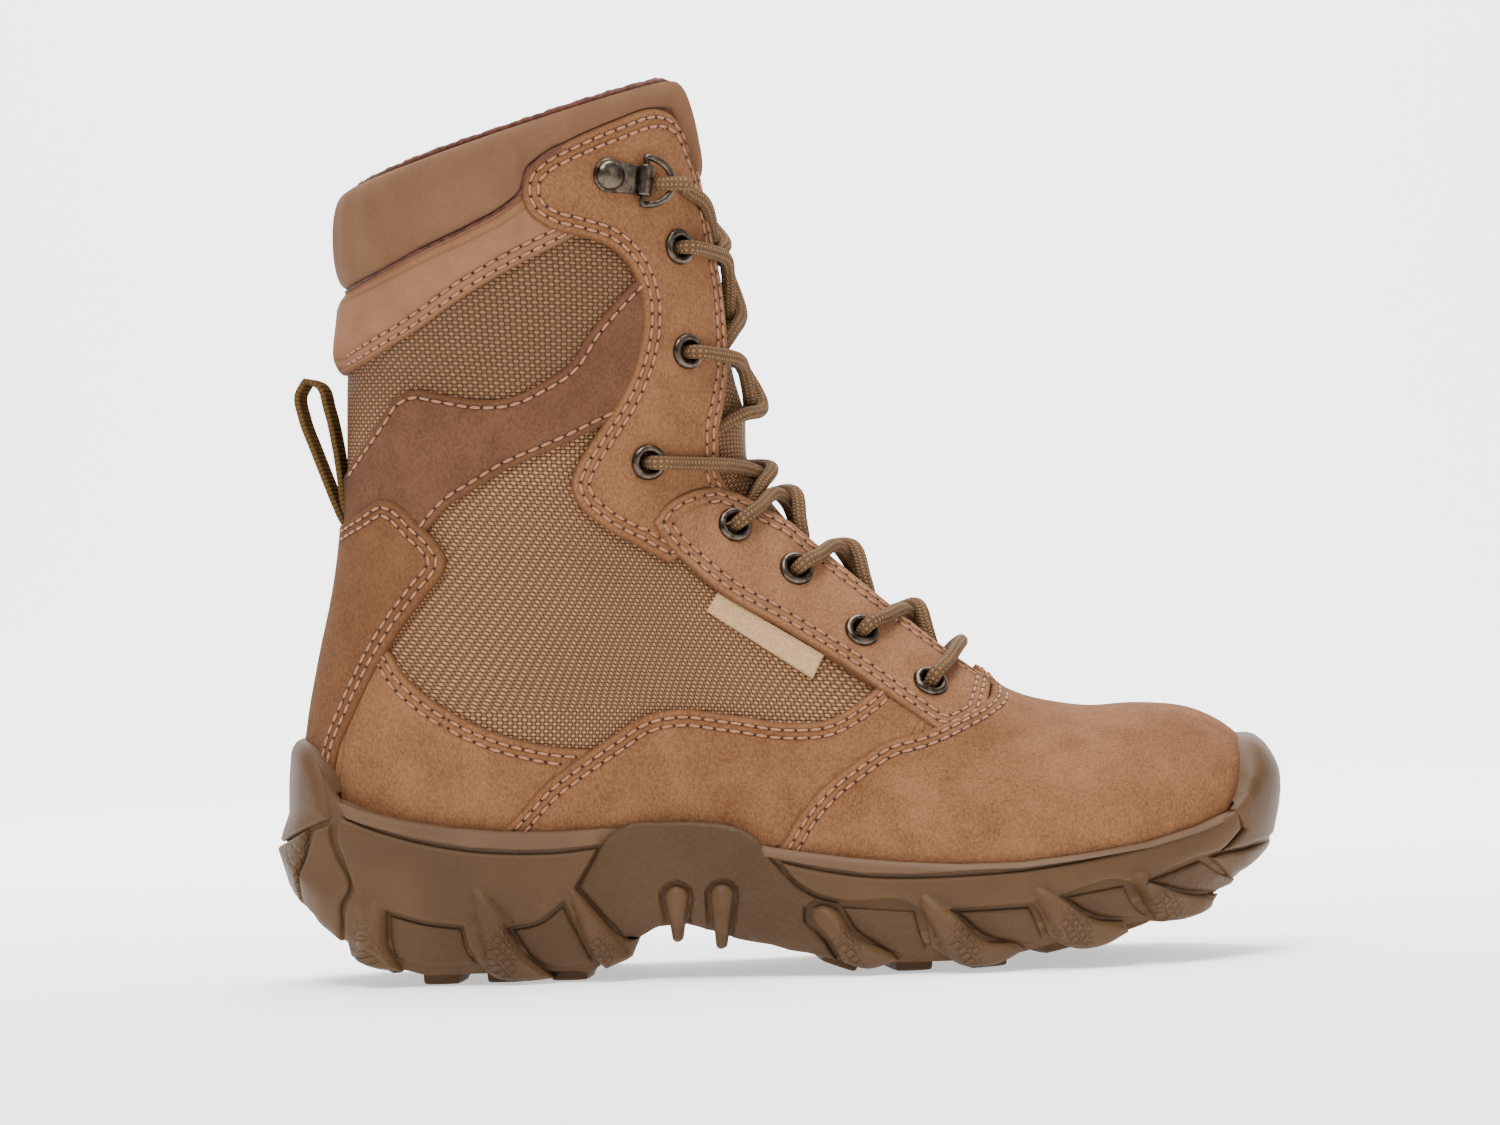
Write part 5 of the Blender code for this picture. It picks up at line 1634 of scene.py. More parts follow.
@dataclass
class Finishes:
    """All materials of the boot."""

    def __post_init__(self) -> None:
        """Build the materials."""
        warm = (0.090, 0.036, 0.014)
        self.suede = Leather("suede", (0.114, 0.047, 0.019), (0.245, 0.113, 0.0525), warm, 1.0,
                             STITCH_ROWS).material()
        self.suede_dark = Leather("suede_dark", (0.080, 0.032, 0.0125), (0.164, 0.073, 0.0315), warm, 1.0,
                                  STITCH_ROWS).material()
        self.suede_strap = Leather("suede_strap", (0.067, 0.028, 0.0135), (0.136, 0.0625, 0.0325), warm, 1.0,
                                   STRAP_ROWS).material()
        self.facing = Leather("suede_facing", (0.129, 0.056, 0.024), (0.278, 0.134, 0.066), warm, 1.0,
                              STITCH_ROWS).material()
        self.nubuck = Leather("nubuck", (0.117, 0.056, 0.029), (0.173, 0.089, 0.0485), warm, 0.4, (),
                              0.88).material()
        self.hem = Leather("nubuck_hem", (0.178, 0.080, 0.0395), (0.252, 0.123, 0.064), warm, 0.45,
                           BAND_ROWS, 0.88).material()
        self.nylon = Weave("nylon", 1.28, (0.430, 0.227, 0.106), (0.222, 0.104, 0.044),
                           (0.044, 0.017, 0.0065)).material()
        self.lining = Cloth("lining", (0.040, 0.012, 0.007), (0.125, 0.040, 0.023), 1.4).material()
        self.rubber = Rubber("rubber", (0.055, 0.0278, 0.0116), (0.0985, 0.0521, 0.0226)).material()
        self.foam = Rubber("foam", (0.081, 0.0437, 0.0221), (0.133, 0.0750, 0.0403), 0.62).material()
        self.metal = Metal("metal", (0.030, 0.0225, 0.0165), (0.135, 0.104, 0.079)).material()
        self.cord = Braid("cord", (0.225, 0.127, 0.060), (0.050, 0.025, 0.012), 1.1).material()
        self.webbing = Braid("webbing", (0.120, 0.066, 0.026), (0.040, 0.021, 0.009), 1.3, True).material()
        self.thread = Cloth("thread", (0.205, 0.082, 0.037), (0.390, 0.182, 0.092), 0.35, 0.7).material()
        # Painted shade: a near-black tone for the discs that stand for the shade inside needle holes.
        self.needle = Cloth("needle_hole", (0.018, 0.006, 0.003), (0.036, 0.014, 0.006), 0.5, 1.0).material()
        self.tag = Cloth("tag", (0.330, 0.190, 0.084), (0.470, 0.295, 0.145), 0.5, 0.85).material()
        self.insole = Cloth("footbed", (0.030, 0.016, 0.011), (0.080, 0.045, 0.030), 1.1).material()


@dataclass
class Assembly:
    """What every sub-assembly works with."""

    last: Last
    finishes: Finishes
    scatter: Scatter
    seam: Seam

    def hand_over(self, piece: bpy.types.Object, slot: Slot, *nodes: str) -> bpy.types.Object:
        """Let a piece ride with the boot and stand for CAD nodes.

        Args:
            piece: The piece.
            slot: Not used.
            nodes: CAD nodes it replaces.

        Returns:
            The piece.
        """
        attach(piece, "root")
        if nodes:
            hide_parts(*nodes)
        LOG.info("%s: %d faces", piece.name, len(piece.data.polygons))
        return piece

    def eyelet_axes(self) -> list[tuple[Array, Array]]:
        """Centres and axes of all eyelets.

        Returns:
            A centre and an axis for each.
        """
        made = []
        for side in Side:
            for x, z in EYELETS:
                _, centre, axis = self.last.axis(x, z, side)
                made.append((centre, axis))
        return made

    def traced(self, table: Sequence, side: Side, sewn: Sewing = Sewing.NONE) -> Run:
        """An edge seen from the side, laid on the upper."""
        return Run(self.last.from_side(edge_line(table), side), sewn)

    def throat_run(self, low: float, high: float, side: Side, sewn: Sewing) -> Run:
        """The throat's edge between two rows.

        Args:
            low: Row of its start.
            high: Row of its end.
            side: Side of the boot.
            sewn: How it is sewn.

        Returns:
            The run.
        """
        w = np.linspace(low, high, max(int(abs(high - low) * 12), 2))
        border = 3.6 * ease((w - 23.45) / 1.1) / self.last.girth[side][-1]
        return Run(columns(w, side * (self.last.throat(w, side) + border)), sewn)

    def joined(self, first: Run, second: Run, radius: float) -> Run:
        """Two runs as one, sewn round a rounded corner.

        Args:
            first: The run before the corner.
            second: The run after it.
            radius: Radius of the corner.

        Returns:
            The joined run.
        """
        def trimmed(points: Array) -> Array:
            """The points beyond the radius from the first one."""
            return points[run_of(points * self.last.scale) > radius]

        start, end = trimmed(first.points[::-1])[::-1], trimmed(second.points)
        corner = (first.points[-1] + second.points[0]) / 2
        f = np.linspace(0, 1, 9)[1:-1, None]
        curve = (1 - f) ** 2 * start[-1] + 2 * f * (1 - f) * corner + f ** 2 * end[0]
        return Run(np.concatenate([start, curve, end]), first.sewn)


@dataclass
class Shell(Assembly):
    """The hollow upper: woven outside, lining inside, and the tongue under the laces."""

    def build(self) -> None:
        """Make the upper and the tongue."""
        self.upper()
        self.tongue()

    def laid(self, points: Array) -> Array:
        """Map of the weave: distance round the shaft, and height.

        Args:
            points: Points of the shell.

        Returns:
            Two coordinates for each.
        """
        v = self.last.sections(self.last.rows)
        z = points[:, 2]
        throat, heel = (row * ROW_STEPS // self.last.end for row in (THROAT_ROW, HEEL_ROW))
        front = np.interp(z, v["top_z"][throat:], v["top_x"][throat:])
        back = np.interp(z, v["low_z"][heel:], v["low_x"][heel:])
        deep, middle = (front - back) / 2 + 4, (front + back) / 2
        angle = np.linspace(0, math.pi, 181)
        shape = columns(np.cos(angle), 0.62 * np.sin(angle))
        run = run_of(shape)
        seen = np.arctan2(np.abs(points[:, 1]) / (0.62 * deep), (points[:, 0] - middle) / deep)
        return columns((np.interp(seen, angle, run) - run[90]) * deep, z + 0.06 * points[:, 0])

    def upper(self) -> None:
        """The wall with its holes: outside grid, inside grid and the rims between."""
        rows = np.concatenate([np.linspace(0.0, 8.0, 61), np.linspace(8.001, 25.0, 140)])
        first, rest = 4, 46
        where = []
        for side in Side:
            throat = self.last.throat(rows, side)
            share = np.concatenate([np.linspace(0, 1, first + 1)[:-1, None] * throat,
                                    throat + np.linspace(0, 1, rest + 1)[:, None] * (1 - throat)], axis=0).T
            w = np.repeat(rows[:, None], share.shape[1], axis=1)
            where.append(np.stack([w, side * share], axis=2))
        every = np.concatenate([where[0][:, ::-1], where[1][:, 1:]], axis=1)
        middle = first + rest
        wide = every.shape[1]
        flat = every.reshape(-1, 2)
        flat[:, 0] -= self.last.corner(flat[:, 1]) * ease((flat[:, 0] - 23.4) / 1.6)
        base = self.last.at(*flat.T)
        puff = 0.9 * np.exp(-(((base[:, 0] + 38) / 34) ** 2 + ((base[:, 2] - 103) / 20) ** 2))
        puff += 1.1 * np.exp(-(((base[:, 0] + 78) / 30) ** 2 + ((base[:, 2] - 192) / 13) ** 2))
        outer = self.last.place(*flat.T, puff)
        inner = self.last.place(*flat.T, -WALL)
        centre = base.reshape(len(rows), wide, 3)
        centre = (centre[:-1, :-1] + centre[1:, :-1] + centre[:-1, 1:] + centre[1:, 1:]) / 4
        open_cell = np.zeros(centre.shape[:2], bool)
        for point, axis in self.eyelet_axes():
            away = centre - point
            off = np.linalg.norm(away - (away @ axis)[..., None] * axis, axis=2)
            open_cell |= (off < EYELET_HOLE) & (np.abs(away @ axis) < HOLE_REACH)
        open_cell[60:, middle - first:middle + first] = True
        faces = [(r * wide + c, r * wide + c + 1, (r + 1) * wide + c + 1, (r + 1) * wide + c)
                 for r in range(len(rows) - 1) for c in range(wide - 1) if not open_cell[r, c]]
        draft = Draft("upper_shell")
        draft.add_sheet(outer, inner, faces, self.laid(base), (0, 1))
        piece = draft.build([self.finishes.nylon, self.finishes.lining])
        self.hand_over(piece, Slot.NYLON, "upper")

    def tongue(self) -> None:
        """The tongue, swelling at the ankle where the throat is wide."""
        rows = np.linspace(8.3, 24.6, 118)
        spans = np.linspace(-27, 27, 41)
        w = np.repeat(rows, len(spans))
        span = np.tile(spans, len(rows))
        q = np.array([self.last.span_share(a, Side.LATERAL if s < 0 else Side.MEDIAL, abs(s))
                      for a, s in zip(w, span)])
        swell = self.last.tongue_swell(w) * ease(1.25 - np.abs(span) / 20)
        fold = 0.35 * np.sin(w * 2.3 + span * 0.05) * ease(1.2 - np.abs(span) / 18)
        outer = self.last.place(w, q, TONGUE_LIFT + swell + fold)
        inner = self.last.place(w, q, TONGUE_LIFT - 1.9 + swell + fold)
        draft = Draft("tongue_sheet")
        draft.add_sheet(outer, inner, grid_faces(len(rows), len(spans)), columns(span, w * 13.0))
        self.hand_over(draft.build([self.finishes.nylon]), Slot.NYLON, "tongue")


@dataclass
class Overlays(Assembly):
    """The sewn leather layers of the upper."""

    def build(self) -> None:
        """Make all layers and gather their stitches."""
        self.vamp()
        self.counter()
        for side in Side:
            self.eyestays(side)
            self.sides(side)
        self.tag()

    def layer(self, part: str, runs: list[Run], top: Union[float, Lift], finish: bpy.types.Material,
              side: Side | None = None, rows: Sequence[float] = STITCH_ROWS, holes: bool = False) -> None:
        """Make one layer.

        Args:
            part: CAD node it replaces, without the side.
            runs: Its outline.
            top: Its height, or the height by distance from the edge.
            finish: Its material.
            side: Its side, where there are two.
            rows: Distances of its stitch rows from the edge.
            holes: Whether the eyelets pass through it.
        """
        tail = "" if side is None else f"_{side.word}"
        lift = top if callable(top) else cut_edge(top)
        panel = Panel(self.last, runs, lift, holes=self.eyelet_axes() if holes else [])
        draft = Draft(f"{part}_layer{tail}")
        draft.add_panel(panel)
        panel.sew(self.seam, rows)
        self.hand_over(draft.build([finish]), Slot.SUEDE, part + tail)

    def vamp(self) -> None:
        """The toe piece, over the ridge from one seat to the other."""
        runs = [self.traced(VAMP_SEAM, Side.LATERAL, Sewing.DOUBLE)]
        far = self.traced(VAMP_SEAM, Side.MEDIAL, Sewing.DOUBLE)
        start, end = runs[0].points[-1], far.points[-1]
        f = np.linspace(0, 1, 24)[1:-1, None]
        bridge = start + (end - start) * f
        bridge[:, 0] += 0.5 * np.sin(math.pi * f[:, 0]) ** 0.5
        runs.append(Run(bridge, Sewing.DOUBLE))
        runs.append(far.flipped())
        tip = np.linspace(far.points[0][0], 0.25, 90)
        runs.append(Run(columns(tip, np.full(90, 0.975))))
        runs.append(Run(columns(np.full(60, 0.25), np.linspace(0.975, -0.975, 60))))
        runs.append(Run(columns(tip[::-1], np.full(90, -0.975))))
        flat = cut_edge(2.0)
        line = self.last.at(*runs[0].points.T)
        other = self.last.at(*np.concatenate([bridge, far.points]).T)

        def lift(distance: Array, base: Array) -> Array:
            """Height, raised where the edge lies over other layers."""
            near = np.minimum(*(reach_to(base, edge[::6]) for edge in (line, other)))
            return flat(distance, base) + 1.0 * ease(1.6 - near / 7)

        self.layer("vamp", runs, lift, self.finishes.suede)

    def counter(self) -> None:
        """The heel piece round the back seam."""
        near = self.traced(COUNTER_EDGE, Side.LATERAL, Sewing.DOUBLE)
        far = self.traced(COUNTER_EDGE, Side.MEDIAL, Sewing.DOUBLE)
        far.points[:, 1] -= 2
        runs = [far.flipped(), near]
        runs.append(Run(np.array([(16.45, -0.96), (16.4, -1.0), (16.45, -1.04)])))
        self.layer("counter", runs, 2.2, self.finishes.suede_dark)

    def eyestays(self, side: Side) -> None:
        """The two lace facings of a side.

        Args:
            side: Side of the boot.
        """
        double = Sewing.DOUBLE
        edge, throat = self.traced(UPPER_EYESTAY, side, double), self.throat_run(13.4, 24.6, side, double)
        self.layer("upper_eyestay", [self.joined(throat, edge, 5.0)], UPPER_FACING, self.finishes.suede,
                   side, holes=True)
        edge, throat = self.traced(LOWER_EYESTAY, side, double), self.throat_run(14.55, 8.25, side, double)
        self.layer("lower_eyestay", [self.joined(edge, throat, 2.5)], LOWER_FACING, self.finishes.facing,
                   side, holes=True)

    def sides(self, side: Side) -> None:
        """Quarter, heel panel and ankle strap of a side.

        Args:
            side: Side of the boot.
        """
        runs = [self.traced(QUARTER_TOP, side, Sewing.DOUBLE), self.traced(QUARTER_HID, side)]
        self.layer("quarter", runs, 1.9, self.finishes.suede, side)
        runs = [self.traced(HEEL_PANEL_TOP, side, Sewing.DOUBLE), self.traced(HEEL_PANEL_HID, side)]
        self.layer("heel_panel", runs, 1.3, self.finishes.suede, side)
        runs = [Run(np.array([(20.3, side * 1.0), (21.55, side * 1.0)]))]
        runs += [self.traced(table, side, Sewing.SINGLE) for table in (STRAP_TOP, STRAP_LOW)]
        self.layer("strap", runs, 1.5, self.finishes.suede_strap, side, STRAP_ROWS)

    def tag(self) -> None:
        """The small bare fabric tag under the lower facing."""
        outline = self.last.from_side(edge_line(SIDE_TAG, closed=True), Side.LATERAL)
        draft = Draft("side_tag_cloth")
        draft.add_panel(Panel(self.last, [Run(outline)], cut_edge(1.5, 0.3, 0.6)))
        self.hand_over(draft.build([self.finishes.tag]), Slot.TAG, "side_tag")


@dataclass
class Collar(Assembly):
    """The padded roll at the top and the band below it."""

    def build(self) -> None:
        """Make the roll, its lining edge and the band."""
        self.band()
        self.roll()

    def band(self) -> None:
        """The band: a padded field above a flat sewn hem."""
        runs, hems = [], []
        for side in (Side.MEDIAL, Side.LATERAL):
            low = self.traced(BAND_LOW, side, Sewing.DOUBLE)
            high = self.traced(BAND_TOP, side)
            for run in (low, high):
                if side is Side.MEDIAL:
                    run.points[:, 1] -= 2
            hems.append(self.last.at(*low.points.T))
            runs.append((low, high))
        outline = [runs[0][0], runs[1][0].flipped(), runs[1][1].flipped(), runs[0][1]]
        line = np.concatenate(hems)

        def rounded(value: Array) -> Array:
            """A quarter round from 0 to 1."""
            return np.sin(math.pi / 2 * np.clip(value, 0, 1)) ** 0.85

        def lift(distance: Array, base: Array) -> Array:
            """Height: a flat hem, then the padding.

            Args:
                distance: Distances from the edge.
                base: Points of the surface.

            Returns:
                Height at each point.
            """
            hem = reach_to(base, line[::3])
            shown = ease((-67 - base[:, 0]) / 6)
            swell = 3.2 * shown * rounded((hem - 5.7) / 5.0) * rounded(distance / 6.5)
            return 1.1 + 0.5 * shown - 0.45 * np.clip(1 - distance / 0.9, 0, 1) ** 2 + swell

        panel = Panel(self.last, outline, lift, spacing=1.3, rings=(0.4, 1.0, 1.8, 2.8))
        draft = Draft("collar_band_pad")
        draft.add_panel(panel)
        panel.sew(self.seam, BAND_ROWS)
        piece = self.hand_over(draft.build([self.finishes.hem]), Slot.NUBUCK, "collar_band")

    def roll(self) -> None:
        """The padded roll, from its seam over the top to the lining."""
        shares, low_rows = [], []
        for side in Side:
            line = self.traced(ROLL_LOW, side).points
            order = np.argsort(np.abs(line[:, 1]))
            start = self.last.collar_start(side)
            share = start + (1 - start) * np.linspace(0, 1, 150)
            low_rows.append(np.interp(share, np.abs(line[order, 1]), line[order, 0]))
            shares.append(side * share)
        share = np.concatenate([shares[0], shares[1][::-1][1:]])
        low = np.concatenate([low_rows[0], low_rows[1][::-1][1:]])
        drop = self.last.corner(share)
        high = 25.0 - drop
        ahead = self.last.ahead(share)
        low = low - 1.1 * ease(1.3 - ahead / 6.0)
        tall = lengths(self.last.at(high, share) - self.last.at(low, share))
        swell = np.minimum(6.8, 0.32 * tall + 0.5) * (1.0 - 1.6 * drop)
        wave = 1 + 0.035 * np.sin(share * 90) + 0.03 * np.sin(share * 47 + 1.0)
        rows = []
        for f in np.linspace(0, 1, ROLL_STEPS):
            turn = math.pi * (0.03 + 0.86 * f)
            rise, full = (0.5 - 0.5 * math.cos(math.pi * 0.93 * part) for part in (f, 1.0))
            w = low + (high - low) * rise / full
            rows.append(self.last.place(w, share, 0.1 + swell * wave * math.sin(turn) ** 0.8)
                        + UP * 2.2 * f ** 3)
        for down, lift in ((0.0, -0.8), (0.12, -1.7), (0.45, -2.4), (0.9, -2.5)):
            rows.append(self.last.place(high - down, share, np.full(len(share), lift))
                        + UP * 2.2 * max(0.0, 1 - down * 2))
        n = len(share)
        last = (len(rows) - 1) * n
        ends = [tuple(range(last, -1, -n)), tuple(range(n - 1, last + n, n))]
        under = [(c, c + 1, last + c + 1, last + c) for c in range(n - 1)]
        faces = grid_faces(len(rows), n, flip=True) + under + ends
        outside = ROLL_STEPS * (n - 1)
        slots = [0] * outside + [1] * (len(faces) - outside - 2) + [0, 0]
        draft = Draft("collar_roll_pad")
        draft.add(np.concatenate(rows), faces, slots)
        fray = 0.85 + 0.12 * np.sin(np.arange(n) * 1.7) + 0.1 * np.sin(np.arange(n) * 0.61)
        edge = rows[ROLL_STEPS] + UP * (0.5 + 0.8 * ease((ahead - 55) / 40))[:, None]
        add_tube(draft, edge[2:-2:2], 1.35 * fray[2:-2:2], 8, slot=1, spacing=1.0)
        sewn = np.nonzero(ahead > 47)[0]
        cord = self.last.place(low - 0.03, share, np.full(n, 2.3))[sewn]
        add_tube(draft, cord, 0.6 * fray[sewn], 8, slot=1, spacing=0.9)
        piece = self.hand_over(draft.build([self.finishes.nubuck, self.finishes.lining]), Slot.NUBUCK,
                               "collar_roll")


class SoleWall(Surface):
    """The sole's outer wall: distance round its feather edge from the toe (lateral below zero), height."""

    nudge = (0.25, 0.2)
    winding = 1

    def __init__(self) -> None:
        """Lay out the feather edge and its outward ways."""
        rows = SECTIONS[:HEEL_ROW + 1]
        column = {name: rows[:, i] for i, name in enumerate(COLUMNS)}
        self.length: dict[Side, float] = {}
        parts = {}
        for side in Side:
            edge = columns(column["low_x"], column["ridge_y"] + side * column[side.word] * column["foot"])
            fine = between_rows(edge, np.linspace(0, HEEL_ROW, 641))
            run = run_of(fine)
            even = np.linspace(0, run[-1], 401)
            points = np.stack([np.interp(even, run, fine[:, k]) for k in (0, 1)], axis=1)
            step = np.gradient(points, axis=0)
            away = unit(columns(step[:, 1], -step[:, 0]) * side)
            away[0], away[-1] = (1, 0), (-1, 0)
            for _ in range(12):
                away[1:-1] = unit(away[:-2] + 2 * away[1:-1] + away[2:])
            self.length[side] = float(run[-1])
            parts[side] = (even, points, away)
        left, right = parts[Side.LATERAL], parts[Side.MEDIAL]
        self.u = np.concatenate([-left[0][::-1], right[0][1:]])
        self.xy = np.concatenate([left[1][::-1], right[1][1:]])
        self.out = np.concatenate([left[2][::-1], right[2][1:]])
        self.total = sum(self.length.values())

    @staticmethod
    def line(table: Array, x: Array) -> Array:
        """Value of a sole line at x."""
        return np.interp(x, table[:, 0], table[:, 1])

    @staticmethod
    def ends(x: Array, side: float, toe: Union[float, Array], heel: Union[float, Array]) -> Array:
        """A margin that changes from its side value round the two ends."""
        return side + ease((x - 126) / 11) * (toe - side) + ease((-122 - x) / 12) * (heel - side)

    def base(self, x: Array) -> Array:
        """Underside between the lugs."""
        return self.line(TREAD, x) + self.line(LUG_DEPTH, x)

    def floor(self, x: Array) -> Array:
        """Platform the upper stands on."""
        order = SECTIONS[:HEEL_ROW][::-1]
        return np.interp(x, order[:, 2], order[:, 3]) - 0.7

    def margin(self, x: Array, z: Array) -> Array:
        """Distance of the wall from the feather edge at a height.

        Args:
            x: Places along the boot.
            z: Heights.

        Returns:
            A distance for each.
        """
        top = self.line(CUP_TOP, x)
        knee = np.minimum(top, 52.0)
        lean = 0.5 * np.maximum(top - 52.0, 0.0)
        panel = self.line(PANEL_TOP, x)
        low = self.base(x)
        levels = [(self.line(TREAD, x) - 0.5, np.full(len(x), 4.4)), (low, self.ends(x, 5.6, 5.4, 6.6)),
                  (low + 2.5, self.ends(x, 6.7, 6.6, 8.6)), (panel, self.ends(x, 7.6, 8.6, 11.4)),
                  ((panel + knee) / 2, self.ends(x, 7.6, 9.2, 9.6)),
                  (knee - 1.4, self.ends(x, 7.3, 9.2, 7.8)),
                  (top - 0.4, self.ends(x, 7.1, 8.5 - lean, 7.6 - 0.15 * lean)),
                  (top + 6.0, self.ends(x, 6.6, 5.6 - lean, 6.8 - 0.15 * lean))]
        made = levels[0][1].copy()
        height = levels[0][0]
        for number, ((z1, m1), (_, m0)) in enumerate(zip(levels[1:], levels[:-1])):
            z1 = np.maximum(z1, height + 0.05)
            f = np.clip((z - height) / (z1 - height), 0, 1)
            f = f ** 1.9 if number == 5 else f
            made = np.where(z > height, m0 + (m1 - m0) * f, made)
            height = z1
        return made

    def feather(self, a: Array) -> tuple[Array, Array]:
        """Points of the feather edge and its outward ways, both level.

        Args:
            a: Distances round the edge.

        Returns:
            The points, and ways of length one.
        """
        u = np.asarray(a, float)
        u = np.where(u < self.u[0], u + self.total, np.where(u > self.u[-1], u - self.total, u))
        xy, out = (np.stack([np.interp(u, self.u, t[:, k]) for k in (0, 1)], axis=1)
                   for t in (self.xy, self.out))
        return xy, unit(out)

    def at(self, a: Array, b: Array) -> Array:
        """Points of the wall.

        Args:
            a: Distances round the edge.
            b: Heights.

        Returns:
            The points.
        """
        xy, out = self.feather(a)
        flat = xy + out * self.margin(xy[:, 0], b)[:, None]
        return np.concatenate([flat, np.asarray(b, float)[:, None]], axis=1)

    def normal(self, a: Array, b: Array) -> Array:
        """Level outward ways, so that the edges of fields run straight in."""
        _, out = self.feather(a)
        return np.concatenate([out, np.zeros((len(out), 1))], axis=1)

    def station(self, x: Array, side: Side) -> Array:
        """Distance round the edge at x of the feather edge.

        Args:
            x: Places along the boot.
            side: Side of the boot.

        Returns:
            A distance for each.
        """
        pick = self.u <= 0 if side is Side.LATERAL else self.u >= 0
        order = np.argsort(self.xy[pick][:, 0])
        return np.interp(x, self.xy[pick][order, 0], self.u[pick][order])

    def from_side(self, line: Array, side: Side) -> Array:
        """Coordinates of points seen from the side.

        Args:
            line: Points as x and z.
            side: Side of the boot.

        Returns:
            Distances round the edge, and heights.
        """
        span = np.linspace(0, self.length[side], 500) * side
        made = []
        for x, z in line:
            seen = self.at(span, np.full(500, z))[:, 0]
            made.append(float(np.interp(-x, -seen, span)))
        return columns(np.array(made), line[:, 1])


@dataclass
class Sole(Assembly):
    """Moulded cup sole, the lip round the upper, and the footbed."""

    wall: SoleWall = field(default_factory=SoleWall)

    def build(self) -> None:
        """Make the sole's pieces."""
        self.outsole()
        self.lip()
        self.footbed()

    def fins(self, base: Array) -> Array:
        """Rise of the side fins at points of the wall.

        Args:
            base: Points of the surface.

        Returns:
            Rise at each point.
        """
        made = np.zeros(len(base))
        for x0, z0, x1, z1, half0, half1, rise in FINS:
            along = np.array((x1 - x0, z1 - z0), float)
            size = np.linalg.norm(along)
            away = base[:, (0, 2)] - (x0, z0)
            f = away @ along / size ** 2
            off = (away[:, 0] * -along[1] + away[:, 1] * along[0]) / size
            half = half0 + (half1 - half0) * np.clip(f, 0, 1)
            shape = np.sqrt(np.clip(1 - (off / half) ** 2, 0, 1))
            made = np.maximum(made, rise * shape * np.sqrt(np.clip(f * 2.4, 0, 1)) * ease((1.3 - f) * 2.4))
        return made

    def knurl(self, points: Array) -> Array:
        """Where the fins' outer ends are roughened.

        Args:
            points: Points of the sole.

        Returns:
            Roughness of each, 0 to 1.
        """
        made = np.zeros(len(points))
        for x0, z0, x1, z1, _, half, _ in FINS:
            spot = np.array((x0 + 0.8 * (x1 - x0) - 0.38 * half, z0 + 0.8 * (z1 - z0)))
            away = lengths((points[:, (0, 2)] - spot) / (0.45 * half, 0.95 * half))
            made = np.maximum(made, ease(1.6 - away))
        return made

    def depth(self, base: Array) -> Array:
        """How far the edges of a field run inwards: shallow on the wall, deep below the cup's floor.

        Args:
            base: Points of the surface.

        Returns:
            Depth at each point, below zero.
        """
        x = np.clip(base[:, 0], -137, 140)
        below = ease(self.wall.base(x) + 0.1 - base[:, 2])
        ends = ease((np.abs(base[:, 0]) - 118) / 4) * ease(base[:, 2] - self.wall.line(LIP_TOP, x))
        return -2.2 - 13.0 * below - 5.5 * ends

    def lift(self, top: float, fins: bool) -> Lift:
        """Height of a field with rounded edges.

        Args:
            top: Height of its middle.
            fins: Whether fins stand on it.

        Returns:
            Height by distance from the edge and place.
        """
        def made(distance: Array, base: Array) -> Array:
            """Height by distance from the edge.

            Args:
                distance: Distances from the edge.
                base: Points of the surface.

            Returns:
                Height at each point.
            """
            soft = top - 0.9 * np.clip(1 - distance / 1.2, 0, 1) ** 2
            ends = ease((np.abs(base[:, 0]) - 128) / 6) * ease((base[:, 2] - 46) / 8)
            soft -= ends * np.where(base[:, 0] < 0, 2.4, 1.6) * np.clip(1 - distance / 4.5, 0, 1) ** 2
            return soft + (self.fins(base) * ease(distance / 1.8 + 0.3) if fins else 0.0)
        return made

    def saddle(self, distance: Array, base: Array) -> Array:
        """Height of the saddle, with a groove round each rib.

        Args:
            distance: Distances from the edge.
            base: Points of the surface.

        Returns:
            Height at each point.
        """
        made = 0.3 - 0.9 * np.clip(1 - distance / 1.2, 0, 1) ** 2
        for table in RIBS:
            line = self.rib_line(table, 0.3)
            away = reach_to(base[:, (0, 2)], line)
            made = np.where(within(base[:, (0, 2)], line), -1.4, made - 1.7 * ease(1.9 - away / 0.9))
        return made

    @staticmethod
    def rib_line(table: Sequence[float], grow: float) -> Array:
        """Outline of a rib: round above, narrower and round below.

        Args:
            table: Both ends and the half width.
            grow: Distance added all round.

        Returns:
            The outline.
        """
        x0, z0, x1, z1, half = table
        above = np.linspace(0, math.pi, 13)
        below = np.linspace(math.pi, 2 * math.pi, 9)
        tip = 0.45 * half
        top = columns(x0 + (half + grow) * np.cos(above), z0 - half + (half + grow) * np.sin(above))
        low = columns(x1 + (tip + grow) * np.cos(below), z1 + tip + (tip + grow) * np.sin(below))
        f = np.linspace(0, 1, 16)[1:-1, None]
        return np.concatenate([top, top[-1] + (low[0] - top[-1]) * f, low, low[-1] + (top[0] - low[-1]) * f])

    @staticmethod
    def rib(distance: Array, base: Array) -> Array:
        """Height of a crowned rib."""
        return -0.6 + 2.5 * np.sqrt(np.clip(distance / 2.8, 0, 1))

    def field_panel(self, run: Array, top: float, fins: bool = False, spacing: float = 1.5) -> Panel:
        """A raised field of the wall."""
        return Panel(self.wall, [Run(run)], self.lift(top, fins), self.depth, spacing, FIELD_RINGS)

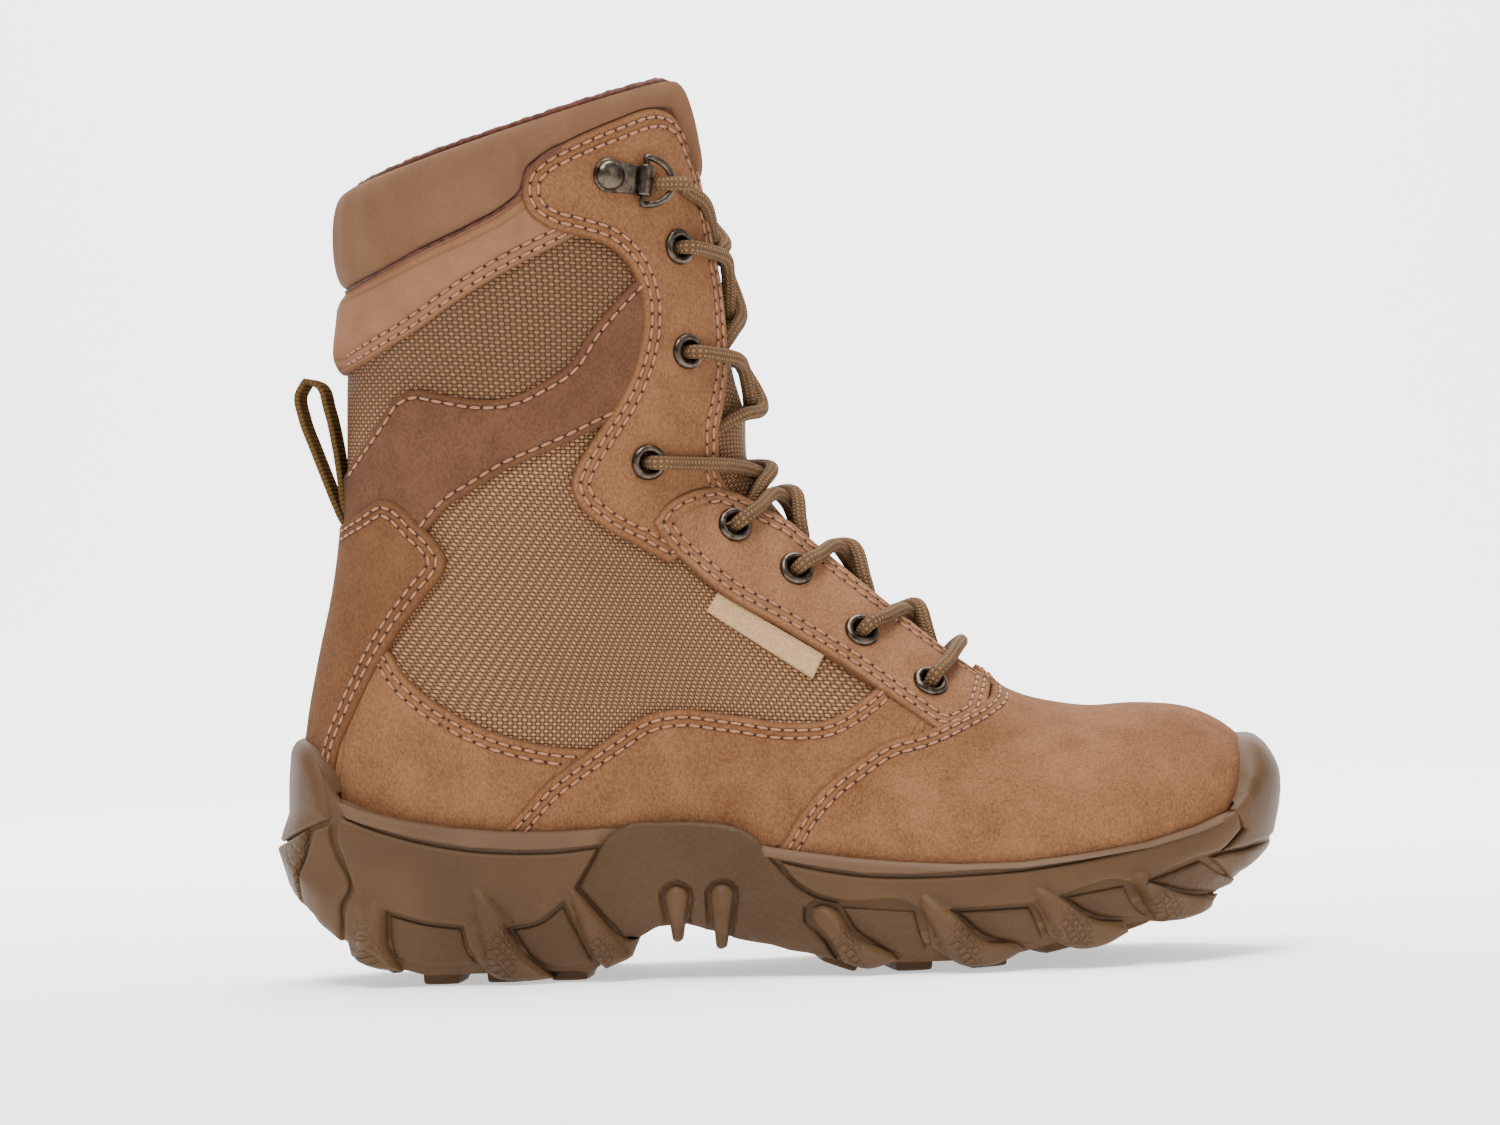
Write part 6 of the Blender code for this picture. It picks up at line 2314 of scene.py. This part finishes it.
    def outsole(self) -> None:
        """Core, fields, ribs, wraps and lugs."""
        draft = Draft("outsole_cup")
        self.core(draft)
        for side in Side:
            for table in (HEEL_COMB, FORE_COMB, FIN_A):
                run = self.wall.from_side(edge_line(shrunk(table, 0.5), 0.8, True, 38.0), side)
                draft.add_panel(self.field_panel(run, 0.15, True, 1.1), 0, 0.0, self.knurl)
            run = self.wall.from_side(edge_line(shrunk(SADDLE, 0.5), 0.8, True, 38.0), side)
            draft.add_panel(Panel(self.wall, [Run(run)], self.saddle, self.depth, 0.8, FIELD_RINGS), 0, 1.0)
            for table in FIELDS:
                run = self.wall.from_side(edge_line(shrunk(table, 0.6), 0.8, True, 35.0), side)
                draft.add_panel(self.field_panel(run, -0.7), 0, 0.6)
            for table in RIBS:
                run = self.wall.from_side(self.rib_line(table, 0.0), side)
                draft.add_panel(Panel(self.wall, [Run(run)], self.rib, -4.0, 1.0, FIELD_RINGS))
        for table, knurled in ((TOE_GUARD, 0.0), (TOE_BLOCK, 0.0), (HEEL_WRAP, 0.0), (HEEL_BACK, 1.0)):
            draft.add_panel(self.wrap(table), 0, 0.2, lambda p, k=knurled: np.full(len(p), k))
        for side in Side:
            line = edge_line(shrunk(HEEL_SIDE, 0.4), 0.8, True, 40.0)
            run = columns(self.wall.station(line[:, 0], side), line[:, 1])
            draft.add_panel(self.field_panel(run, 0.0))
        self.hand_over(draft.build([self.finishes.rubber]), Slot.RUBBER, "outsole")
        self.hand_over(self.lugs(), Slot.RUBBER)

    def wrap(self, table: Sequence) -> Panel:
        """A field round the toe or the heel from its half table.

        Args:
            table: Edge of one half from the side.

        Returns:
            The panel.
        """
        line = edge_line(table, 0.8, False, 40.0)
        halves = []
        for side in Side:
            u = self.wall.station(line[:, 0], side)
            if table[0][0] < 0 and side is Side.MEDIAL:
                u = u - self.wall.total
            halves.append(columns(u, line[:, 1]))
        loop = np.concatenate([halves[0], halves[1][::-1][1:-1]])
        return self.field_panel(loop, 0.1)

    def core(self, draft: Draft) -> None:
        """The body behind the fields: the floor of the grooves, top ledge and underside.

        Args:
            draft: Mesh it goes into.
        """
        wall = self.wall

        def top(x: Array) -> Array:
            """Height of the ledge."""
            cup, lip = wall.line(CUP_TOP, x) - 0.9, wall.line(LIP_TOP, x) - 1.0
            return np.where(x > 121, np.minimum(cup, lip), cup)

        def low(x: Array) -> Array:
            """Height of the underside."""
            return wall.base(x) - wall.line(LUG_DEPTH, x) * (0.25 + 0.75 * ease((x - 95) / 20))

        def level(inset: float, height: Callable) -> tuple[Callable, Callable]:
            """A ring set in from the wall at a height."""
            return lambda x: wall.margin(x, height(x)) - inset, height

        heights = [lambda x, f=f: low(x) + (top(x) - low(x)) * f for f in np.linspace(1, 0, 15)]
        ledge = level(3.4, top)
        self.stack(draft, [(ledge[0], lambda x: low(x) + 2.0), ledge]
                   + [level(2.0, height) for height in heights])

    def lugs(self) -> bpy.types.Object:
        """The tread blocks under the sole.

        Returns:
            The piece.
        """
        shape = Draft("lug")
        rings = ((0.0, 0.40), (0.06, 0.455), (0.16, 0.475), (1.0, 0.5))
        points = []
        for height, half in rings:
            for turn in range(16):
                a = 2 * math.pi * turn / 16
                c, s = math.cos(a), math.sin(a)
                k = (abs(c) ** 8 + abs(s) ** 8) ** (-1 / 8)
                points.append((half * c * k, half * s * k, height))
        faces = grid_faces(4, 16, ring=True) + [tuple(range(15, -1, -1)), tuple(range(48, 64))]
        shape.add(np.array(points), faces)
        wall = self.wall
        frames, sizes = [], []
        for first, last, count in (HEEL_LUGS, FORE_LUGS):
            for x in np.linspace(first, last, count):
                left, right = (np.interp(wall.station(x, side), wall.u, wall.xy[:, 1]) for side in Side)
                middle, reach = (left + right) / 2, (right - left) / 2 + 3.5
                slope = wall.line(TREAD, x + 4) - wall.line(TREAD, x - 4)
                height = max(wall.line(TREAD, x), 0.05 + 0.75 * abs(slope))
                up = np.array((-slope / 8, 0, 1.0))
                for low, high in LUG_BANDS:
                    sign = Side.LATERAL if low < 0 else Side.MEDIAL
                    way = np.array((1.0, (0.12 if first > 0 else -0.08) * -sign, slope / 8))
                    place = (x, middle + (low + high) / 2 * reach, height)
                    frames.append(np.concatenate([place, way, up]))
                    sizes.append((12.0, (high - low) * reach, wall.line(LUG_DEPTH, x) + 1.4))
        return self.scatter.spread("tread_lugs", shape, np.array(frames), self.finishes.rubber,
                                   np.array(sizes))

    def stack(self, draft: Draft, levels: Sequence[tuple[Callable, Callable]]) -> None:
        """Add a solid from rings round the feather edge; a level is margin and height by x.

        Args:
            draft: Mesh it goes into.
            levels: The rings in order.
        """
        count = 260
        rings = []
        for margin, height in levels:
            for side in Side:
                u = np.linspace(0, self.wall.length[side], count) * side
                xy, out = self.wall.feather(u)
                flat = xy + out * margin(xy[:, 0])[:, None]
                rings.append(np.concatenate([flat, height(xy[:, 0])[:, None]], axis=1))
        points = np.concatenate(rings)
        faces = []
        for level in range(len(levels) - 1):
            for k in (0, 1):
                a = (2 * level + k) * count
                b = a + 2 * count
                quads = [(a + i, a + i + 1, b + i + 1, b + i) for i in range(count - 1)]
                faces += quads if k == 0 else [q[::-1] for q in quads]
        for level, flip in ((0, True), (len(levels) - 1, False)):
            a = 2 * level * count
            quads = [(a + i, a + i + 1, a + count + i + 1, a + count + i) for i in range(count - 1)]
            faces += [q[::-1] for q in quads] if flip else quads
        draft.add(points, faces)

    def lip(self) -> None:
        """The midsole with the lip that stands round the upper."""
        wall = self.wall

        def wide(x: Array, side: float) -> Array:
            """Margin of the lip, narrow where the cup covers it."""
            shown = ease((wall.line(LIP_TOP, x) - wall.line(CUP_TOP, x)) / 1.6) * ease((130 - x) / 7)
            return wall.ends(x, 5.3 + (side - 5.3) * shown, 4.9, 5.1)

        def height(x: Array, drop: float) -> Array:
            """A height below the lip's top."""
            return wall.line(LIP_TOP, x) - drop

        def groove(x: Array, rise: float) -> Array:
            """A height above the groove under the lip."""
            return np.minimum(wall.line(GROOVE, x) + rise, wall.line(LIP_TOP, x) - 1.6)

        levels = [(lambda x: np.full(len(x), 2.2), wall.floor),
                  (lambda x: wall.line(HEEL_SEAT, x), lambda x: height(x, 0.9))]
        for margin, drop in ((3.2, 0.2), (5.2, 0.0), (6.3, 0.35), (7.2, 1.2)):
            levels.append((lambda x, m=margin: wide(x, m), lambda x, d=drop: height(x, d)))
        for margin, rise in ((7.5, 0.9), (7.2, 0.5), (5.4, 0.2)):
            levels.append((lambda x, m=margin: wide(x, m), lambda x, r=rise: groove(x, r)))
        levels.append((lambda x: wall.ends(x, 5.0, 4.6, 4.6),
                       lambda x: np.minimum(wall.base(x) + 4.3, wall.floor(x) - 2)))
        draft = Draft("midsole_lip")
        self.stack(draft, levels)
        self.hand_over(draft.build([self.finishes.foam]), Slot.FOAM, "midsole")

    def footbed(self) -> None:
        """The loose insole."""
        wall = self.wall
        levels = []
        for inset, rise in ((17.4, 3.7), (4.4, 4.0), (3.4, 3.0), (3.4, 0.3)):
            levels.append((lambda x, i=inset: wall.ends(x, -i, -i, -i - 3.8),
                           lambda x, r=rise: wall.floor(x) + r))
        draft = Draft("footbed")
        self.stack(draft, levels)
        self.hand_over(draft.build([self.finishes.insole]), Slot.LINING, "insole")


def facing_top(number: int) -> float:
    """Height of the facing that carries an eyelet."""
    return LOWER_FACING if number < LOWER_COUNT else UPPER_FACING


@dataclass
class Lacing(Assembly):
    """Eyelets, top rings and the lace."""

    def build(self) -> None:
        """Make the metal parts and the lace."""
        self.eyelets()
        for side in Side:
            self.ring(side)
        self.lace()

    def eyelets(self) -> None:
        """Rolled eyelets with a broad flange and a raised lip at the bore."""
        shape = Draft("eyelet")
        profile = [(3.0, -5.0), (2.95, 0.4), (3.1, 0.9), (3.45, 1.25), (3.9, 1.4), (4.4, 1.3), (4.9, 1.0),
                   (5.2, 0.5), (5.3, 0.0), (5.2, -0.25), (3.7, -0.25), (3.6, -4.4), (4.6, -4.6), (4.6, -5.0)]
        add_turned(shape, profile[::-1], 36)
        frames = []
        for side in Side:
            for number, (x, z) in enumerate(EYELETS):
                _, centre, axis = self.last.axis(x, z, side)
                way = np.cross(axis, (0, 1, 0.3))
                frames.append(np.concatenate([centre + axis * facing_top(number), unit(way), axis]))
        piece = self.scatter.spread("eyelets", shape, np.array(frames), self.finishes.metal)
        self.hand_over(piece, Slot.METAL,
                       *(f"eyelet_{s.word}_{i + 1}" for s in Side for i in range(len(EYELETS))))

    def clip_frame(self, side: Side) -> tuple[Array, Array, Array, Array]:
        """Centre of the clip on the facing, and its front, up and outward ways.

        Args:
            side: Side of the boot.

        Returns:
            The centre and three ways of length one.
        """
        _, centre, out = self.last.axis(*CLIP_AT, side)
        up = np.array((0.18, 0, 1.0))
        up = unit(up - out * (up @ out))
        front = np.cross(up, out)
        return centre + out * 2.1, front * math.copysign(1, front[0]), up, out

    def ring(self, side: Side) -> None:
        """Clip plate with its barrel, rivet dome and lace ring.

        Args:
            side: Side of the boot.
        """
        centre, front, up, out = self.clip_frame(side)
        half = CLIP_LENGTH / 2
        barrel = centre + front * (half + 0.8) + out * 2.0

        def place(a: Array, b: Array, c: Array) -> Array:
            """Points in the clip's own frame."""
            return centre + np.outer(a, front) + np.outer(b, up) + np.outer(c, out)

        turn = np.linspace(math.pi * 0.5, math.pi * 1.5, 25)
        shape = [(-2.9 + 5.0 * math.cos(t), 5.0 * math.sin(t)) for t in turn]
        shape += [(half - 3.5, -4.3), (half + 0.6, -4.4), (half + 0.6, 4.4), (half - 3.5, 4.3)]
        outline = np.array(shape)
        middle = outline.mean(0)
        layers = ((1.0, 0.0), (1.0, 0.7), (0.93, 1.05), (0.8, 1.15))
        rings = [place(*((middle + (outline - middle) * k).T), np.full(len(outline), h)) for k, h in layers]
        n = len(outline)
        faces = grid_faces(len(layers), n, ring=True)
        faces += [tuple(range(n))[::-1], tuple((len(layers) - 1) * n + i for i in range(n))]
        clip = Draft(f"clip_plate_{side.word}")
        wind = 1 if float(np.cross(front, up) @ out) > 0 else -1
        clip.add(np.concatenate(rings), faces if wind > 0 else [f[::-1] for f in faces])
        hollow = [(1.25, -4.4), (2.05, -4.4), (2.25, -4.1), (2.25, 4.1), (2.05, 4.4), (1.25, 4.4)]
        add_turned(clip, hollow, 24, 0, barrel, up)
        self.hand_over(clip.build([self.finishes.metal], 30), Slot.METAL, f"ring_clip_{side.word}")
        rivet = Draft(f"rivet_dome_{side.word}")
        dome = [(0.0, 0.9), (4.5, 0.9), (4.45, 1.5), (4.0, 2.15), (3.2, 2.7), (2.0, 3.1), (0.9, 3.25),
                (0.0, 3.3)]
        add_turned(rivet, dome, 32, 0, centre - front * 2.9, out)
        self.hand_over(rivet.build([self.finishes.metal]), Slot.METAL, f"ring_rivet_{side.word}")
        reach, tall = RING_SIZE
        path = []
        for a in np.linspace(-math.pi / 2, math.pi / 2, 13):
            path.append(barrel + front * reach * math.cos(a) + up * (tall / 2) * math.sin(a)
                        + out * 0.9 * math.cos(a))
        path += [barrel + up * tall / 2 * f for f in (0.6, 0.2, -0.2, -0.6)]
        ring = Draft(f"lace_ring_wire_{side.word}")
        add_tube(ring, np.array(path), RING_WIRE, 12, closed=True, spacing=0.7)
        self.hand_over(ring.build([self.finishes.metal]), Slot.METAL, f"lace_ring_{side.word}")

    def spot(self, w: float, side: Side, span: float, lift: float) -> Array:
        """A point by row, distance round the section from the ridge, and lift."""
        q = np.array([self.last.span_share(w, side, max(span, 0.01))])
        return self.last.place(np.array([w]), q, lift)[0]

    def stop(self, number: int, side: Side) -> tuple[float, float]:
        """Row of an eyelet and its distance round the section from the ridge."""
        where, _, _ = self.last.axis(*EYELETS[number], side)
        return where[0], abs(where[1]) * float(np.interp(where[0], self.last.rows, self.last.girth[side]))

    def way(self, number: int, side: Side) -> list[Array]:
        """Points over the facing towards an eyelet, or the ring after the last.

        Args:
            number: Place of the eyelet, from the toe.
            side: Side of the boot.

        Returns:
            The points.
        """
        x, z = EYELETS[number] if number < len(EYELETS) else RING_AT
        table = np.array(LACE_WAY[number])
        where = self.last.from_side(table[:, :2] + (x, z), side, False)
        return list(self.last.place(*where.T, table[:, 2] + facing_top(number) + LACE_RADIUS))

    def into(self, number: int, side: Side) -> list[Array]:
        """Points of a strand's end: over the facing, over the flange and down the hole.

        Args:
            number: Place of the eyelet, from the toe.
            side: Side of the boot.

        Returns:
            The points.
        """
        top = facing_top(number)
        _, centre, axis = self.last.axis(*EYELETS[number], side)
        path = self.way(number, side)
        ahead = path[-1] - centre
        ahead = unit(ahead - axis * (ahead @ axis))
        steps = ((4.0, top + LACE_RADIUS + 0.6), (1.9, top + 2.2), (0.7, top - 0.4), (0.2, -4.2))
        return path + [centre + ahead * reach + axis * lift for reach, lift in steps]

    def lace(self) -> None:
        """The bar, the crossings through the eyelets, and the ends at the rings."""
        draft = Draft("lace_cord")
        w, reach = self.stop(0, Side.LATERAL)
        bar = self.into(0, Side.LATERAL)[::-1]
        for side, f in ((Side.LATERAL, 0.4), (Side.LATERAL, 0.0), (Side.MEDIAL, 0.4)):
            bar.append(self.spot(w, side, f * reach, facing_top(0) + LACE_RADIUS + 0.4 - f))
        bar += self.into(0, Side.MEDIAL)
        add_tube(draft, np.array(bar), LACE_RADIUS)
        for number in range(len(EYELETS)):
            for side in Side:
                add_tube(draft, self.crossing(number, side), LACE_RADIUS)
        nodes = ["lace_bar"] + [f"lace_cross_{i + 1}" for i in range(len(EYELETS))]
        self.hand_over(draft.build([self.finishes.cord]), Slot.CORD, *nodes)

    def crossing(self, number: int, side: Side) -> Array:
        """One strand: from under a facing over the tongue to the next hole of the other side.

        Args:
            number: Row it starts from.
            side: Side it starts from.

        Returns:
            Points of its path.
        """
        other = Side(-side)
        w0, _ = self.stop(number, side)
        high = number == len(EYELETS) - 1
        middle = LACE_RIDGE[number]

        def over(w: float, reach: float, at: Side, lift: float) -> Array:
            """A point at a row and a distance from the throat's edge."""
            return self.spot(w, at, float(throat_half(w)) + reach, lift)

        on_tongue = TONGUE_LIFT + float(self.last.tongue_swell(middle)) + LACE_RADIUS
        above = 1.8 * LACE_RADIUS if side is Side.LATERAL else 0.0
        crossing = max(on_tongue, 0.9 if number < LOWER_COUNT - 1 else -1.4) + above
        first = w0 + 0.2 * (middle - w0) - (0.0 if number < LOWER_COUNT else 0.6)
        half = 0.5 * float(throat_half(first))
        path = [over(first, 4.5, side, -4.6), over(first, -0.6, side, -2.6),
                self.spot((first + middle) / 2, side, half, 0.5 * (crossing - 1.6)),
                self.spot(middle, side, 0.0, crossing)]
        if not high:
            return np.array(path + self.into(number + 1, other))
        centre, front, up, out = self.clip_frame(other)
        ring = centre + front * (CLIP_LENGTH / 2 + 0.8 + RING_SIZE[0])
        path += self.way(number + 1, other)
        path += [ring + front * 3.0 + up * 0.6 + out * 4.4, ring - front * 2.6 + out * 2.6,
                 ring - front * 4.4 + out * 0.6]
        return np.array(path)


@dataclass
class PullLoop(Assembly):
    """The webbing loop at the back seam."""

    def build(self) -> None:
        """Make the loop with eased edges."""
        path = edge_line(LOOP_PATH, 0.8, False, 80.0)
        step = np.gradient(path, axis=0)
        away = unit(columns(-step[:, 1], step[:, 0]))
        run = run_of(path)
        half, thick = LOOP_WIDTH / 2, LOOP_WALL / 2
        section = [(-half + 0.4, -thick), (half - 0.4, -thick), (half, -thick * 0.4), (half, thick * 0.4),
                   (half - 0.4, thick), (-half + 0.4, thick), (-half, thick * 0.4), (-half, -thick * 0.4)]
        points, n = [], len(section)
        for p, a in zip(path, away):
            points += [(p[0] + a[0] * c + LOOP_TWIST * y, y, p[1] + a[1] * c) for y, c in section]
        faces = grid_faces(len(path), n, ring=True) + [tuple(range(n))[::-1],
                                                     tuple((len(path) - 1) * n + i for i in range(n))]
        laid = np.array([(section[i % n][0], run[i // n]) for i in range(len(points))])
        draft = Draft("pull_loop_webbing")
        draft.add(np.array(points), faces, laid=laid)
        self.hand_over(draft.build([self.finishes.webbing], 40), Slot.WEBBING, "pull_loop")


@dataclass
class Stitching(Assembly):
    """The thread of all seams, and dark discs painted as the shade in their needle holes."""

    def build(self) -> None:
        """Repeat one stitch, and one dark disc as painted shade of a needle hole, along the gathered rows.
        """
        kinds = (("stitches", self.seam.stitches, (1.70, 0.44, 0.40), self.finishes.thread),
                 ("needle_holes", self.seam.holes, (0.44, 0.46, 0.16), self.finishes.needle))
        for name, rows, size, finish in kinds:
            shape = Draft(name + "_shape")
            bead = [(0.0, -1.0), (0.62, -0.78), (0.95, -0.3), (0.95, 0.3), (0.62, 0.78), (0.0, 1.0)]
            add_turned(shape, bead, 8, 0, np.zeros(3), np.array((1.0, 0, 0)))
            shape.points = [p * size for p in shape.points]
            frames = np.concatenate(rows)
            self.hand_over(self.scatter.spread(name, shape, frames, finish), Slot.SUEDE)


class Studio:
    """Pale sweep, soft lights and the camera."""

    def build(self) -> None:
        """Make the surroundings."""
        self.sweep()
        self.light("key", (-0.5, -1.1, 2.1), (0.0, 0.0, 0.10), 0.9, 58.0)
        self.light("fill", (1.4, -1.3, 0.9), (0.0, 0.0, 0.10), 1.2, 8.0)
        self.light("top", (0.15, 0.2, 2.0), (0.0, 0.0, 0.05), 1.0, 52.0)
        self.light("back", (0.0, 1.0, 1.6), (0.0, 2.4, 0.3), 1.6, 70.0)
        world = bpy.context.scene.world or bpy.data.worlds.new("studio")
        bpy.context.scene.world = world
        world.use_nodes = True
        shade = world.node_tree.nodes.get("Background")
        shade.inputs["Color"].default_value = (1.0, 1.0, 1.0, 1.0)
        shade.inputs["Strength"].default_value = 0.35
        lens = bpy.data.cameras.new("camera")
        lens.sensor_width = 36.0
        lens.lens = 36.0 * 6063 / 1500
        lens.clip_end = 50.0
        lens.dof.use_dof = False
        camera = linked("camera", lens)
        camera.location = (-0.0064, -1.79785, 0.1201)
        camera.rotation_euler = (math.pi / 2, math.radians(2.0), 0.0)
        bpy.context.scene.camera = camera

    def sweep(self) -> None:
        """A floor that turns up into a backdrop."""
        profile = [(-4.0, 0.0), (0.0, 0.0), (1.6, 0.0)]
        profile += [(1.6 + 0.8 * math.sin(a), 0.8 - 0.8 * math.cos(a))
                    for a in np.linspace(0.1, math.pi / 2, 12)]
        profile.append((2.4, 4.0))
        points = [(x, y, z) for y, z in profile for x in (-5.0, 5.0)]
        mesh = bpy.data.meshes.new("floor")
        mesh.from_pydata(points, [],
                         [(2 * i, 2 * i + 1, 2 * i + 3, 2 * i + 2) for i in range(len(profile) - 1)])
        mesh.shade_smooth()
        g = Graph("floor")
        tone = g.noise(g.millimetres(), 0.002, 2.0)
        pale = g.mix(tone, (0.93, 0.93, 0.93), (0.96, 0.96, 0.96))
        mesh.materials.append(g.finish(pale, 0.85, glow=0.7))
        floor = linked("floor", mesh)

    def light(self, name: str, place: Colour, aim: Colour, size: float, power: float) -> None:
        """A square soft light.

        Args:
            name: Its name.
            place: Where it stands.
            aim: The point it faces.
            size: Length of its edge.
            power: Its power.
        """
        lamp = bpy.data.lights.new(name, "AREA")
        lamp.energy = power
        lamp.size = size
        made = linked(name, lamp)
        made.location = place
        way = Vector(aim) - Vector(place)
        made.rotation_euler = way.to_track_quat("-Z", "Y").to_euler()


def main() -> None:
    """Load the frame, build the looks round it and log each piece's face count."""
    logging.basicConfig(level=logging.INFO, format="%(name)s: %(message)s")
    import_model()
    shared = (Last(), Finishes(), Scatter(), Seam())
    for kind in (Shell, Overlays, Collar, Sole, Lacing, PullLoop, Stitching):
        kind(*shared).build()
    Studio().build()


if __name__ == "__main__":
    main()
